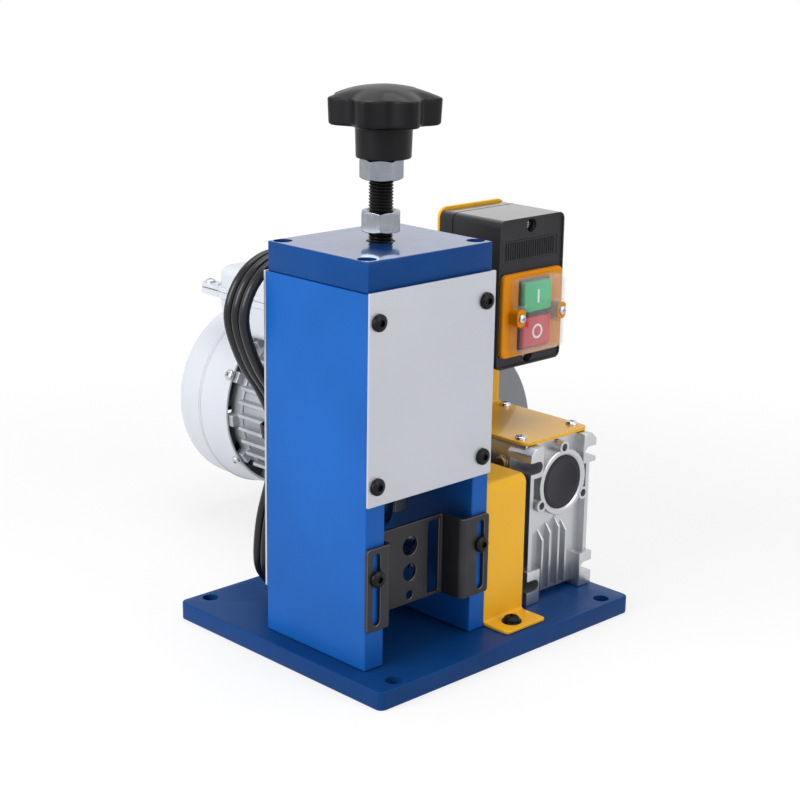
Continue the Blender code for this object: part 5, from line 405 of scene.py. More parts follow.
    def data(self, name: str) -> bpy.types.Mesh:
        """This form as mesh data."""
        data = bpy.data.meshes.new(name)
        self.mesh.to_mesh(data)
        return data

    def clean(self) -> "Form":
        """Merges double points and drops faces without an area."""
        bmesh.ops.remove_doubles(self.mesh, verts=self.mesh.verts, dist=MERGE_REACH)
        bmesh.ops.dissolve_degenerate(self.mesh, dist=MERGE_REACH, edges=self.mesh.edges)
        return self


class Channel:
    """One output of a node, with arithmetic that adds Math nodes."""

    def __init__(self, recipe: "Recipe", socket: bpy.types.NodeSocket) -> None:
        """Wraps a socket of a recipe's tree."""
        self.recipe = recipe
        self.socket = socket

    def __getitem__(self, name: str) -> "Channel":
        """Another output of the same node."""
        outputs = self.socket.node.outputs
        return Channel(self.recipe, next(o for o in outputs if o.name == name and o.enabled))

    def __add__(self, other: "Channel | float") -> "Channel":
        """Sum."""
        return self.recipe.math("ADD", self, other)

    def __sub__(self, other: "Channel | float") -> "Channel":
        """Difference."""
        return self.recipe.math("SUBTRACT", self, other)

    def __rsub__(self, other: float) -> "Channel":
        """Difference from a number."""
        return self.recipe.math("SUBTRACT", other, self)

    def __mul__(self, other: "Channel | float") -> "Channel":
        """Product."""
        return self.recipe.math("MULTIPLY", self, other)

    def __truediv__(self, other: "Channel | float") -> "Channel":
        """Quotient."""
        return self.recipe.math("DIVIDE", self, other)

    def __pow__(self, other: "Channel | float") -> "Channel":
        """Power."""
        return self.recipe.math("POWER", self, other)

    __radd__ = __add__
    __rmul__ = __mul__

    def span(self, low: float, high: float, to_low: float = 0.0, to_high: float = 1.0) -> "Channel":
        """Smooth step of this value from one range to another."""
        sockets = {"Value": self, "From Min": low, "From Max": high, "To Min": to_low, "To Max": to_high}
        return self.recipe.add("ShaderNodeMapRange", sockets, interpolation_type="SMOOTHSTEP")


class Recipe:
    """A node tree that is filled by calls."""

    def __init__(self, tree: bpy.types.NodeTree) -> None:
        """Starts on a tree."""
        self.tree = tree

    def add(self, kind: str, sockets: dict | None = None, **settings: object) -> Channel:
        """Adds a node.

        Args:
            kind: The node's type.
            sockets: Values or channels of its inputs, by name or index.
            settings: Properties of the node, which are set before its inputs.

        Returns:
            The channel of its first usable output.
        """
        node = self.tree.nodes.new(kind)
        for name, value in settings.items():
            setattr(node, name, value)
        for name, value in (sockets or {}).items():
            self.feed(node, name, value)
        outputs = [output for output in node.outputs if output.enabled]
        return Channel(self, outputs[0] if outputs else node.inputs[0])

    def feed(self, node: bpy.types.Node, name: str | int, value: object) -> None:
        """Sets or links one input of a node.

        Args:
            node: The node.
            name: The input's name or index.
            value: A number, a tuple, a material, a channel, or a list of channels.
        """
        if isinstance(name, int):
            socket = node.inputs[name]
        else:
            socket = next(s for s in node.inputs if s.name == name and s.enabled)
        for item in value if isinstance(value, list) else [value]:
            if isinstance(item, Channel):
                self.tree.links.new(item.socket, socket)
            else:
                socket.default_value = item

    def math(self, operation: str, *values: "Channel | float") -> Channel:
        """A Math node of channels and numbers."""
        return self.add("ShaderNodeMath", dict(enumerate(values)), operation=operation)

    def vector(self, operation: str, *values: object) -> Channel:
        """A Vector Math node of channels and tuples."""
        return self.add("ShaderNodeVectorMath", dict(enumerate(values)), operation=operation)

    def xyz(self, x: "Channel | float" = 0.0, y: "Channel | float" = 0.0, z: "Channel | float" = 0.0) -> Channel:
        """A vector from its three parts."""
        return self.add("ShaderNodeCombineXYZ", {"X": x, "Y": y, "Z": z})

    def parts(self, vector: Channel) -> Channel:
        """The three parts of a vector."""
        return self.add("ShaderNodeSeparateXYZ", {"Vector": vector})

    def place(self) -> Channel:
        """Object coordinates, which are the machine's own."""
        return self.add("ShaderNodeTexCoord")["Object"]

    def noise(self, scale: float, detail: float = 2.0, stretch: Triple = (1, 1, 1)) -> Channel:
        """Noise over the surface, from 0 to 1, by its waves in a metre, its octaves and its stretch."""
        at = self.vector("MULTIPLY", self.place(), stretch)
        return self.add("ShaderNodeTexNoise", {"Vector": at, "Scale": scale, "Detail": detail})

    def mix(self, share: Channel, first: Colour, second: Colour) -> Channel:
        """A colour between two by a share."""
        return self.add("ShaderNodeMix", {0: share, 6: (*first, 1.0), 7: (*second, 1.0)}, data_type="RGBA")

    def bump(self, height: Channel, distance: float) -> Channel:
        """A normal raised by a height."""
        return self.add("ShaderNodeBump", {"Height": height, "Distance": distance, "Strength": 1.0})

    def blend(self, share: Channel, first: Channel, second: Channel) -> Channel:
        """A surface between two by a share."""
        return self.add("ShaderNodeMixShader", {0: share, 1: first, 2: second})

    def drum(self, sides: int, radius: Channel, depth: Channel) -> Channel:
        """A cylinder round the origin along Z."""
        return self.add("GeometryNodeMeshCylinder", {"Vertices": sides, "Radius": radius, "Depth": depth})

    def cube(self, size: "Channel | Triple") -> Channel:
        """A box round the origin."""
        return self.add("GeometryNodeMeshCube", {"Size": size})

    def row(self, count: Channel, start: Channel, step: Channel) -> Channel:
        """Points in a row from a start."""
        places = {"Count": count, "Start Location": start, "Offset": step}
        return self.add("GeometryNodeMeshLine", places, mode="OFFSET")

    def shifted(self, geometry: Channel, offset: Channel) -> Channel:
        """Geometry moved by an offset."""
        return self.add("GeometryNodeTransform", {"Geometry": geometry, "Translation": offset})

    def joined(self, *parts: Channel) -> Channel:
        """Geometry of several parts."""
        return self.add("GeometryNodeJoinGeometry", {"Geometry": list(parts)})

    def set_on(self, points: Channel, instance: Channel, **more: Channel) -> Channel:
        """Copies of some geometry on points, with their rotation or scale by name."""
        return self.add("GeometryNodeInstanceOnPoints", {"Points": points, "Instance": instance, **more})


def toned(colour: Colour, factor: float) -> Colour:
    """A colour made lighter or darker by a factor."""
    return tuple(min(1.0, part * factor) for part in colour)


@dataclass(frozen=True)
class Finish:
    """A surface; each kind of finish paints its own pattern.

    Attributes:
        name: The material's name.
        slot: Name of a material slot; not used.
        colour: Its main colour.
        roughness: Its mean roughness.
        coat: Weight of a clear gloss over it.
        specular: Strength of its mirror reflection.
        top_coat: Weight of a painted sheen, extra gloss laid only on faces that look up, where light lies on them.
        metallic: How far it is bare metal.
    """

    name: str
    slot: str
    colour: Colour
    roughness: float = 0.4
    coat: float = 0.0
    specular: float = 0.2
    top_coat: float = 0.0
    metallic: float = field(default=0.0, kw_only=True)

    def material(self) -> bpy.types.Material:
        """The material of this finish, made once."""
        made = bpy.data.materials.get(self.name)
        if made is None:
            made = bpy.data.materials.new(self.name)
            made.use_nodes = True
            recipe = Recipe(made.node_tree)
            shader = made.node_tree.nodes["Principled BSDF"]
            shader.inputs["Metallic"].default_value = self.metallic
            shader.inputs["Roughness"].default_value = self.roughness
            shader.inputs["Coat Weight"].default_value = self.coat
            shader.inputs["Coat Roughness"].default_value = COAT_ROUGHNESS
            shader.inputs["Specular IOR Level"].default_value = self.specular
            # Painted sheen: the coat is weighted up only on faces that look up, standing in for the light that lies on
            # tops.
            if self.top_coat:
                upward = recipe.parts(recipe.add("ShaderNodeNewGeometry")["Normal"])["Z"]
                recipe.feed(shader, "Coat Weight", upward.span(*LOOKS_UP, self.coat, self.top_coat))
            self.paint(recipe, shader)
        return made

    def paint(self, recipe: Recipe, shader: bpy.types.Node) -> None:
        """Adds the pattern to the material's shader."""
        raise NotImplementedError

    def dress(self, recipe: Recipe, shader: bpy.types.Node, *channels: Channel) -> None:
        """Feeds the shader's colour, roughness and normal, in this order."""
        for name, channel in zip(("Base Color", "Roughness", "Normal"), channels):
            recipe.feed(shader, name, channel)


@dataclass(frozen=True)
class Enamel(Finish):
    """Sprayed gloss paint with a light orange peel."""

    peel: float = 330.0
    peel_height: float = 0.00006
    drift: float = 0.82

    def paint(self, recipe: Recipe, shader: bpy.types.Node) -> None:
        """Lays colour that drifts a little, fine dust and the orange peel."""
        drift = recipe.noise(9.0, 3.0).span(0.3, 0.7)
        colour = recipe.mix(drift, toned(self.colour, self.drift), self.colour)
        dust = recipe.noise(2600.0, 1.0).span(0.70, 0.78)
        rough = recipe.noise(60.0, 4.0) * 0.10 + (self.roughness - 0.05) + dust * 0.12
        normal = recipe.bump(recipe.noise(self.peel, 1.5), self.peel_height)
        self.dress(recipe, shader, colour, rough, normal)


@dataclass(frozen=True)
class Moulded(Finish):
    """Moulded plastic or rubber with a fine grain."""

    grain: float = 1500.0
    grain_height: float = 0.00002

    def paint(self, recipe: Recipe, shader: bpy.types.Node) -> None:
        """Lays the grain, with handling marks that change the gloss."""
        marks = recipe.noise(35.0, 5.0).span(0.35, 0.75)
        colour = recipe.mix(marks, self.colour, toned(self.colour, 1.25))
        rough = marks * 0.09 + (self.roughness - 0.04)
        normal = recipe.bump(recipe.noise(self.grain, 2.0), self.grain_height)
        self.dress(recipe, shader, colour, rough, normal)


@dataclass(frozen=True)
class BrushedSheet(Finish):
    """Sheet brushed in one direction."""

    metallic: float = field(default=0.75, kw_only=True)
    along: Triple = (6.0, 900.0, 900.0)

    def paint(self, recipe: Recipe, shader: bpy.types.Node) -> None:
        """Lays long fine streaks and a few faint scratches."""
        streak = recipe.noise(1.0, 3.0, self.along)
        clouds = recipe.noise(12.0, 2.0).span(0.3, 0.7)
        colour = recipe.mix(streak * 0.6 + clouds * 0.4, toned(self.colour, 0.90), self.colour)
        rough = streak * 0.16 + (self.roughness - 0.08)
        self.dress(recipe, shader, colour, rough, recipe.bump(streak, 0.00002))


@dataclass(frozen=True)
class Casting(Finish):
    """Blasted die casting."""

    metallic: float = field(default=0.7, kw_only=True)
    grain: float = 1100.0
    depth: float = 0.00009

    def paint(self, recipe: Recipe, shader: bpy.types.Node) -> None:
        """Lays the blasted grain and cloudy tone of a casting."""
        clouds = recipe.noise(28.0, 4.0).span(0.30, 0.72)
        grain = recipe.noise(self.grain, 2.5)
        colour = recipe.mix(clouds * 0.7 + grain * 0.3, toned(self.colour, 0.80), toned(self.colour, 1.08))
        rough = grain * 0.14 + (self.roughness - 0.06)
        self.dress(recipe, shader, colour, rough, recipe.bump(grain, self.depth))


@dataclass(frozen=True)
class Turned(Finish):
    """Metal turned or ground round an axis, or plated over it."""

    metallic: float = field(default=1.0, kw_only=True)
    centre: Triple = (0.0, 0.0, 0.0)
    across: Triple = (1.0, 1.0, 0.0)
    pitch: float = 2600.0

    def paint(self, recipe: Recipe, shader: bpy.types.Node) -> None:
        """Lays the lathe's fine rings and a mottled tone."""
        spoke = recipe.vector("SUBTRACT", recipe.place(), self.centre)
        spoke = recipe.vector("MULTIPLY", spoke, self.across)
        radius = recipe.vector("LENGTH", spoke)["Value"]
        rings = recipe.math("SINE", radius * self.pitch * math.tau / 2) * 0.5 + 0.5
        mottle = recipe.noise(140.0, 4.0).span(0.3, 0.75)
        colour = recipe.mix(mottle, toned(self.colour, 0.86), self.colour)
        rough = mottle * 0.10 + rings * 0.05 + (self.roughness - 0.07)
        self.dress(recipe, shader, colour, rough, recipe.bump(rings, 0.000006))


@dataclass(frozen=True)
class BlackOxide(Finish):
    """Blackened steel, rubbed paler here and there."""

    metallic: float = field(default=0.55, kw_only=True)
    rub: float = 3.0

    def paint(self, recipe: Recipe, shader: bpy.types.Node) -> None:
        """Lays a thin mottled oxide with rubbed patches."""
        worn = recipe.noise(55.0, 6.0).span(0.52, 0.80)
        colour = recipe.mix(worn, self.colour, toned(self.colour, self.rub))
        rough = recipe.noise(420.0, 3.0) * 0.16 + (self.roughness - 0.08)
        self.dress(recipe, shader, colour, rough, recipe.bump(recipe.noise(900.0, 2.0), 0.00002))


@dataclass(frozen=True)
class Laminations(Finish):
    """Stacked sheet steel seen on its edges."""

    metallic: float = field(default=0.7, kw_only=True)
    pitch: float = 900.0

    def paint(self, recipe: Recipe, shader: bpy.types.Node) -> None:
        """Lays the lines between the sheets."""
        along = recipe.parts(recipe.place())["Y"]
        lines = recipe.math("SINE", along * self.pitch * math.tau) * 0.5 + 0.5
        colour = recipe.mix(lines, toned(self.colour, 0.55), self.colour)
        rough = recipe.noise(300.0) * 0.15 + self.roughness
        self.dress(recipe, shader, colour, rough, recipe.bump(lines, 0.00004))


@dataclass(frozen=True)
class ClearPlastic(Finish):
    """Thin soft clear plastic, a little foggy."""

    fog: float = 0.05

    def paint(self, recipe: Recipe, shader: bpy.types.Node) -> None:
        """Mixes a foggy gloss over clear, thicker where the wall is seen edge on."""
        fog = recipe.noise(45.0, 3.0).span(0.2, 0.8)
        colour = recipe.mix(fog, toned(self.colour, 0.94), self.colour)
        rough = fog * 0.06 + self.roughness
        self.dress(recipe, shader, colour, rough, recipe.bump(recipe.noise(90.0, 1.0), 0.00008))
        edge = recipe.add("ShaderNodeLayerWeight", {"Blend": 0.35})["Facing"]
        share = edge ** 2.5 * 0.5 + fog * 0.04 + self.fog
        clear = recipe.add("ShaderNodeBsdfTransparent", {"Color": (0.97, 0.98, 0.98, 1.0)})
        surface = recipe.blend(share, clear, Channel(recipe, shader.outputs[0]))
        recipe.feed(recipe.tree.nodes["Material Output"], "Surface", surface)


# The blue, yellow, pale, black knob and charcoal finishes carry a painted sheen on faces that look up.
BLUE = Enamel("blue_enamel", "blue_paint", (0.008, 0.108, 0.43), 0.34, specular=0.12, top_coat=0.5)
# Darker copies of the blue enamel for the head plate and the base slab: their darkening is painted shade.
SHADED_BLUE = Enamel("deep_blue_enamel", "blue_paint", (0.004, 0.056, 0.23), 0.34, specular=0.10, top_coat=1.0)
SHADED_SLAB_BLUE = Enamel("slab_blue_enamel", "blue_paint", (0.004, 0.045, 0.18), 0.36, specular=0.10)
YELLOW = Enamel(
    "yellow_coat", "yellow_paint", (0.87, 0.46, 0.020), 0.36, 0.0, 0.25, 0.4,
    peel=900.0, peel_height=0.00003, drift=0.93,
)
AMBER = Enamel(
    "amber_plastic", "yellow_paint", (0.76, 0.26, 0.002), 0.32, 0.0, 0.15,
    peel=900.0, peel_height=0.00002, drift=0.93,
)
GREY_FLANGE = Enamel(
    "grey_flange", "grey_paint", (0.27, 0.28, 0.30), 0.42, specular=0.3, peel=600.0, peel_height=0.00004
)
PALE = Enamel(
    "pale_coat", "pale_paint", (0.62, 0.64, 0.69), 0.36, top_coat=0.2,
    peel=500.0, peel_height=0.00004, drift=0.96,
)
COVER_SHEET = BrushedSheet("brushed_cover", "cover_aluminium", (0.56, 0.57, 0.62), 0.40)
REAR_SHEET = BrushedSheet("brushed_rear", "cover_aluminium", (0.56, 0.57, 0.61), 0.42)
CAST = Casting("cast_aluminium", "cast_aluminium", (0.26, 0.27, 0.295), 0.46)
CAST_FINS = Casting("cast_motor", "cast_aluminium", (0.48, 0.50, 0.53), 0.46, metallic=0.6)
CAST_COVER = Casting("cast_cover", "cast_aluminium", (0.36, 0.37, 0.39), 0.42)
KNOB_BLACK = Moulded(
    "knob_black", "black_plastic", (0.005, 0.005, 0.006), 0.38, 0.0, 0.15, 0.1,
    grain=1300.0, grain_height=0.00003,
)
FITTING_BLACK = Moulded("fitting_black", "black_plastic", (0.012, 0.012, 0.014), 0.42)
PLUG_BLACK = Moulded("plug_black", "black_plastic", (0.014, 0.014, 0.016), 0.38)
CHARCOAL = Moulded(
    "charcoal_shell", "charcoal_plastic", (0.020, 0.020, 0.023), 0.40, top_coat=1.0,
    grain=1700.0, grain_height=0.00003,
)
CAP_CHARCOAL = Moulded("cap_charcoal", "charcoal_plastic", (0.018, 0.018, 0.024), 0.46)
GREEN = Moulded("start_green", "green_plastic", (0.020, 0.42, 0.16), 0.28, 0.1)
RED = Moulded("stop_red", "red_plastic", (0.62, 0.020, 0.035), 0.28, 0.1)
SIGN_WHITE = Moulded("sign_white", "pale_paint", (0.86, 0.87, 0.88), 0.4)
SHEATH = Moulded("cord_sheath", "cord_rubber", (0.008, 0.008, 0.010), 0.30, 0.1, 0.3, grain=700.0)
CLEAR = ClearPlastic("clear_dome", "clear_plastic", (0.82, 0.85, 0.86), 0.10, specular=0.5)
STEEL = Turned("turned_steel", "machined_steel", (0.46, 0.47, 0.49), 0.28)
GROUND = Casting(
    "ground_steel", "machined_steel", (0.42, 0.43, 0.45), 0.32, metallic=0.95, grain=2400.0, depth=0.00001
)
ZINC = Turned("bright_zinc", "zinc", (0.62, 0.64, 0.67), 0.22)
NUT_ZINC = Turned("dull_zinc", "zinc", (0.30, 0.32, 0.36), 0.24)
BRONZE = Turned("bronze", "bronze", (0.55, 0.36, 0.15), 0.34)
BLACK_STEEL = BlackOxide("black_steel", "black_steel", (0.008, 0.008, 0.010), 0.38)
BLACK_STRIP = BlackOxide("black_strip", "black_steel", (0.036, 0.035, 0.039), 0.38, metallic=0.4, rub=1.25)
# Paler steel for the guide strip's rounded edges: partly rubbed bare steel and partly a painted highlight along the
# edges.
PAINTED_EDGE_HIGHLIGHT = BlackOxide("rubbed_edge", "black_steel", (0.10, 0.10, 0.11), 0.34, metallic=0.8, rub=1.6)
LAMINATED = Laminations("laminated_steel", "laminated_steel", (0.30, 0.30, 0.32), 0.45)


def add_piece(
    name: str,
    shape: "Form | bpy.types.Mesh | bpy.types.Curve",
    finish: Finish,
    replaces: str = "",
    edge: float = 0.0,
    segments: int = 2,
    edge_finish: Finish | None = None,
    body: str = "frame",
) -> bpy.types.Object:
    """Turns a shape into a finished piece that rides on a body.

    Args:
        name: The piece's name.
        shape: A form, or finished mesh or curve data.
        finish: Its finish.
        replaces: CAD nodes that it stands for, with spaces between them.
        edge: Width of the rounding of its sharp edges.
        segments: Steps of that rounding.
        edge_finish: Finish of the rounding where it differs.
        body: The body that it rides on.

    Returns:
        The piece.
    """
    data = shape.clean().data(name) if isinstance(shape, Form) else shape
    data.name = name
    data.materials.clear()
    for each in (finish, edge_finish) if edge_finish else (finish,):
        data.materials.append(each.material())
    piece = linked(name, data)
    if isinstance(data, bpy.types.Mesh):
        data.shade_smooth()
        data.set_sharp_from_angle(angle=SHARP_ANGLE)
        if edge:
            bevel = piece.modifiers.new("edges", "BEVEL")
            bevel.width = edge
            bevel.segments = segments
            bevel.limit_method = "ANGLE"
            bevel.angle_limit = BEVEL_ANGLE
            bevel.use_clamp_overlap = False
            bevel.loop_slide = False
            bevel.material = 1 if edge_finish else -1
            weighted = piece.modifiers.new("normals", "WEIGHTED_NORMAL")
            weighted.mode = "FACE_AREA"
            weighted.keep_sharp = True
            rounded_data = evaluated(piece)
            piece.modifiers.clear()
            piece.data = rounded_data
            rounded_data.name = name
    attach(piece, body)
    if replaces:
        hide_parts(*replaces.split())
    count = len(piece.data.polygons) if isinstance(piece.data, bpy.types.Mesh) else 0
    LOG.info("%s rides on %s, %d faces", name, body, count)
    return piece


class Growth:
    """A geometry tree with named inputs for its sizes."""

    def __init__(self, name: str, inputs: dict[str, type]) -> None:
        """Makes a tree whose inputs are whole numbers, numbers or, by tuple, vectors."""
        self.tree = bpy.data.node_groups.new(name, "GeometryNodeTree")
        face = self.tree.interface
        face.new_socket("Geometry", in_out="INPUT", socket_type="NodeSocketGeometry")
        face.new_socket("Geometry", in_out="OUTPUT", socket_type="NodeSocketGeometry")
        kinds = {int: "Int", float: "Float", tuple: "Vector", Finish: "Material"}
        for title, kind in {**inputs, "Finish": Finish}.items():
            face.new_socket(title, in_out="INPUT", socket_type=f"NodeSocket{kinds[kind]}")
        self.recipe = Recipe(self.tree)
        self.entry = self.recipe.add("NodeGroupInput")

    def __getitem__(self, name: str) -> Channel:
        """One of the tree's inputs."""
        return self.entry[name]

    def end(self, geometry: Channel) -> "Growth":
        """Realizes the instances, sets the material and closes the tree."""
        plain = self.recipe.add("GeometryNodeRealizeInstances", {"Geometry": geometry})
        dressed = self.recipe.add("GeometryNodeSetMaterial", {"Geometry": plain, "Material": self["Finish"]})
        self.recipe.add("NodeGroupOutput", {0: dressed})
        return self

    def grow(self, finish: Finish, values: dict[str, object], base: bpy.types.Mesh | None = None) -> bpy.types.Mesh:
        """Runs the tree.

        Args:
            finish: Finish of the result.
            values: Values of the tree's inputs by name.
            base: Mesh that the tree starts from, if any.

        Returns:
            The result as a plain mesh.
        """
        carrier = linked("carrier", base or bpy.data.meshes.new("carrier"))
        modifier = carrier.modifiers.new("growth", "NODES")
        modifier.node_group = self.tree
        given = {**values, "Finish": finish.material()}
        for item in self.tree.interface.items_tree:
            if item.in_out == "INPUT" and item.name in given:
                modifier[item.identifier] = given[item.name]
        result = evaluated(carrier)
        carrier.modifiers.clear()
        bpy.data.meshes.remove(carrier.data)
        return result


HEAD_SIDES = 40
SHANK_SIDES = 24
DOME_STEPS = 5
DOME_FLAT_SHARE = 0.35
CROSS_SLIM_SHARE = 0.42


def screw_growth(recess: Recess) -> Growth:
    """Builds the tree that sets screws on points which carry the way that each head faces."""
    sizes = ("Radius", "Height", "Crown", "Socket", "Depth", "Shank", "Reach")
    growth = Growth(f"screws_{recess.value}", {**dict.fromkeys(sizes, float), "Seed": int})
    recipe = growth.recipe
    height = growth["Height"]
    side = height * (1.0 - growth["Crown"])
    drum = recipe.drum(HEAD_SIDES, growth["Radius"], side)
    head = recipe.shifted(drum, recipe.xyz(z=side / 2.0))
    top = drum["Top"]
    before = (1.0, 0.0)
    for step in range(1, DOME_STEPS + 1):
        angle = math.pi / 2 * step / DOME_STEPS
        share = DOME_FLAT_SHARE + (1 - DOME_FLAT_SHARE) * math.cos(angle)
        rise = height * growth["Crown"] * (math.sin(angle) - before[1])
        sockets = {"Mesh": head, "Selection": top, "Offset Scale": rise, "Individual": False}
        raised = recipe.add("GeometryNodeExtrudeMesh", sockets, mode="FACES")
        top = raised["Top"]
        sockets = {"Geometry": raised, "Selection": top, "Scale": share / before[0]}
        head = recipe.add("GeometryNodeScaleElements", sockets)
        before = (share, math.sin(angle))
    deep = growth["Depth"] * 2.0
    if recess is Recess.HEXAGON:
        drives = [recipe.drum(6, growth["Socket"], deep)]
    else:
        long, slim = growth["Socket"] * 2.0, growth["Socket"] * CROSS_SLIM_SHARE
        drives = [recipe.cube(recipe.xyz(*sides, deep)) for sides in ((long, slim), (slim, long))]
    cutters = [recipe.shifted(drive, recipe.xyz(z=height)) for drive in drives]
    driven = recipe.add("GeometryNodeMeshBoolean", {"Mesh 1": head, "Mesh 2": cutters}, operation="DIFFERENCE")
    stem = recipe.drum(SHANK_SIDES, growth["Shank"], growth["Reach"])
    whole = recipe.joined(driven, recipe.shifted(stem, recipe.xyz(z=growth["Reach"] * -0.5)))
    facing = recipe.add("GeometryNodeInputNamedAttribute", {"Name": "facing"}, data_type="FLOAT_VECTOR")
    upright = recipe.add("FunctionNodeAlignRotationToVector", {"Vector": facing}, axis="Z")
    limits = {"Min": 0.0, "Max": math.tau, "Seed": growth["Seed"]}
    angle = recipe.add("FunctionNodeRandomValue", limits, data_type="FLOAT")
    twist = recipe.add("FunctionNodeAxisAngleToRotation", {"Axis": (0.0, 0.0, 1.0), "Angle": angle})
    turns = {"Rotation": upright, "Rotate By": twist}
    turned = recipe.add("FunctionNodeRotateRotation", turns, rotation_space="LOCAL")
    return growth.end(recipe.set_on(growth["Geometry"], whole, Rotation=turned))


THREAD_ROOT_SHARE = 0.15


def thread_growth() -> Growth:
    """Builds the tree of a screw thread that rises from the origin."""
    growth = Growth("screw_thread", {"Radius": float, "Pitch": float, "Length": float, "Steps": int})
    recipe = growth.recipe
    length = growth["Length"]
    tooth = growth["Pitch"] / 2.0
    line = growth["Radius"] - tooth
    sockets = {"Resolution": growth["Steps"], "Rotations": length / growth["Pitch"], "Height": length}
    sockets |= {"Start Radius": line, "End Radius": line, "Reverse": False}
    spiral = recipe.add("GeometryNodeCurveSpiral", sockets)
    upright = recipe.add("GeometryNodeSetCurveNormal", {"Curve": spiral}, mode="Z_UP")
    profile = recipe.add("GeometryNodeCurvePrimitiveCircle", {"Resolution": 4, "Radius": tooth}, mode="RADIUS")
    sockets = {"Curve": upright, "Profile Curve": profile, "Fill Caps": True}
    flank = recipe.add("GeometryNodeCurveToMesh", sockets)
    core = recipe.drum(BORE_SIDES, line + tooth * THREAD_ROOT_SHARE, length)
    return growth.end(recipe.joined(flank, recipe.shifted(core, recipe.xyz(z=length / 2.0))))


FIN_ROOT_DEPTH = 0.002


def fin_growth() -> Growth:
    """Builds the tree of flat fins that stand out to both sides of a round body along Y."""
    sizes = dict.fromkeys(("Root", "Outer", "Pitch", "Thickness", "Length"), float)
    growth = Growth("motor_fins", {**sizes, "Each Side": int})
    recipe = growth.recipe
    low = recipe.xyz(z=growth["Each Side"] * growth["Pitch"] * -1.0)
    line = recipe.row(growth["Each Side"] * 2.0 + 1.0, low, recipe.xyz(z=growth["Pitch"]))
    height = recipe.parts(recipe.add("GeometryNodeInputPosition"))["Z"]
    tip = recipe.math("SQRT", growth["Outer"] ** 2.0 - height * height)
    root = recipe.math("SQRT", growth["Root"] ** 2.0 - height * height) - FIN_ROOT_DEPTH
    scale = recipe.xyz(tip - root, growth["Length"], growth["Thickness"])
    cube = recipe.cube((1.0, 1.0, 1.0))
    sides = []
    for side in (0.5, -0.5):
        sockets = {"Geometry": line, "Offset": recipe.xyz((tip + root) * side)}
        sides.append(recipe.set_on(recipe.add("GeometryNodeSetPosition", sockets), cube, Scale=scale))
    return growth.end(recipe.joined(*sides))


def crown_growth() -> Growth:
    """Builds the tree that sets blocks round a circle in the XY plane, facing outwards."""
    growth = Growth("block_crown", {"Count": int, "Radius": float, "Size": tuple, "Start": float})
    recipe = growth.recipe
    sockets = {"Vertices": growth["Count"], "Radius": growth["Radius"]}
    points = recipe.add("GeometryNodeMeshCircle", sockets, fill_type="NONE")
    position = recipe.add("GeometryNodeInputPosition")
    outward = recipe.add("FunctionNodeAlignRotationToVector", {"Vector": position}, axis="X")
    blocks = recipe.set_on(points, recipe.cube(growth["Size"]), Rotation=outward)
    sockets = {"Geometry": blocks, "Rotation": recipe.xyz(z=growth["Start"])}
    return growth.end(recipe.add("GeometryNodeTransform", sockets))


def star_growth() -> Growth:
    """Builds the tree that draws a turned rim in between its lobes."""
    growth = Growth("star_rim", {"Lobes": int, "Depth": float, "Inner": float, "Outer": float})
    recipe = growth.recipe
    parts = recipe.parts(recipe.add("GeometryNodeInputPosition"))
    angle = recipe.math("ARCTAN2", parts["Y"], parts["X"])
    radius = recipe.math("SQRT", parts["X"] ** 2.0 + parts["Y"] ** 2.0)
    lobe = recipe.math("COSINE", angle * growth["Lobes"]) * -0.5 + 0.5
    share = (radius - growth["Inner"]) / (growth["Outer"] - growth["Inner"])
    held = recipe.math("MINIMUM", recipe.math("MAXIMUM", share, 0.0), 1.0)
    factor = 1.0 - lobe * held * growth["Depth"] / recipe.math("MAXIMUM", radius, OVERLAP)
    moved = recipe.xyz(parts["X"] * factor, parts["Y"] * factor, parts["Z"])
    sockets = {"Geometry": growth["Geometry"], "Position": moved}
    return growth.end(recipe.add("GeometryNodeSetPosition", sockets))


def rib_growth() -> Growth:
    """Builds the tree of a row of plain ribs along X."""
    growth = Growth("rib_row", {"Count": int, "Pitch": float, "Size": tuple})
    recipe = growth.recipe
    low = recipe.xyz((growth["Count"] - 1.0) * growth["Pitch"] * -0.5)
    line = recipe.row(growth["Count"], low, recipe.xyz(growth["Pitch"]))
    return growth.end(recipe.set_on(line, recipe.cube(growth["Size"])))


@dataclass(frozen=True)
class ScrewKind:
    """Sizes of one kind of screw.

    Attributes:
        recess: Its drive.
        radius: Radius of its head.
        height: Height of its head.
        crown: Share of the height that is domed.
        socket: Half the width of its drive.
        depth: Depth of its drive.
        shank: Radius of its shank.
        reach: Length of the shank that is modelled.
    """

    recess: Recess
    radius: float
    height: float
    crown: float
    socket: float
    depth: float
    shank: float
    reach: float

    def place(self, name: str, finish: Finish, seats: Sequence[Seat], seed: int) -> bpy.types.Object:
        """Sets screws of this kind on their seats in the frame.

        Args:
            name: Name of the piece that they make.
            finish: Their finish.
            seats: Point under each head and the way that the head faces.
            seed: Seed of the heads' twist.

        Returns:
            The piece.
        """
        if self.recess not in GROWTHS:
            GROWTHS[self.recess] = screw_growth(self.recess)
        base = bpy.data.meshes.new("seats")
        base.from_pydata([tuple(point) for point, _ in seats], [], [])
        facing = base.attributes.new("facing", "FLOAT_VECTOR", "POINT")
        for item, (_, way) in zip(facing.data, seats):
            item.vector = way
        values = {each.name.capitalize(): getattr(self, each.name) for each in fields(self)[1:]}
        grown = GROWTHS[self.recess].grow(finish, {**values, "Seed": seed}, base)
        return add_piece(name, grown, finish)


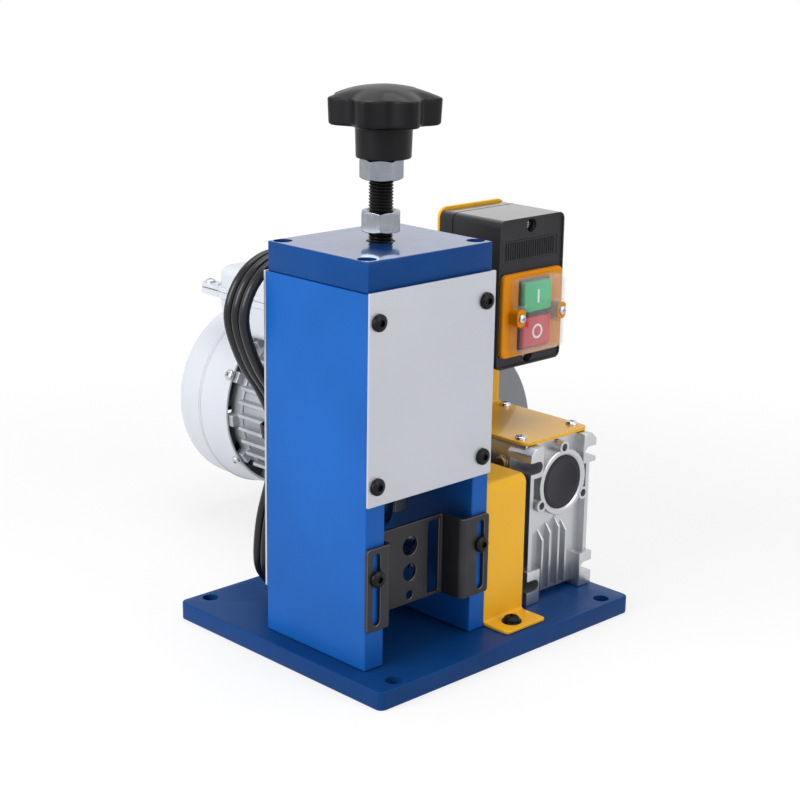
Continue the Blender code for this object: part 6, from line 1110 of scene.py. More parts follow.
GROWTHS: dict[Recess, Growth] = {}
BUTTON_SCREW = ScrewKind(Recess.HEXAGON, 0.0055, 0.0032, 0.55, 0.0023, 0.0017, 0.0024, 0.006)
CAP_SCREW = ScrewKind(Recess.HEXAGON, 0.0064, 0.0078, 0.08, 0.0034, 0.004, 0.0038, 0.010)
HEAD_SCREW = ScrewKind(Recess.HEXAGON, 0.0051, 0.0060, 0.08, 0.0028, 0.003, 0.0030, 0.010)
PAN_SCREW = ScrewKind(Recess.CROSS, 0.0042, 0.0026, 0.7, 0.0021, 0.0015, 0.0019, 0.005)
SMALL_SCREW = ScrewKind(Recess.CROSS, 0.0031, 0.0020, 0.7, 0.0016, 0.0012, 0.0012, 0.005)
GUARD_SCREW = ScrewKind(Recess.CROSS, 0.0055, 0.0034, 0.7, 0.0028, 0.0018, 0.0029, 0.008)

UP = Vector((0, 0, 1))
DOWN = Vector((0, 0, -1))
FORWARD = Vector((0, -1, 0))
BACKWARD = Vector((0, 1, 0))


@dataclass
class SubAssembly:
    """A group of pieces with its own sizes."""

    def build(self) -> None:
        """Makes and dresses the group's pieces."""
        raise NotImplementedError


@dataclass
class MainsCord(SubAssembly):
    """The lead from the switch box: its run, its hank with the band, and the plug.

    Attributes:
        diameter: The lead's diameter.
        route: Points of the run from the gland to the hank, as in the part's source.
        turns: Loops of the hank.
        bottom_x: Place of the hank's lower lobes.
        top: Place of its upper lobes.
        lobe: Radius of the lobes' middle line.
        waist: Half the hank's width at the band.
        pitch: Step from loop to loop.
        lean: How much further forward the hank starts at its foot.
        tail_bend: Radius of the bend before the plug.
        arc_steps: Chords of a lobe.
        side_steps: Chords of a side.
        tail_steps: Chords of the last bend.
        smooth_steps: Steps of the smooth line between two points.
        tail_length: How far the gland's tail hangs below its solid.
        gland: Radius, depth below the top and rounding of the gland's corners.
        gland_nut: Radius of its nut's corners, and the nut's low and high depth.
        tail: Radius and depth of the tail's first rib, its step and its taper.
        rib_depth: Depth of the grooves between ribs.
        plug_sections: Share of the plug's size and place of each of its sections.
        relief: Place, step and growth of the ribs of the plug's strain relief, and their number.
        pin: Radius, tip's rounding and place across of the plug's pins.
    """

    diameter: float = 0.007
    route: tuple[tuple[float, float, float], ...] = (
        (0.0575, 0.0170, 0.1597),
        (0.0575, 0.0170, 0.1527),
        (0.0564, 0.0173, 0.1447),
        (0.0532, 0.0182, 0.1377),
        (0.0483, 0.0200, 0.1316),
        (0.0430, 0.0218, 0.1277),
        (0.0380, 0.0240, 0.1245),
        (0.0335, 0.0260, 0.1185),
        (0.0298, 0.0280, 0.1085),
        (0.0265, 0.0296, 0.0960),
        (0.0235, 0.0302, 0.0840),
        (0.0195, 0.0304, 0.0720),
        (0.0140, 0.0308, 0.0600),
        (0.0070, 0.0322, 0.0490),
        (-0.0005, 0.0352, 0.0385),
        (-0.0085, 0.0398, 0.0290),
        (-0.0165, 0.0450, 0.0220),
        (-0.0245, 0.0490, 0.0178),
        (-0.0317, 0.0505, 0.0163),
        (-0.0387, 0.0505, 0.0163),
    )
    turns: int = 3
    bottom_x: float = -0.0460
    top: Plane = (-0.0815, 0.2245)
    lobe: float = 0.035
    waist: float = 0.009
    pitch: float = 0.0076
    lean: float = 0.025
    tail_bend: float = 0.028
    arc_steps: int = 6
    side_steps: int = 6
    tail_steps: int = 5
    smooth_steps: int = 5
    tail_length: float = 0.013
    gland: tuple[tuple[float, ...], ...] = (
        (0, 0),
        (0.0062, 0),
        (0.0062, 0.0020),
        (0.0054, 0.0024),
        (0.0054, 0.0030),
        (0.0064, 0.0034),
        (0.0064, 0.0070, 0.0006),
        (0.0052, 0.0082),
    )
    gland_nut: Triple = (0.0074, 0.0068, 0.0036)
    tail: tuple[float, ...] = (0.0050, 0.0090, 0.0022, 0.00013)
    rib_depth: float = 0.0007
    plug_sections: tuple[Plane, ...] = (
        *((0.42, 0.0), (0.72, 0.003), (0.94, 0.009)),
        *((1.0, 0.015), (1.0, 0.029), (0.95, 0.030)),
    )
    plug_start: float = 0.022
    relief: tuple[float, float, float, int] = (0.0012, 0.0034, 0.0004, 6)
    pin: Triple = (0.0024, 0.0012, 0.0095)

    def build(self) -> None:
        """Makes the lead from the gland to the plug, the band, the gland's tail and the plug."""
        lead = self.tube("mains_lead", [*(Vector(point) for point in self.route), *self.hank_points()])
        self.make_gland()
        plug = self.make_plug()
        band = add_piece("cord_band", Form().node("cord_tie"), FITTING_BLACK, "cord_tie", 0.0004)

    @staticmethod
    def length(piece: bpy.types.Object) -> float:
        """Length of a curve's line."""
        points = [Vector(point.co[:3]) for point in piece.data.splines[0].points]
        return sum((after - before).length for before, after in zip(points, points[1:]))

    def tube(self, name: str, points: Sequence[Vector]) -> bpy.types.Object:
        """Draws the lead through its points, as a curve of one open spline."""
        padded = [2 * points[0] - points[1], *points, 2 * points[-1] - points[-2]]
        fine = []
        for index in range(1, len(padded) - 2):
            p0, p1, p2, p3 = padded[index - 1 : index + 3]
            for step in range(self.smooth_steps):
                t = step / self.smooth_steps
                bend = (2 * p0 - 5 * p1 + 4 * p2 - p3) * t**2 + (3 * p1 - p0 - 3 * p2 + p3) * t**3
                fine.append((2 * p1 + (p2 - p0) * t + bend) / 2)
        fine.append(points[-1])
        curve = bpy.data.curves.new(name, "CURVE")
        curve.dimensions = "3D"
        curve.bevel_depth = self.diameter / 2
        curve.bevel_resolution = 6
        curve.use_fill_caps = True
        spline = curve.splines.new("POLY")
        spline.points.add(len(fine) - 1)
        for target, point in zip(spline.points, fine):
            target.co = (*point, 1.0)
        spline.use_smooth = True
        return add_piece(name, curve, SHEATH, "power_cord_run power_cord_hank")

    def hank_points(self) -> list[Vector]:
        """The hank's strand: loops side by side, then a bend towards the plug."""
        radius = self.diameter / 2
        plug = Extent.of("power_plug")
        bottom = Vector((self.bottom_x, plug.low.z + radius + self.lobe))
        top = Vector(self.top)
        along = (top - bottom).normalized()
        across = Vector((along.y, -along.x))
        start = math.degrees(math.atan2(along.y, along.x)) + 90
        length = (top - bottom).length
        half = self.arc_steps // 2
        loop = [(2 * bottom.x - x, z) for x, z in arc(bottom, self.lobe, -90, 180 - start, half)]
        side = []
        for step in range(1, self.side_steps):
            share = step / self.side_steps
            swell = (1 + math.cos(math.tau * share)) / 2
            side.append((share * length, self.waist + (self.lobe - self.waist) * swell))
        loop += [tuple(bottom + along * s - across * w) for s, w in side]
        loop += arc(top, self.lobe, start, start - 180, self.arc_steps)
        loop += [tuple(top - along * s + across * w) for s, w in side]
        loop += arc(bottom, self.lobe, start - 180, -90, half)[:-1]
        count = len(loop)
        last = self.turns * count - half
        wall = Extent.of("rear_cover_plate").high.y + GAP + radius - self.pitch / 2
        highest = top.y + self.lobe
        lowest = bottom.y - self.lobe

        def at(x: float, z: float, turn: float) -> Vector:
            """A point of the strand from its place in the loop's plane and its turn."""
            depth = wall + self.lean * (highest - z) / (highest - lowest) + self.pitch * turn
            return Vector((x, depth, z))

        points = [at(*loop[index % count], index / count) for index in range(last + 1)]
        heading = -along
        first = math.degrees(math.atan2(heading.y, heading.x))
        axis_z = (plug.low.z + plug.high.z) / 2
        spoke = Vector((-heading.y, heading.x)) * self.tail_bend
        drop = (points[-1].z + spoke.y - axis_z - self.tail_bend) / -heading.y
        begin = Vector((points[-1].x, points[-1].z)) + heading * drop
        bend = arc(begin + spoke, self.tail_bend, first - 90, -90, self.tail_steps)
        bend.append((bend[-1][0] + self.diameter, bend[-1][1]))
        return [*points, *(at(x, z, last / count) for x, z in bend)]

    def rib(self, radius: float, place: float, ends: Triple, way: int) -> list[Plane]:
        """One rib of a strain relief: its flat, its flank and the groove after it."""
        flat, flank, groove = ends
        inner = radius - self.rib_depth
        return stepped(((radius, 0), (radius, flat), (inner, flank), (inner, groove)), place, way)

    def make_gland(self) -> None:
        """Gland nut with a ribbed tapering tail over the lead's first stretch."""
        box = Extent.of("cord_gland")
        centre = box.centre(Axis.Z)
        top = box.high.z
        profile = filleted(stepped(self.gland, top, -1))
        radius, depth, step, taper = self.tail
        place = top - depth
        while place - step > box.low.z - self.tail_length:
            profile += self.rib(radius, place, (0.0012, 0.0014, 0.0020), -1)
            place -= step
            radius = max(radius - taper, self.diameter / 2 + 0.0008)
        profile += [(self.diameter / 2 + GAP, place), (0, place)]
        form = Form().turned(profile, Axis.Z, centre, BORE_SIDES)
        corner, low, high = self.gland_nut
        form.join(Form().prism(ring(corner, centre, 6), Axis.Z, top - low, top - high))
        add_piece("lead_gland", form, FITTING_BLACK, "cord_gland", 0.0002)

    def make_plug(self) -> bpy.types.Object:
        """Moulded plug with a ribbed strain relief and two pins."""
        box = Extent.of("power_plug")
        centre = (box.middle.y, (box.low.z + box.high.z) / 2)
        start = box.low.x
        body_start = start + self.plug_start
        pin_start = body_start + self.plug_sections[-1][1] - OVERRUN
        half = (box.high.y - box.low.y) / 2
        tall = (box.high.z - box.low.z) / 2
        sections = []
        for share, along in self.plug_sections:
            low = (centre[0] - half * share, centre[1] - tall * share)
            high = (centre[0] + half * share, centre[1] + tall * share)
            sections.append((rounded(low, high, tall * share * 0.55), body_start + along))
        plug = Form().loft(sections, Axis.X)
        relief = [(0, start), (self.diameter / 2 + 0.0005, start)]
        first, pitch, growth, count = self.relief
        for step in range(count):
            radius = self.diameter / 2 + 0.0008 + step * growth
            relief += self.rib(radius, start + first + step * pitch, (0.0020, 0.0023, 0.0031), 1)
        relief += stepped(((0.0062, 0), (0.0062, 0.003), (0, 0.003)), body_start)
        plug.join(Form().turned(relief, Axis.X, centre, BORE_SIDES))
        body = add_piece("mains_plug", plug, PLUG_BLACK, "power_plug", 0.0004)
        pins = Form()
        radius, tip, across = self.pin
        profile = filleted([(0, pin_start), (radius, pin_start), (radius, box.high.x, tip), (0, box.high.x)])
        for side in (-1, 1):
            pins.turned(profile, Axis.X, (centre[0] + side * across, centre[1]), 32)
        add_piece("plug_pins", pins, ZINC)
        return body


COLUMN_BOLTS: tuple[Plane, ...] = tuple((x, y) for x in (-0.098, -0.00425) for y in (-0.061, 0.016))


@dataclass
class BasePlate(SubAssembly):
    """The plate that everything stands on.

    Attributes:
        corner: Radius of its corners.
        edge: Rounding of its edges.
        hole: Radius of the bench holes.
        hole_inset: Their distance from the sides and from the ends.
        bore: Radius of the bores in its underside.
        seat: Height of the screws' seats above its underside.
        under_places: Places of those screws.
    """

    corner: float = 0.005
    edge: float = 0.0009
    hole: float = 0.0055
    hole_inset: Plane = (0.0195, 0.0095)
    bore: float = 0.0068
    seat: float = 0.0085
    under_places: tuple[Plane, ...] = (
        *COLUMN_BOLTS,
        *((x, y) for x in (0.0559, 0.1115) for y in (-0.0562, 0.0232)),
    )

    def build(self) -> None:
        """Makes the plate and the screws in its underside."""
        box = Extent.of("base_plate")
        low, high = box.low, box.high
        plate = Form().prism(box.outline(Axis.Z, self.corner), Axis.Z, low.z, high.z).eased(self.edge, 3)
        holes = Form()
        side, end = self.hole_inset
        for x in (low.x + side, high.x - side):
            for y in (low.y + end, high.y - end):
                holes.rod(self.hole, Axis.Z, (x, y), low.z - OVERRUN, high.z + OVERRUN)
        for place in self.under_places:
            holes.rod(self.bore, Axis.Z, place, low.z - OVERRUN, self.seat)
        # The slab takes a darker copy of the blue enamel as painted shade.
        add_piece("base_slab", plate.cut(holes), SHADED_SLAB_BLUE, "base_plate")
        seats = [(Vector((*place, self.seat)), DOWN) for place in self.under_places]
        CAP_SCREW.place("under_screws", BLACK_STEEL, seats, 3)


@dataclass
class Column(SubAssembly):
    """Two uprights, the top plate, and the thin covers with their screws.

    Attributes:
        edge: Rounding of the thick plates' edges.
        bolt_recess: Radius and depth of the recesses of the top plate's screws.
        tapped: Radius of the screw's hole, its mouth's radius and the mouth's depth.
        screw_lines: Places across of the two lines of cover screws.
        front_heights: Heights of the front cover's screws.
        rear_heights: Heights of the rear cover's screws.
        cover_corner: Radius of the covers' corners.
        cover_edge: Rounding of their edges.
        window: Left, low, right and high side of the rear cover's window.
        shaft: Radius, depth and height of the bore of the shaft's bearing.
        blind: How much narrower the left bore is, and its depth.
    """

    edge: float = 0.0008
    bolt_recess: Plane = (0.0060, 0.0085)
    tapped: Triple = (0.0082, 0.0094, 0.0012)
    screw_lines: Plane = (-0.099, -0.0055)
    front_heights: Plane = (0.1344, 0.2375)
    rear_heights: Plane = (0.055, 0.243)
    cover_corner: float = 0.0006
    cover_edge: float = 0.0003
    window: tuple[float, float, float, float] = (-0.0765, 0.0500, -0.0265, 0.1100)
    shaft: Triple = (0.0143, -0.0165, 0.0556)
    blind: Plane = (0.001, 0.0115)

    def build(self) -> None:
        """Makes the uprights, the top plate, the covers and the screws."""
        self.uprights()
        self.top_plate()
        self.covers()

    def uprights(self) -> None:
        """Makes the two side plates, bored for the shaft's bearings; the left bore is blind."""
        left, right = Extent.of("left_side_plate"), Extent.of("right_side_plate")
        narrower, depth = self.blind
        bores = (
            ("left", left, self.shaft[0] - narrower, left.high.x - depth),
            ("right", right, self.shaft[0], right.low.x - OVERRUN),
        )
        for hand, box, radius, start in bores:
            bore = Form().rod(radius, Axis.X, self.shaft[1:], start, box.high.x + OVERRUN)
            plate = Form().block(box.low, box.high).cut(bore)
            add_piece(f"{hand}_upright", plate, BLUE, f"{hand}_side_plate", self.edge, 3)

    def top_plate(self) -> None:
        """Makes the top plate with its tapped hole and sunk screws."""
        box = Extent.of("top_plate")
        low, high = box.low.z, box.high.z
        holes = Form()
        radius, depth = self.bolt_recess
        for place in COLUMN_BOLTS:
            holes.rod(radius, Axis.Z, place, high - depth, high + OVERRUN)
        inner, mouth, sink = self.tapped
        bore = [(inner, low - OVERRUN), (inner, high - sink), (mouth, high), (mouth, high + OVERRUN)]
        holes.turned(bore, Axis.Z, Extent.of("pressure_screw").centre(Axis.Z), BORE_SIDES)
        plate = Form().block(box.low, box.high).eased(self.edge, 3)
        # The head plate takes a darker copy of the blue enamel as painted shade.
        add_piece("head_plate", plate.cut(holes), SHADED_BLUE, "top_plate")
        seats = [(Vector((*place, high - depth)), UP) for place in COLUMN_BOLTS]
        HEAD_SCREW.place("head_screws", BLACK_STEEL, seats, 5)

    def covers(self) -> None:
        """Makes the two thin covers and their button screws."""
        front, rear = Extent.of("front_cover_plate"), Extent.of("rear_cover_plate")
        sheets = []
        for box in (front, rear):
            outline = box.outline(Axis.Y, self.cover_corner, 0.0, 3)
            sheets.append(Form().prism(outline, Axis.Y, box.low.y, box.high.y))
        add_piece("front_sheet", sheets[0], COVER_SHEET, "front_cover_plate", self.cover_edge)
        left, low, right, high = self.window
        opening = rounded((left, low), (right, high), OVERRUN, 4)
        sheets[1].cut(Form().prism(opening, Axis.Y, rear.low.y - OVERRUN, rear.high.y + OVERRUN))
        add_piece("rear_sheet", sheets[1], REAR_SHEET, "rear_cover_plate", self.cover_edge)
        seats = []
        for x in self.screw_lines:
            seats += [(Vector((x, front.low.y, z)), FORWARD) for z in self.front_heights]
            seats += [(Vector((x, rear.high.y, z)), BACKWARD) for z in self.rear_heights]
        BUTTON_SCREW.place("cover_screws", BLACK_STEEL, seats, 7)


@dataclass
class FeedGuide(SubAssembly):
    """Slotted black strip that guides the wire, and its two screws.

    Attributes:
        thickness: The strip's thickness.
        setback: How far its middle stands behind its tabs.
        bend: Middle radius of its bends.
        webs: Places across of its two webs.
        slot: Width of its slots.
        slot_margin: Their distance from its ends.
        corner: Radius of its corners.
        holes: Radius of each wire hole, from the top.
        shares: Height of each wire hole as a share of the strip's.
        window: Left, low, right and high side of the tall window.
        window_corner: Radius of its corners.
        edge: Rounding of its edges.
    """

    thickness: float = 0.0026
    setback: float = 0.019
    bend: float = 0.003
    webs: Plane = (-0.0867, -0.0216)
    slot: float = 0.0064
    slot_margin: float = 0.0035
    corner: float = 0.0025
    holes: Triple = (0.0065, 0.00575, 0.0029)
    shares: Triple = (0.72, 0.39, 0.105)
    window: tuple[float, float, float, float] = (-0.0353, 0.0419, -0.0253, 0.0921)
    window_corner: float = 0.0012
    edge: float = 0.00035

    def build(self) -> None:
        """Makes the strip and its screws."""
        box = Extent.of("feed_guide")
        tab = box.low.y + self.thickness / 2
        back = tab + self.setback
        left, right = self.webs
        path = ((box.low.x, tab), (left, tab), (left, back), (right, back), (right, tab), (box.high.x, tab))
        strip = Form().prism(bent_sheet(path, self.thickness, (self.bend,) * 4), Axis.Z, box.low.z, box.high.z)
        face = box.outline(Axis.Y, self.corner)
        strip.keep(Form().prism(face, Axis.Y, box.low.y - OVERRUN, box.high.y + OVERRUN))
        cuts = Form()
        screws = [Extent.of(node) for node in ("left_guide_screw", "right_guide_screw")]
        half = self.slot / 2
        for screw in screws:
            low = (screw.middle.x - half, box.low.z + self.slot_margin)
            high = (screw.middle.x + half, box.high.z - self.slot_margin)
            cuts.prism(rounded(low, high, half), Axis.Y, tab - self.thickness, tab + self.thickness)
        near, far = back - self.thickness, back + self.thickness
        centre = Extent.of("drive_roller").middle.x
        for radius, share in zip(self.holes, self.shares):
            cuts.rod(radius, Axis.Y, (centre, box.low.z + box.size.z * share), near, far)
        low_x, low_z, high_x, high_z = self.window
        cuts.prism(rounded((low_x, low_z), (high_x, high_z), self.window_corner), Axis.Y, near, far)
        strip.cut(cuts)
        # The strip's rounded edges take the paler edge finish, partly wear and partly a painted highlight.
        add_piece("guide_strip", strip, BLACK_STRIP, "feed_guide", self.edge, 2, PAINTED_EDGE_HIGHLIGHT, "guide")
        seats = [(Vector((s.middle.x, box.low.y - GAP, s.middle.z)), FORWARD) for s in screws]
        fixed = BUTTON_SCREW.place("guide_screws", BLACK_STEEL, seats, 9)
        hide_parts("left_guide_screw", "right_guide_screw")


@dataclass
class Adjuster(SubAssembly):
    """Pressure screw with its collar, the two nuts and the star knob.

    Attributes:
        pitch: Pitch of the thread.
        across_flats: Width of the nuts.
        radius: Radius of the thread.
        sink: Depth of the chamfers of the nuts' bores.
        collar: Radius, height and rounding of the collar.
        lobes: Lobes of the knob.
        valley: How far the rim is drawn in between the lobes.
        hub: Radius of the knob's hub.
        rim: Radius of its rim.
        hub_height: Height of its hub.
        rim_height: Height of its rim.
        bore_depth: Depth of its bore.
        dome_shares: Share of the rim's radius of each ring of its dome.
        grain: Longest chord of its outline, which gives the lobes their smooth shape.
    """

    pitch: float = 0.002
    across_flats: float = 0.024
    radius: float = 0.0079
    sink: float = 0.0014
    collar: Triple = (0.0105, 0.005, 0.0008)
    lobes: int = 7
    valley: float = 0.0075
    hub: float = 0.018
    rim: float = 0.0362
    hub_height: float = 0.020
    rim_height: float = 0.0175
    bore_depth: float = 0.024
    dome_shares: tuple[float, ...] = (0.88, 0.76, 0.64, 0.52, 0.4, 0.28, 0.16, 0.06)
    grain: float = 0.0016

    def build(self) -> None:
        """Makes the screw, the nuts and the knob."""
        self.screw()
        self.nut("lock_nut", "jam_nut", "lock_nut", 45)
        self.nut("knob_nut", "hub_nut", "knob", 15)
        self.knob()

    def screw(self) -> None:
        """Makes the threaded rod and its collar."""
        box = Extent.of("pressure_screw")
        centre = box.centre(Axis.Z)
        low = box.low.z
        radius, height, rounding = self.collar
        top = low + height
        values = {"Radius": self.radius, "Pitch": self.pitch, "Length": box.high.z - top, "Steps": 36}
        thread = thread_growth().grow(BLACK_STEEL, values)
        thread.transform(Matrix.Translation((*centre, top)))
        add_piece("screw_thread", thread, BLACK_STEEL, "pressure_screw", body="knob")
        root = self.radius - OVERLAP
        profile = [(0, low), (radius, low, rounding), (radius, top, rounding), (root, top)]
        profile += [(root, top + 0.003), (0, top + 0.003)]
        add_piece("screw_collar", Form().turned(filleted(profile), Axis.Z, centre), STEEL, body="knob")

    def nut(self, node: str, name: str, body: str, start: float) -> None:
        """Makes a chamfered hexagon nut for a node on a body, its first corner at an angle in degrees."""
        box = Extent.of(node)
        centre = box.centre(Axis.Z)
        corner = self.across_flats / math.sqrt(3)
        flat = self.across_flats / 2 * 0.97
        fall = (corner - flat) * 0.55
        low, high = box.low.z, box.high.z
        nut = Form().prism(ring(corner, centre, 6, start), Axis.Z, low, high)
        lens = [(0, low), (flat, low), (corner + GAP, low + fall), (corner + GAP, high - fall), (flat, high), (0, high)]
        nut.keep(Form().turned(lens, Axis.Z, centre))
        inner = self.radius + GAP
        mouth = inner + self.sink
        bore = [(mouth, low - OVERRUN), (mouth, low), (inner, low + self.sink), (inner, high - self.sink)]
        bore += [(mouth, high), (mouth, high + OVERRUN)]
        nut.cut(Form().turned(bore, Axis.Z, centre))
        add_piece(name, nut, NUT_ZINC, node, 0.0002, body=body)

    def knob(self) -> None:
        """Makes the star knob with its hub and domed top."""
        box = Extent.of("star_knob")
        low, high = box.low.z, box.high.z
        rim_low = low + self.hub_height
        rim_high = rim_low + self.rim_height
        bore = self.radius + GAP
        rise = high - rim_high
        corners = [
            *((0, low + self.bore_depth), (bore, low + self.bore_depth)),
            *((bore, low + 0.0008), (bore + 0.0008, low), (self.hub - 0.0006, low, 0.0009)),
            *((self.hub, rim_low - 0.0002, 0.0022), (self.rim - 0.0008, rim_low + 0.0012, 0.0022)),
            (self.rim, rim_high, 0.0013),
            *((self.rim * share, high - rise * share**2) for share in self.dome_shares),
            (0, high),
        ]
        outline = filleted(corners, BEND_STEPS)
        fine: list[Plane] = []
        for first, second in zip(outline, outline[1:]):
            steps = max(1, math.ceil(math.dist(first, second) / self.grain))
            way = (second[0] - first[0], second[1] - first[1])
            fine += [(first[0] + way[0] * s / steps, first[1] + way[1] * s / steps) for s in range(steps)]
        fine.append(outline[-1])
        blank = Form().turned([(max(r, 0), z) for r, z in fine], Axis.Z, (0, 0), 24 * self.lobes)
        values = {"Lobes": self.lobes, "Depth": self.valley, "Inner": self.hub + OVERLAP, "Outer": self.rim}
        star = star_growth().grow(KNOB_BLACK, values, blank.data("blank"))
        star.transform(Matrix.Translation((box.middle.x, Extent.of("pressure_screw").middle.y, 0)))
        add_piece("star_handle", star, KNOB_BLACK, "star_knob", body="knob")


@dataclass
class CuttingHead(SubAssembly):
    """Carriage, blade and pin, rails, feed roller and drive shaft.

    Attributes:
        blade: Radius, thickness and bevel of the blade.
        hub: Radius of the blade's hub.
        pin_bore: Radius of its bore.
        pin: Radius of the pin's head and of the pin, and the head's thickness.
        teeth: Teeth of the roller.
        tooth: Depth of a tooth.
        shaft: Radius of the shaft and of its journal.
        end_rounding: Rounding of the ends of the pin and the shaft.
        edge: Rounding of the blocks' edges.
    """

    blade: Triple = (0.022, 0.003, 0.004)
    hub: float = 0.009
    pin_bore: float = 0.0053
    pin: Triple = (0.0075, 0.005, 0.003)
    teeth: int = 24
    tooth: float = 0.0008
    shaft: Plane = (0.009, 0.0075)
    end_rounding: float = 0.0006
    edge: float = 0.0004

    def build(self) -> None:
        """Makes the blocks, the blade, the roller and the shaft."""
        blocks = (
            ("blade_carriage", "slide_block", "carriage"),
            ("carriage_cap", "slide_cap", "carriage"),
            ("left_carriage_rail", "left_rail", "frame"),
            ("right_carriage_rail", "right_rail", "frame"),
        )
        for node, name, body in blocks:
            add_piece(name, Form().node(node), GROUND, node, self.edge, body=body)
        self.wheel()
        self.roller()

    def bar(self, box: Extent, centre: Plane, first: float, second: float, step: float) -> Form:
        """A bar along X whose radius changes at a step."""
        low, high, end = box.low.x, box.high.x, self.end_rounding
        corners = [(0, low), (first, low, end), (first, step), (second, step), (second, high, end), (0, high)]
        return Form().turned(filleted(corners), Axis.X, centre)

    def wheel(self) -> None:
        """Makes the round blade and its pin."""
        box = Extent.of("blade_wheel")
        centre = box.centre(Axis.X)
        radius, thickness, bevel = self.blade
        half, side = box.size.x / 2, thickness / 2
        left = ((self.pin_bore, half), (self.hub, half), (self.hub, side), (radius - bevel, side))
        outline = stepped(left, box.middle.x, -1) + [(radius, box.middle.x)] + stepped(left[::-1], box.middle.x)
        colour = (0.58, 0.59, 0.61)
        steel = Turned("blade_steel", "machined_steel", colour, 0.22, centre=tuple(box.middle), across=(0, 1, 1))
        wheel = Form().turned(outline, Axis.X, centre, ROUND_SIDES, True)
        add_piece("round_blade", wheel, steel, "blade_wheel", body="blade")
        head, shank, thickness = self.pin
        pin = Extent.of("blade_axle")
        form = self.bar(pin, centre, head, shank, pin.low.x + thickness)
        add_piece("blade_pin", form, steel, "blade_axle", body="carriage")

    def roller(self) -> None:
        """Makes the toothed feed roller and the shaft that it is fixed to."""
        box = Extent.of("drive_roller")
        centre = box.centre(Axis.X)
        outline = []
        for index in range(self.teeth * 4):
            angle = math.tau * index / (self.teeth * 4)
            reach = box.size.z / 2 - self.tooth * (0, 0.5, 1, 0.5)[index % 4]
            outline.append((centre[0] + reach * math.cos(angle), centre[1] + reach * math.sin(angle)))
        wheel = Form().prism(outline, Axis.X, box.low.x, box.high.x)
        shaft, journal = self.shaft
        wheel.cut(Form().rod(shaft + GAP, Axis.X, centre, box.low.x - OVERRUN, box.high.x + OVERRUN))
        colour = (0.42, 0.43, 0.45)
        steel = Turned("roller_steel", "machined_steel", colour, 0.30, centre=tuple(box.middle), across=(0, 1, 1))
        add_piece("toothed_roller", wheel, steel, "drive_roller", 0.0002, body="drive")
        form = self.bar(Extent.of("drive_shaft"), centre, journal, shaft, Extent.of("left_side_plate").high.x)
        add_piece("cross_shaft", form, steel, "drive_shaft", body="drive")


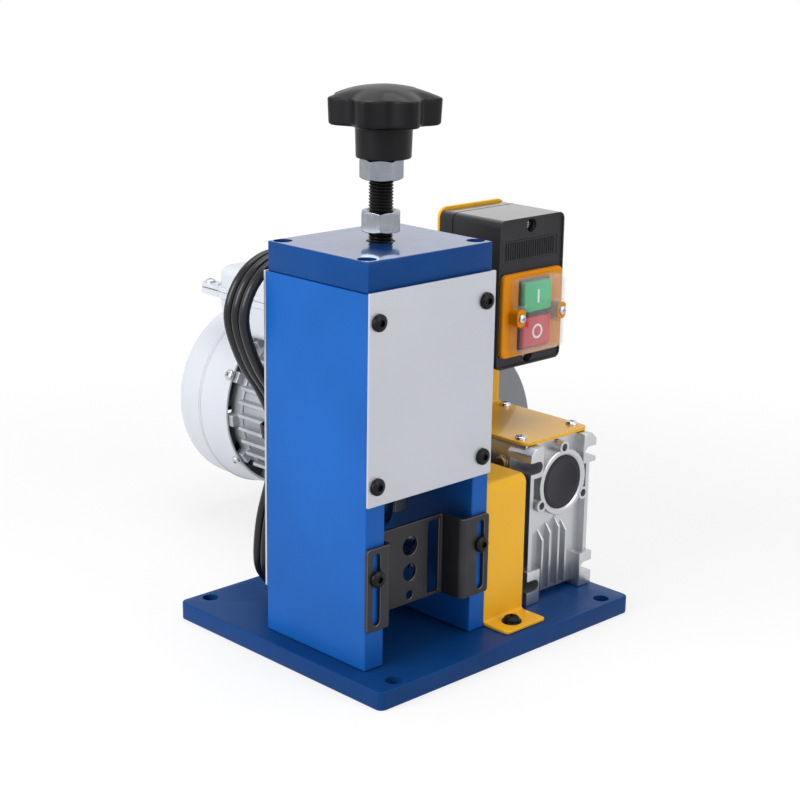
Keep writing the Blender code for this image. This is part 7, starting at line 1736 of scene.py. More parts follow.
@dataclass
class Reducer(SubAssembly):
    """Worm reducer: housing with feet, ring, lugs and fins, its covers, cap and plug.

    Attributes:
        foot: Width and length of a foot.
        foot_heights: Heights of the upper and lower feet.
        slot: Width and reach of the slots in the feet.
        inset: How far the core stands in from the feet at the sides and below.
        recess: How far the core stands behind the feet in front.
        ring_radius: Outer and inner radius of the front ring.
        lug: Radius of a lug, of its circle and of its hole.
        fin_shares: Place of each front fin as a share of half the width.
        fin_tops: Height of each front fin as a share of the housing's.
    """

    foot: Plane = (0.013, 0.022)
    foot_heights: Plane = (0.0217, 0.0247)
    foot_chamfer: float = 0.005
    slot: Plane = (0.0082, 0.0118)
    slot_places: Plane = (0.014, 0.0137)
    inset: float = 0.003
    recess: float = 0.008
    strip: Plane = (0.004, 0.003)
    ring_radius: Plane = (0.0234, 0.0191)
    lug: tuple[float, float, float] = (0.0045, 0.025, 0.0027)
    lug_angles: tuple[int, int, int] = (90, 210, 330)
    fin_shares: tuple[float, ...] = (-0.46, -0.23, 0.03, 0.26)
    fin_tops: tuple[float, ...] = (0.385, 0.42, 0.44, 0.40)
    fin_thickness: float = 0.0020
    fin_recess: float = 0.003
    edge: float = 0.0006

    def build(self) -> None:
        """Makes the housing, its covers, the cap and the plug."""
        box = Extent.of("reducer_housing")
        worm = Extent.of("worm_shaft").middle
        wheel = Extent.of("worm_wheel").middle
        housing = self.core(box, worm)
        for cutter in self.cutters(box, worm, wheel):
            housing.cut(cutter)
        add_piece("gear_housing", housing, CAST, "reducer_housing")
        self.covers(box, wheel)
        self.cap(worm)

    def core(self, box: Extent, worm: Vector) -> Form:
        """Joins the housing's block, feet, strips, ring, lugs and fins.

        Args:
            box: The housing's box.
            worm: Where the worm stands.

        Returns:
            The joined form.
        """
        low, high = box.low, box.high
        face = low.y + self.recess
        middle = box.middle.x
        half = box.size.x / 2
        core = Form().block((low.x + self.inset, face, low.z + self.inset), (high.x - self.inset, high.y, high.z))
        core.eased(self.edge)
        ends = ((low.y, low.y + self.foot[1]), (high.y - self.foot[1], high.y - OVERLAP))
        upper_height, lower_height = self.foot_heights
        for side in (-1, 1):
            outer = middle + side * half
            inner = outer - side * self.foot[0]
            top = high.z - HAIR
            upper = filleted(
                [
                    (inner, top),
                    (outer - side * self.foot_chamfer, top, 0.002),
                    (outer, high.z - self.foot_chamfer, 0.002),
                    (outer, high.z - upper_height),
                    (inner, high.z - upper_height),
                ]
            )
            lower = ((outer, low.z), (inner, low.z), (inner, low.z + lower_height), (outer, low.z + lower_height))
            for start, end in ends:
                core.join(Form().prism(upper, Axis.Y, start, end).eased(self.edge))
                core.join(Form().prism(lower, Axis.Y, start, end).eased(self.edge))
            edge_x = middle + side * (half - self.inset)
            across = sorted((edge_x - side * HAIR, edge_x - side * (self.strip[0] - HAIR)))
            core.join(
                Form().block(
                    (across[0], low.y + self.strip[1], low.z + lower_height / 2),
                    (across[1], face + OVERLAP, high.z - upper_height / 2),
                )
            )
        centre = (worm.x, worm.z)
        drum = filleted(
            [(0, low.y + HAIR), (self.ring_radius[0], low.y + HAIR, 0.0008)]
            + [(self.ring_radius[0], face + OVERLAP), (0, face + OVERLAP)]
        )
        core.join(Form().turned(drum, Axis.Y, centre, 72))
        for place in self.lugs(worm):
            core.join(Form().rod(self.lug[0], Axis.Y, place, low.y, face + OVERLAP, 32))
        for share, top_share in zip(self.fin_shares, self.fin_tops):
            x = middle + half * share
            bottom = low.z + box.size.z * 0.06
            top = low.z + box.size.z * top_share
            front = low.y + self.fin_recess
            fin = ((front, bottom), (face + OVERLAP, bottom), (face + OVERLAP, top + self.recess), (front, top))
            bar = Form().prism(fin, Axis.X, x - self.fin_thickness / 2, x + self.fin_thickness / 2)
            core.join(bar.eased(self.edge / 2))
        return core

    def lugs(self, worm: Vector) -> list[Plane]:
        """Places of the ring's lugs."""
        turns = [math.radians(angle) for angle in self.lug_angles]
        return [(worm.x + self.lug[1] * math.cos(t), worm.z + self.lug[1] * math.sin(t)) for t in turns]

    def cutters(self, box: Extent, worm: Vector, wheel: Vector) -> list[Form]:
        """Makes the forms that open the housing's slots, seats and gear space.

        Args:
            box: The housing's box.
            worm: Where the worm stands.
            wheel: Where the worm wheel stands.

        Returns:
            The forms, each closed by itself.
        """
        low, high = box.low, box.high
        radius = self.slot[0] / 2
        slots = Form()
        ends = (
            (low.y - OVERRUN, low.y + self.foot[1] + GAP),
            (high.y - self.foot[1] - GAP, high.y + OVERRUN),
        )
        for side in (-1, 1):
            outer = (high.x if side > 0 else low.x) + side * OVERRUN
            centre_x = (high.x if side > 0 else low.x) - side * (self.slot[1] - radius)
            for z in (high.z - self.slot_places[0], low.z + self.slot_places[1]):
                bow = arc((centre_x, z), radius, -90, 90, 12)
                nose = [(centre_x - side * (x - centre_x), height) for x, height in bow]
                outline = nose + [(outer, nose[-1][1]), (outer, nose[0][1])]
                for start, end in ends:
                    slots.prism(outline, Axis.Y, start, end)
        holes = Form()
        for place in self.lugs(worm):
            holes.rod(self.lug[2], Axis.Y, place, low.y - OVERRUN, low.y + self.recess, 24)
        gear = Extent.of("worm_wheel")
        wheel_space = Form().rod(gear.size.z / 2 + 0.002, Axis.X, (wheel.y, wheel.z), wheel.x - 0.012, wheel.x + 0.012)
        bearing = Extent.of("left_wheel_bearing").size.z / 2 + GAP
        wheel_bore = Form().rod(bearing, Axis.X, (wheel.y, wheel.z), low.x - OVERRUN, high.x + OVERRUN)
        cap = Extent.of("reducer_end_cap")
        seat = Extent.of("front_worm_bearing")
        small = seat.size.z / 2 + GAP
        inner = self.ring_radius[1]
        profile = [
            (0, low.y - OVERRUN),
            (inner + 0.0012, low.y - OVERRUN),
            (inner + 0.0012, low.y + HAIR),
            (inner, low.y + HAIR + 0.0010),
            (inner, cap.high.y + GAP),
            (small, cap.high.y + GAP),
            (small, seat.high.y + GAP),
            (0.0142, seat.high.y + GAP),
            (0.0142, Extent.of("rear_worm_bearing").low.y - GAP),
            (small, Extent.of("rear_worm_bearing").low.y - GAP),
            (small, high.y + OVERRUN),
            (0, high.y + OVERRUN),
        ]
        return [slots, holes, wheel_space, wheel_bore, Form().turned(profile, Axis.Y, (worm.x, worm.z), 72)]

    def covers(self, box: Extent, wheel: Vector) -> None:
        """Makes the two side covers with their raised rims."""
        for hand, way in (("left", -1), ("right", 1)):
            node = f"reducer_{hand}_cover"
            cover = Extent.of(node)
            inner, outer = (cover.high.x, cover.low.x) if way < 0 else (cover.low.x, cover.high.x)
            radius = cover.size.z / 2
            bore = 0.0093 if way < 0 else 0.0
            profile = filleted(
                [(bore, inner), (radius, inner), (radius, outer, 0.0008), (radius - 0.004, outer)]
                + [(radius - 0.0046, outer - way * 0.0007), (bore, outer - way * 0.0007)]
            )
            disc = Form().turned(profile, Axis.X, (wheel.y, wheel.z), ROUND_SIDES, bore > 0)
            add_piece(f"{hand}_gear_cover", disc, CAST_COVER, node)

    def cap(self, worm: Vector) -> None:
        """Makes the flat front cap and the oil plug."""
        box = Extent.of("reducer_end_cap")
        radius = box.size.z / 2
        profile = filleted(
            [(0, box.low.y + 0.0005), (radius - 0.0042, box.low.y + 0.0005), (radius - 0.0034, box.low.y, 0.0004)]
            + [(radius, box.low.y, 0.0007), (radius, box.high.y), (0, box.high.y)]
        )
        disc = Form().turned(profile, Axis.Y, (worm.x, worm.z))
        add_piece("front_cap", disc, CAP_CHARCOAL, "reducer_end_cap")
        plug = Extent.of("oil_plug")
        centre = (plug.middle.y, plug.middle.z)
        seat = Extent.of("reducer_housing").low.x + self.inset - GAP
        head = Form().prism(ring(0.0048, centre, 6, 30), Axis.X, plug.low.x, seat - 0.0008)
        flange = [(0, plug.high.x), (0.003, plug.high.x), (0.003, seat), (0.0055, seat)]
        flange += [(0.0055, seat - OVERLAP), (0, seat - OVERLAP)]
        head.join(Form().turned(flange, Axis.X, centre, 40))
        add_piece("level_plug", head, BRONZE, "oil_plug", 0.0003)


@dataclass
class Motor(SubAssembly):
    """Flange, finned body, rear shield with its pads, and the fan cover.

    Attributes:
        bore: Bore of the body.
        root: Radius of the body under its fins.
        pitch: Pitch of the fins.
        fin: Thickness of a fin.
        each_side: Fins above and below the middle one.
        shield: Radius of the rear shield.
        pads: Pads round the shield.
        wall: Wall of the fan cover.
        ridge_at: Place of the cover's ridge behind its rim.
        straight_to: Where its round edge starts; not used.
        edge: Radius of that edge.
        radii: Radius of its rim, ridge and back.
        screw_angles: Angles of its screws.
    """

    bore: float = 0.050
    root: float = 0.060
    pitch: float = 0.0105
    fin: float = 0.0028
    each_side: int = 4
    shield: float = 0.061
    pads: int = 12
    pad_width: float = 0.009
    pad_start: float = 5.0
    wall: float = 0.0018
    ridge_at: float = 0.0285
    straight_to: float = 0.0495
    edge: float = 0.011
    radii: tuple[float, float, float] = (0.0700, 0.0736, 0.0730)
    screw_angles: tuple[int, ...] = (35, 155, 215, 335)
    vents: int = 8
    vent_width: float = 0.006
    vent_reach: Plane = (0.018, 0.048)

    def build(self) -> None:
        """Makes the flange, the body, the shield and the fan cover."""
        axis = Extent.of("motor_flange").middle
        self.flange(axis)
        self.body(axis)
        self.rear(axis)
        self.cover(axis)

    def flange(self, axis: Vector) -> None:
        """Makes the round flange with its spigot step and rim."""
        box = Extent.of("motor_flange")
        low, high = box.low.y, box.high.y
        radius = box.size.z / 2
        hole = Extent.of("front_motor_bearing").size.z / 2 + GAP
        profile = filleted(
            [
                (0.0076, low),
                (radius - 0.004, low),
                (radius - 0.004, low + 0.0012),
                (radius, low + 0.0012, 0.0009),
                (radius, high, 0.0009),
                (0.068, high),
                (0.067, high - 0.0012, 0.0006),
                (0.0630, high - 0.0012),
                (0.0620, high),
                (hole, high),
                (hole, high - 0.0083),
                (0.0076, high - 0.0083),
            ]
        )
        disc = Form().turned(profile, Axis.Y, (axis.x, axis.z), 128, True)
        add_piece("round_flange", disc, GREY_FLANGE, "motor_flange")

    def body(self, axis: Vector) -> None:
        """Makes the body's barrel and its fins."""
        box = Extent.of("motor_body")
        profile = [(self.bore, box.low.y), (self.root, box.low.y), (self.root, box.high.y), (self.bore, box.high.y)]
        barrel = Form().turned(profile, Axis.Y, (axis.x, axis.z), 128, True)
        add_piece("motor_barrel", barrel, CAST_FINS, "motor_body", 0.0008)
        values = {
            "Root": self.root,
            "Outer": box.size.x / 2,
            "Pitch": self.pitch,
            "Thickness": self.fin,
            "Each Side": self.each_side,
            "Length": box.size.y,
        }
        fins = fin_growth().grow(CAST_FINS, values)
        fins.transform(Matrix.Translation((axis.x, box.middle.y, axis.z)))
        add_piece("motor_fins", fins, CAST_FINS, "", 0.0005)

    def rear(self, axis: Vector) -> None:
        """Makes the rear shield and the pads that the cover is screwed to."""
        box = Extent.of("motor_end_shield")
        low, high = box.low.y, box.high.y
        seat = Extent.of("rear_motor_bearing")
        profile = filleted(
            [
                (0.0066, seat.high.y + GAP),
                (seat.size.z / 2 + GAP, seat.high.y + GAP),
                (seat.size.z / 2 + GAP, low),
                (self.shield, low, 0.0008),
                (self.shield, high, 0.0015),
                (0.020, high),
                (0.018, high - 0.0015),
                (0.0066, high - 0.0015),
            ]
        )
        disc = Form().turned(profile, Axis.Y, (axis.x, axis.z), ROUND_SIDES, True)
        add_piece("rear_shield", disc, CAST_FINS, "motor_end_shield")
        outer = box.size.z / 2
        inner = self.shield - OVERRUN
        deep = box.size.y - 0.005
        values = {
            "Count": self.pads,
            "Radius": (outer + inner) / 2,
            "Size": (outer - inner, self.pad_width, deep),
            "Start": math.radians(self.pad_start),
        }
        pads = crown_growth().grow(CAST_FINS, values)
        upright = Matrix.Rotation(math.pi / 2, 4, "X")
        pads.transform(Matrix.Translation((axis.x, high - OVERLAP - deep / 2, axis.z)) @ upright)
        add_piece("shield_pads", pads, CAST_FINS, "", 0.0006)

    def cover(self, axis: Vector) -> None:
        """Makes the fan cover with its ridge, vents and screws."""
        box = Extent.of("fan_cover")
        front, back = box.low.y, box.high.y
        rim, ridge, rear = self.radii
        wall = self.wall
        outer = filleted(
            [(rim, front, 0), (ridge, front + self.ridge_at, 0.006), (rear, back, self.edge), (0, back)], 9
        )
        inner = filleted(
            [
                (0, back - wall),
                (rear - wall, back - wall, self.edge - wall),
                (ridge - wall, front + self.ridge_at, 0.006),
                (rim - wall, front, 0),
            ],
            9,
        )
        start = front + self.ridge_at
        shell = Form().turned([*outer, *inner], Axis.Y, (axis.x, axis.z), 160, True)
        bead = [
            (ridge - wall, start - 0.0012),
            (ridge + 0.0001, start - 0.0012),
            (ridge + 0.0009, start),
            (ridge + 0.0001, start + 0.0012),
            (ridge - wall, start + 0.0012),
        ]
        shell.join(Form().turned(bead, Axis.Y, (axis.x, axis.z), 160, True))
        vents = Form()
        near, far = self.vent_reach
        half = self.vent_width / 2
        outline = rounded((near, -half), (far, half), half - 1e-5)
        slot = Form().prism(outline, Axis.Y, back - wall - OVERRUN, back + OVERRUN)
        for index in range(self.vents):
            turn = Matrix.Rotation(-math.tau * index / self.vents, 4, "Y")
            vents.copied(slot, Matrix.Translation((axis.x, 0, axis.z)) @ turn)
        add_piece("fan_hood", shell.cut(vents), PALE, "fan_cover", 0.0003)
        shield = Extent.of("motor_end_shield")
        along = (shield.low.y + shield.high.y) / 2 + 0.004
        seats = []
        for angle in self.screw_angles:
            way = Vector((math.cos(math.radians(angle)), 0, math.sin(math.radians(angle))))
            radius = rim + (ridge - rim) * (along - front) / self.ridge_at
            seats.append((Vector((axis.x, along, axis.z)) + way * radius, way))
        PAN_SCREW.place("hood_screws", ZINC, seats, 11)


@dataclass
class TerminalBox(SubAssembly):
    """Box on the motor with its lid, lugs and screws.

    Attributes:
        corner: Radius of its corners.
        draft: How far its sides stand in from its rim.
        wall: Its wall.
        under: Height over which its underside is drawn in.
        lip: Height of the lid's lip.
        lid_edge: Radius of the lid's top edge.
        lug: Radius of a screw lug.
        lug_out: How far a lug's screw stands outside the box.
    """

    corner: float = 0.016
    draft: float = 0.0025
    wall: float = 0.003
    under: float = 0.022
    lip: float = 0.0033
    lid_edge: float = 0.007
    lug: float = 0.007
    lug_out: float = 0.0095
    lug_from_corner: float = 0.0085

    def outline(self, grow: float) -> list[Plane]:
        """The box's outline from above, grown by a length."""
        box = Extent.of("terminal_box_lid")
        out = self.lug_out + self.lug
        low = (box.low.x - grow, box.low.y + out - grow)
        high = (box.high.x + grow, box.high.y - out + grow)
        return rounded(low, high, self.corner + grow, 10)

    def lug_places(self) -> list[Plane]:
        """Places of the four lugs."""
        box = Extent.of("terminal_box_lid")
        xs = (box.low.x + self.lug_from_corner, box.high.x - self.lug_from_corner)
        ys = (box.low.y + self.lug, box.high.y - self.lug)
        return [(x, y) for x in xs for y in ys]

    def lugs(self, form: Form, low: float, high: float) -> None:
        """Joins the four lugs to a form between two heights."""
        middle = Extent.of("terminal_box_lid").middle.y
        for x, y in self.lug_places():
            inward = 1 if y < middle else -1
            first = 180 if inward > 0 else 0
            outline = arc((x, y), self.lug, first, first + 180, 16)
            end = y + inward * (self.lug_out + self.corner / 2)
            outline += [(outline[-1][0], end), (outline[0][0], end)]
            form.join(Form().prism(outline, Axis.Z, low, high))

    def build(self) -> None:
        """Makes the box, the lid and the screws."""
        box = Extent.of("terminal_box")
        lid = Extent.of("terminal_box_lid")
        rim_high = box.high.z
        axis = Extent.of("motor_flange").middle
        bottom = axis.z + 0.0584
        rim_low = rim_high - 0.005
        sides = Form().loft(
            [
                (self.outline(-self.under / 2 - self.draft), bottom),
                (self.outline(-self.draft - 0.0045), bottom + self.under / 6),
                (self.outline(-self.draft - 0.0018), bottom + self.under / 2.6),
                (self.outline(-self.draft), bottom + self.under),
                (self.outline(-self.draft), rim_high - OVERLAP / 2),
            ],
            Axis.Z,
        )
        sides.join(Form().prism(self.outline(0), Axis.Z, rim_low, rim_high))
        self.lugs(sides, rim_low + HAIR, rim_high - HAIR)
        floor = axis.z + 0.0765
        sides.cut(Form().prism(self.outline(-self.draft - self.wall), Axis.Z, floor, rim_high + OVERRUN))
        body = Extent.of("motor_body")
        centre = (axis.x, axis.z)
        hood = Extent.of("fan_cover")
        sides.cut(Form().rod(0.0603, Axis.Y, centre, lid.low.y - OVERRUN, hood.low.y, 128))
        sides.cut(Form().rod(hood.size.z / 2 + GAP, Axis.Y, centre, body.high.y, hood.high.y + OVERRUN, 128))
        add_piece("lead_box", sides, PALE, "terminal_box", 0.0006)

        lip_top = lid.low.z + self.lip
        top = Form().prism(self.outline(0), Axis.Z, lid.low.z, lip_top)
        dome = [(self.outline(-self.draft), lip_top - OVERLAP)]
        for radius, height in arc((0, 0), self.lid_edge, 0, 90, 8):
            dome.append((self.outline(-self.draft - self.lid_edge + radius), lid.high.z - self.lid_edge + height))
        top.join(Form().loft(dome, Axis.Z))
        self.lugs(top, lid.low.z + HAIR, lip_top - HAIR)
        inside = self.outline(-self.draft - self.wall)
        hollow = Form().prism(inside, Axis.Z, lid.low.z - OVERRUN, lid.high.z - self.wall)
        add_piece("lead_box_lid", top.cut(hollow), PALE, "terminal_box_lid", 0.0006)
        seats = [(Vector((*place, lip_top - HAIR)), UP) for place in self.lug_places()]
        PAN_SCREW.place("lead_box_screws", ZINC, seats, 13)


@dataclass
class ShaftGuard(SubAssembly):
    """Bent yellow sheet over the drive shaft with its two screws.

    Attributes:
        thickness: The sheet's thickness.
        foot: Length of a foot.
        bends: Middle radius of its four bends.
        corner: Radius of the feet's corners.
        screw_share: Place of the screws as a share of the width.
    """

    thickness: float = 0.002
    foot: float = 0.022
    bends: tuple[float, float, float, float] = (0.003, 0.005, 0.005, 0.003)
    corner: float = 0.003
    screw_share: float = 0.42

    def build(self) -> None:
        """Makes the sheet and the screws."""
        box = Extent.of("shaft_guard")
        half = self.thickness / 2
        front, back = box.low.y + self.foot, box.high.y - self.foot
        low, high = box.low.z + half, box.high.z - half
        path = (
            (box.low.y, low),
            (front + half, low),
            (front + half, high),
            (back - half, high),
            (back - half, low),
            (box.high.y, low),
        )
        sheet = Form().prism(bent_sheet(path, self.thickness, self.bends), Axis.X, box.low.x, box.high.x)
        plan = rounded((box.low.x, box.low.y), (box.high.x, box.high.y), self.corner)
        sheet.keep(Form().prism(plan, Axis.Z, box.low.z - OVERRUN, box.high.z + OVERRUN))
        add_piece("yellow_guard", sheet, YELLOW, "shaft_guard", 0.0004)
        x = box.low.x + box.size.x * self.screw_share
        height = box.low.z + self.thickness + OVERLAP
        ends = (box.low.y + self.foot / 2, box.high.y - self.foot / 2)
        seats = [(Vector((x, y, height)), UP) for y in ends]
        GUARD_SCREW.place("guard_screws", BLACK_STEEL, seats, 15)
        washers = Form()
        for seat, _ in seats:
            low = seat.z - 0.001
            profile = [(0.0031, low), (0.0066, low), (0.0068, low + 0.0002), (0.0066, seat.z), (0.0031, seat.z)]
            washers.turned(profile, Axis.Z, (seat.x, seat.y), 48, True)
        add_piece("guard_washers", washers, BLACK_STEEL)


@dataclass
class SwitchStation(SubAssembly):
    """Yellow bracket, switch box, plate, buttons and clear cover.

    Attributes:
        sheet: Thickness of the bracket.
        bend: Middle radius of its bend.
        corner: Radius of its corners.
        pan_places: Places of its screws.
        shell_edge: Corner radius of the box's face.
        rim: Width of the face's rim.
        recess: Depth of the face behind its rim.
        panel: Width, height and middle height of the blank panel.
        plate_edge: Chamfer of the yellow plate.
        ear: Width, height and spacing of its ears.
        button: Width, height and depth of a button.
        dome_wall: Wall of the clear cover.
        dome_edge: Rounding of the clear cover.
    """

    sheet: float = 0.0022
    bend: float = 0.0035
    corner: float = 0.007
    pan_places: tuple[Plane, ...] = tuple((x, y) for x in (0.0574, 0.1100) for y in (-0.0502, 0.0132))
    shell_edge: float = 0.005
    rim: float = 0.0016
    recess: float = 0.0012
    well: Plane = (0.0046, 0.006)
    well_from_end: float = 0.0062
    panel: tuple[float, float, float] = (0.053, 0.0145, 0.2534)
    plate_edge: float = 0.0015
    ear: tuple[float, float, float] = (0.0085, 0.012, 0.0412)
    dome_wall: float = 0.001
    dome_edge: float = 0.004

    def build(self) -> None:
        """Makes the bracket, the box, the plate, the block, the buttons and the cover."""
        self.bracket()
        self.box()
        self.plate()
        self.block()
        for node, name, finish in (("start_button", "start_key", GREEN), ("stop_button", "stop_key", RED)):
            self.button(node, name, finish)
        self.dome()

    def bracket(self) -> None:
        """Makes the angle plate and its screws."""
        box = Extent.of("switch_bracket")
        half = self.sheet / 2
        path = ((box.low.y, box.low.z + half), (box.high.y - half, box.low.z + half), (box.high.y - half, box.high.z))
        plate = Form().prism(bent_sheet(path, self.sheet, (self.bend,)), Axis.X, box.low.x, box.high.x)
        reach = OVERRUN + self.corner
        face = rounded((box.low.x, box.low.z - reach), (box.high.x, box.high.z), self.corner)
        plate.keep(Form().prism(face, Axis.Y, box.low.y - OVERRUN, box.high.y + OVERRUN))
        plan = rounded((box.low.x, box.low.y), (box.high.x, box.high.y + reach), self.corner)
        plate.keep(Form().prism(plan, Axis.Z, box.low.z - OVERRUN, box.high.z + OVERRUN))
        add_piece("angle_bracket", plate, YELLOW, "switch_bracket", 0.0004)
        seats = [(Vector((*place, box.low.z + self.sheet)), UP) for place in self.pan_places]
        PAN_SCREW.place("bracket_screws", ZINC, seats, 17)

    def box(self) -> None:
        """Makes the moulded box with its rimmed face, wells and blank ribbed panel."""
        box = Extent.of("switch_box")
        module = Extent.of("switch_module")
        low, high = box.low, box.high
        centre = box.middle.x
        face_y = low.y + self.recess
        outline = rounded((low.x, low.z), (high.x, high.z), self.shell_edge)
        shell = Form().prism(outline, Axis.Y, low.y, high.y)
        inner = box.outline(Axis.Y, self.shell_edge - self.rim, -self.rim)
        shell.cut(Form().prism(inner, Axis.Y, low.y - OVERRUN, face_y))
        side = module.size.x / 2 + GAP
        shell.cut(
            Form().block(
                (centre - side, low.y - OVERRUN, module.low.z - GAP),
                (centre + side, module.high.y + GAP, module.high.z + GAP),
            )
        )
        cuts = Form()
        for z in (low.z + self.well_from_end, high.z - self.well_from_end):
            cuts.rod(self.well[0], Axis.Y, (centre, z), low.y - OVERRUN, face_y + self.well[1])
        width, height, middle = self.panel
        panel = centred((centre, middle), width, height, 0.001)
        cuts.prism(panel, Axis.Y, face_y - OVERRUN, face_y + 0.0006)
        around = box.outline(Axis.Y, self.shell_edge, OVERLAP)
        seam = Form().prism(around, Axis.Y, high.y - 0.0125, high.y - 0.0119)
        core = box.outline(Axis.Y, self.shell_edge - 0.0005, -0.0005)
        seam.cut(Form().prism(core, Axis.Y, low.y, high.y))
        shell.cut(cuts).cut(seam)
        add_piece("switch_shell", shell, CHARCOAL, "switch_box", 0.0004)
        seats = [
            (Vector((centre, face_y + self.well[1], z)), FORWARD)
            for z in (low.z + self.well_from_end, high.z - self.well_from_end)
        ]
        PAN_SCREW.place("shell_screws", ZINC, seats, 19)
        values = {"Count": 22, "Pitch": width / 23.5, "Size": (0.0011, 0.0007, height - 0.003)}
        ribs = rib_growth().grow(CHARCOAL, values)
        ribs.transform(Matrix.Translation((centre, face_y + 0.0004, middle)))
        add_piece("panel_ribs", ribs, CHARCOAL, "", 0.0002)

    def ears(self) -> list[Plane]:
        """Places of the plate's two ears, as x and z."""
        box = Extent.of("switch_plate")
        return [(box.middle.x + side * self.ear[2] / 2, box.middle.z) for side in (-1, 1)]

    def plate(self) -> None:
        """Makes the yellow plate with its ears and their screws."""
        box = Extent.of("switch_plate")
        module = Extent.of("switch_module")
        back = box.high.y
        front = back - 0.0035
        radius = self.shell_edge
        sections = []
        steps = ((0, back), (0, front + self.plate_edge), (-0.0006, front + 0.0004), (-self.plate_edge, front))
        for grow, along in steps:
            low = (box.low.x - grow, box.low.z - grow)
            high = (box.high.x + grow, box.high.z + grow)
            sections.append((rounded(low, high, radius + grow), along))
        plate = Form().loft(sections, Axis.Y)
        width, height, _ = self.ear
        for x, z in self.ears():
            ear = centred((x, z), width, height, width / 2 - 0.0005)
            plate.join(Form().prism(ear, Axis.Y, box.low.y, back - OVERLAP))
        side = module.size.x / 2 + GAP
        low = (box.middle.x - side, front - OVERRUN, module.low.z - GAP)
        high = (box.middle.x + side, back + OVERRUN, module.high.z + GAP)
        plate.cut(Form().block(low, high))
        add_piece("yellow_plate", plate, AMBER, "switch_plate", 0.0004)
        seats = [(Vector((x, box.low.y, z)), FORWARD) for x, z in self.ears()]
        SMALL_SCREW.place("ear_screws", ZINC, seats, 21)

    def block(self) -> None:
        """Makes the switch block with its two pockets."""
        box = Extent.of("switch_module")
        block = Form().block(box.low, box.high)
        for node in ("start_button", "stop_button"):
            key = Extent.of(node)
            low = (key.low.x - 0.0004, box.low.y - OVERRUN, key.low.z - 0.0004)
            high = (key.high.x + 0.0004, key.high.y + 0.0038, key.high.z + 0.0004)
            block.cut(Form().block(low, high))
        add_piece("switch_block", block, FITTING_BLACK, "switch_module", 0.0003)

    def button(self, node: str, name: str, finish: Finish) -> None:
        """Makes a button with a rounded front edge and its raised sign.

        Args:
            node: Node that it replaces, which also names its body.
            name: The piece's name.
            finish: Its finish.
        """
        box = Extent.of(node)
        sections = []
        for shrink, along in ((0.0007, 0.0), (0.0002, 0.0003), (0.0, 0.0009), (0.0, box.size.y)):
            low = (box.low.x + shrink, box.low.z + shrink)
            high = (box.high.x - shrink, box.high.z - shrink)
            sections.append((rounded(low, high, 0.0012, 4), box.low.y + along))
        key = Form().loft(sections, Axis.Y)
        centre = (box.middle.x, box.middle.z)
        add_piece(name, key, finish, node, body=node)
        front, back = box.low.y - 0.00025, box.low.y + 0.0006
        if node == "start_button":
            sign = Form().prism(centred(centre, 0.0016, 0.0092, 0.0003, 3), Axis.Y, front, back)
        else:
            profile = [(0.0036, front), (0.0051, front), (0.0051, back), (0.0036, back)]
            sign = Form().turned(profile, Axis.Y, centre, 64, True)
        add_piece(f"{name}_sign", sign, SIGN_WHITE, body=node)

    def dome(self) -> None:
        """Makes the clear cover over the buttons."""
        box = Extent.of("clear_cover")
        shell = self.dome_block(box, 0.0)
        shell.cut(self.dome_block(box, self.dome_wall))
        add_piece("clear_hood", shell, CLEAR, "clear_cover")

    def dome_block(self, box: Extent, wall: float) -> Form:
        """The clear cover's block drawn in by a wall.

        Args:
            box: The cover's box.
            wall: How far it is drawn in.

        Returns:
            The block, notched at both ears.
        """
        back = box.high.y + (OVERRUN if wall else 0)
        edge = self.dome_edge - wall
        sections = []
        for radius, height in arc((0, 0), edge, 90, 0, 8):
            inset = edge - radius + wall
            low = (box.low.x + inset, box.low.z + inset)
            high = (box.high.x - inset, box.high.z - inset)
            sections.append((rounded(low, high, max(self.dome_edge - inset, 0.0006)), box.low.y + wall + edge - height))
        sections.append((sections[-1][0], back))
        block = Form().loft(sections, Axis.Y)
        notch_x = self.ear[2] / 2 - self.ear[0] / 2 - GAP - wall
        notch_z = self.ear[1] / 2 + GAP + wall
        notches = Form()
        for side in (-1, 1):
            across = sorted((box.middle.x + side * notch_x, box.middle.x + side * (box.size.x / 2 + OVERRUN)))
            notches.block(
                (across[0], box.low.y - OVERRUN, box.middle.z - notch_z),
                (across[1], back + OVERRUN, box.middle.z + notch_z),
            )
        return block.cut(notches)


@dataclass
class InnerWorks(SubAssembly):
    """The carried-over CAD nodes, which only get a finish."""

    def build(self) -> None:
        """Gives each node that is left showing its material."""
        finishes = {
            "left_shaft_bearing": STEEL,
            "right_shaft_bearing": STEEL,
            "worm_shaft": STEEL,
            "worm_wheel": BRONZE,
            "front_worm_bearing": STEEL,
            "rear_worm_bearing": STEEL,
            "left_wheel_bearing": STEEL,
            "right_wheel_bearing": STEEL,
            "motor_stator": LAMINATED,
            "motor_rotor": LAMINATED,
            "motor_shaft": STEEL,
            "front_motor_bearing": STEEL,
            "rear_motor_bearing": STEEL,
            "cooling_fan": FITTING_BLACK,
            "run_capacitor": PALE,
        }
        for node, finish in finishes.items():
            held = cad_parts[node]
            held.data.materials.clear()
            held.data.materials.append(finish.material())
            LOG.info("%s keeps its solid in %s", node, finish.name)


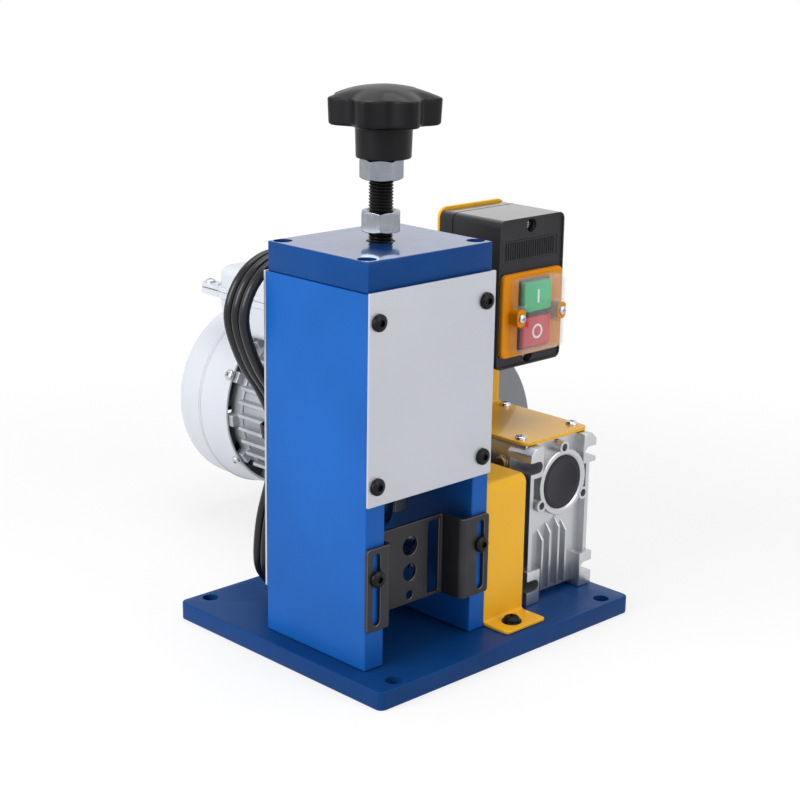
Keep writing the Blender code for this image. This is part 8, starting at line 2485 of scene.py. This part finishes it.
@dataclass
class Studio(SubAssembly):
    """Camera, floor, world and lamps.

    Attributes:
        azimuth: The camera's turn about the vertical, in radians.
        elevation: Its height angle.
        roll: Its roll.
        place: Where it stands.
        focal_pixels: Its focal length in pixels of an image 800 pixels wide.
        image_width: That width.
    """

    azimuth: float = -0.772697529
    elevation: float = 0.276158219
    roll: float = 0.0154188212
    place: tuple[float, float, float] = (-0.81294684, -0.824413821, 0.483651833)
    focal_pixels: float = 1785.24835
    image_width: float = 800.0
    sensor: float = 36.0
    floor_reach: float = 6.0
    fade: Plane = (0.30, 0.75)
    share: float = 0.70
    ambient: float = 0.35

    def build(self) -> None:
        """Sets up everything round the machine."""
        self.camera()
        self.floor()
        self.world()
        self.lamps()
        bpy.context.scene.view_settings.view_transform = "Standard"

    def camera(self) -> None:
        """Makes the camera at the photograph's angle."""
        data = bpy.data.cameras.new("camera")
        data.sensor_width = self.sensor
        data.lens = self.focal_pixels * self.sensor / self.image_width
        data.clip_start = 0.01
        data.clip_end = 50.0
        camera = linked("camera", data)
        azimuth, elevation = self.azimuth, self.elevation
        back = Vector(
            (
                math.sin(azimuth) * math.cos(elevation),
                -math.cos(azimuth) * math.cos(elevation),
                math.sin(elevation),
            )
        )
        right = UP.cross(back).normalized()
        up = back.cross(right)
        cosine, sine = math.cos(self.roll), math.sin(self.roll)
        rows = (right * cosine + up * sine, up * cosine - right * sine, back)
        turn = Matrix(rows).transposed()
        camera.matrix_world = Matrix.Translation(self.place) @ turn.to_4x4()
        bpy.context.scene.camera = camera

    def floor(self) -> None:
        """Makes the pale floor, which stays white behind the machine and keeps its shadow."""
        reach = self.floor_reach
        data = bpy.data.meshes.new("floor")
        corners = [(-reach, -reach, 0), (reach, -reach, 0), (reach, reach, 0), (-reach, reach, 0)]
        data.from_pydata(corners, [], [(0, 1, 2, 3)])
        material = bpy.data.materials.new("floor")
        material.use_nodes = True
        recipe = Recipe(material.node_tree)
        shader = material.node_tree.nodes["Principled BSDF"]
        shader.inputs["Base Color"].default_value = (0.86, 0.86, 0.87, 1.0)
        shader.inputs["Roughness"].default_value = 0.9
        shader.inputs["Specular IOR Level"].default_value = 0.0
        seen = self.seen(recipe)
        away = recipe.vector("LENGTH", recipe.place())["Value"].span(*self.fade, self.share, 1.0)
        glow = recipe.add("ShaderNodeEmission", {"Color": (1.0, 1.0, 1.0, 1.0), "Strength": 1.0})
        blend = recipe.blend(seen * away, Channel(recipe, shader.outputs[0]), glow)
        recipe.feed(material.node_tree.nodes["Material Output"], "Surface", blend)
        data.materials.append(material)
        linked("floor", data)

    def world(self) -> None:
        """Makes the world: white where it is seen or mirrored, a soft grey where it lights."""
        world = bpy.data.worlds.new("studio")
        world.use_nodes = True
        recipe = Recipe(world.node_tree)
        background = world.node_tree.nodes["Background"]
        recipe.feed(background, "Color", (1.0, 1.0, 1.0, 1.0))
        recipe.feed(background, "Strength", self.seen(recipe) * (1.0 - self.ambient) + self.ambient)
        bpy.context.scene.world = world

    @staticmethod
    def seen(recipe: Recipe) -> Channel:
        """1 on rays of the camera and on mirrored and clear rays, else 0."""
        paths = recipe.add("ShaderNodeLightPath")
        seen = recipe.math("MAXIMUM", paths["Is Camera Ray"], paths["Is Glossy Ray"])
        return recipe.math("MAXIMUM", seen, paths["Is Transmission Ray"])

    def lamps(self) -> None:
        """Makes the soft boxes."""
        target = Vector((0.0, 0.03, 0.14))
        boxes = (
            ("left_box", (-1.30, 0.15, 0.75), 0.8, 16.0),
            ("top_box", (0.10, 0.05, 1.60), 1.1, 12.0),
            ("front_box", (0.35, -1.50, 0.80), 0.9, 9.0),
        )
        for name, place, size, power in boxes:
            light = bpy.data.lights.new(name, "AREA")
            light.shape = "SQUARE"
            light.size = size
            light.energy = power
            lamp = linked(name, light)
            away = (target - Vector(place)).normalized()
            lamp.matrix_world = Matrix.Translation(place) @ away.to_track_quat("-Z", "Y").to_matrix().to_4x4()


def main() -> None:
    """Builds every sub-assembly in order, logging each one."""
    logging.basicConfig(level=logging.INFO, format="%(name)s: %(message)s")
    assemblies: tuple[SubAssembly, ...] = (
        Studio(),
        MainsCord(),
        BasePlate(),
        Column(),
        FeedGuide(),
        Adjuster(),
        CuttingHead(),
        Reducer(),
        Motor(),
        TerminalBox(),
        ShaftGuard(),
        SwitchStation(),
        InnerWorks(),
    )
    for assembly in assemblies:
        LOG.info("building %s", type(assembly).__name__)
        assembly.build()


if __name__ == "__main__":
    main()
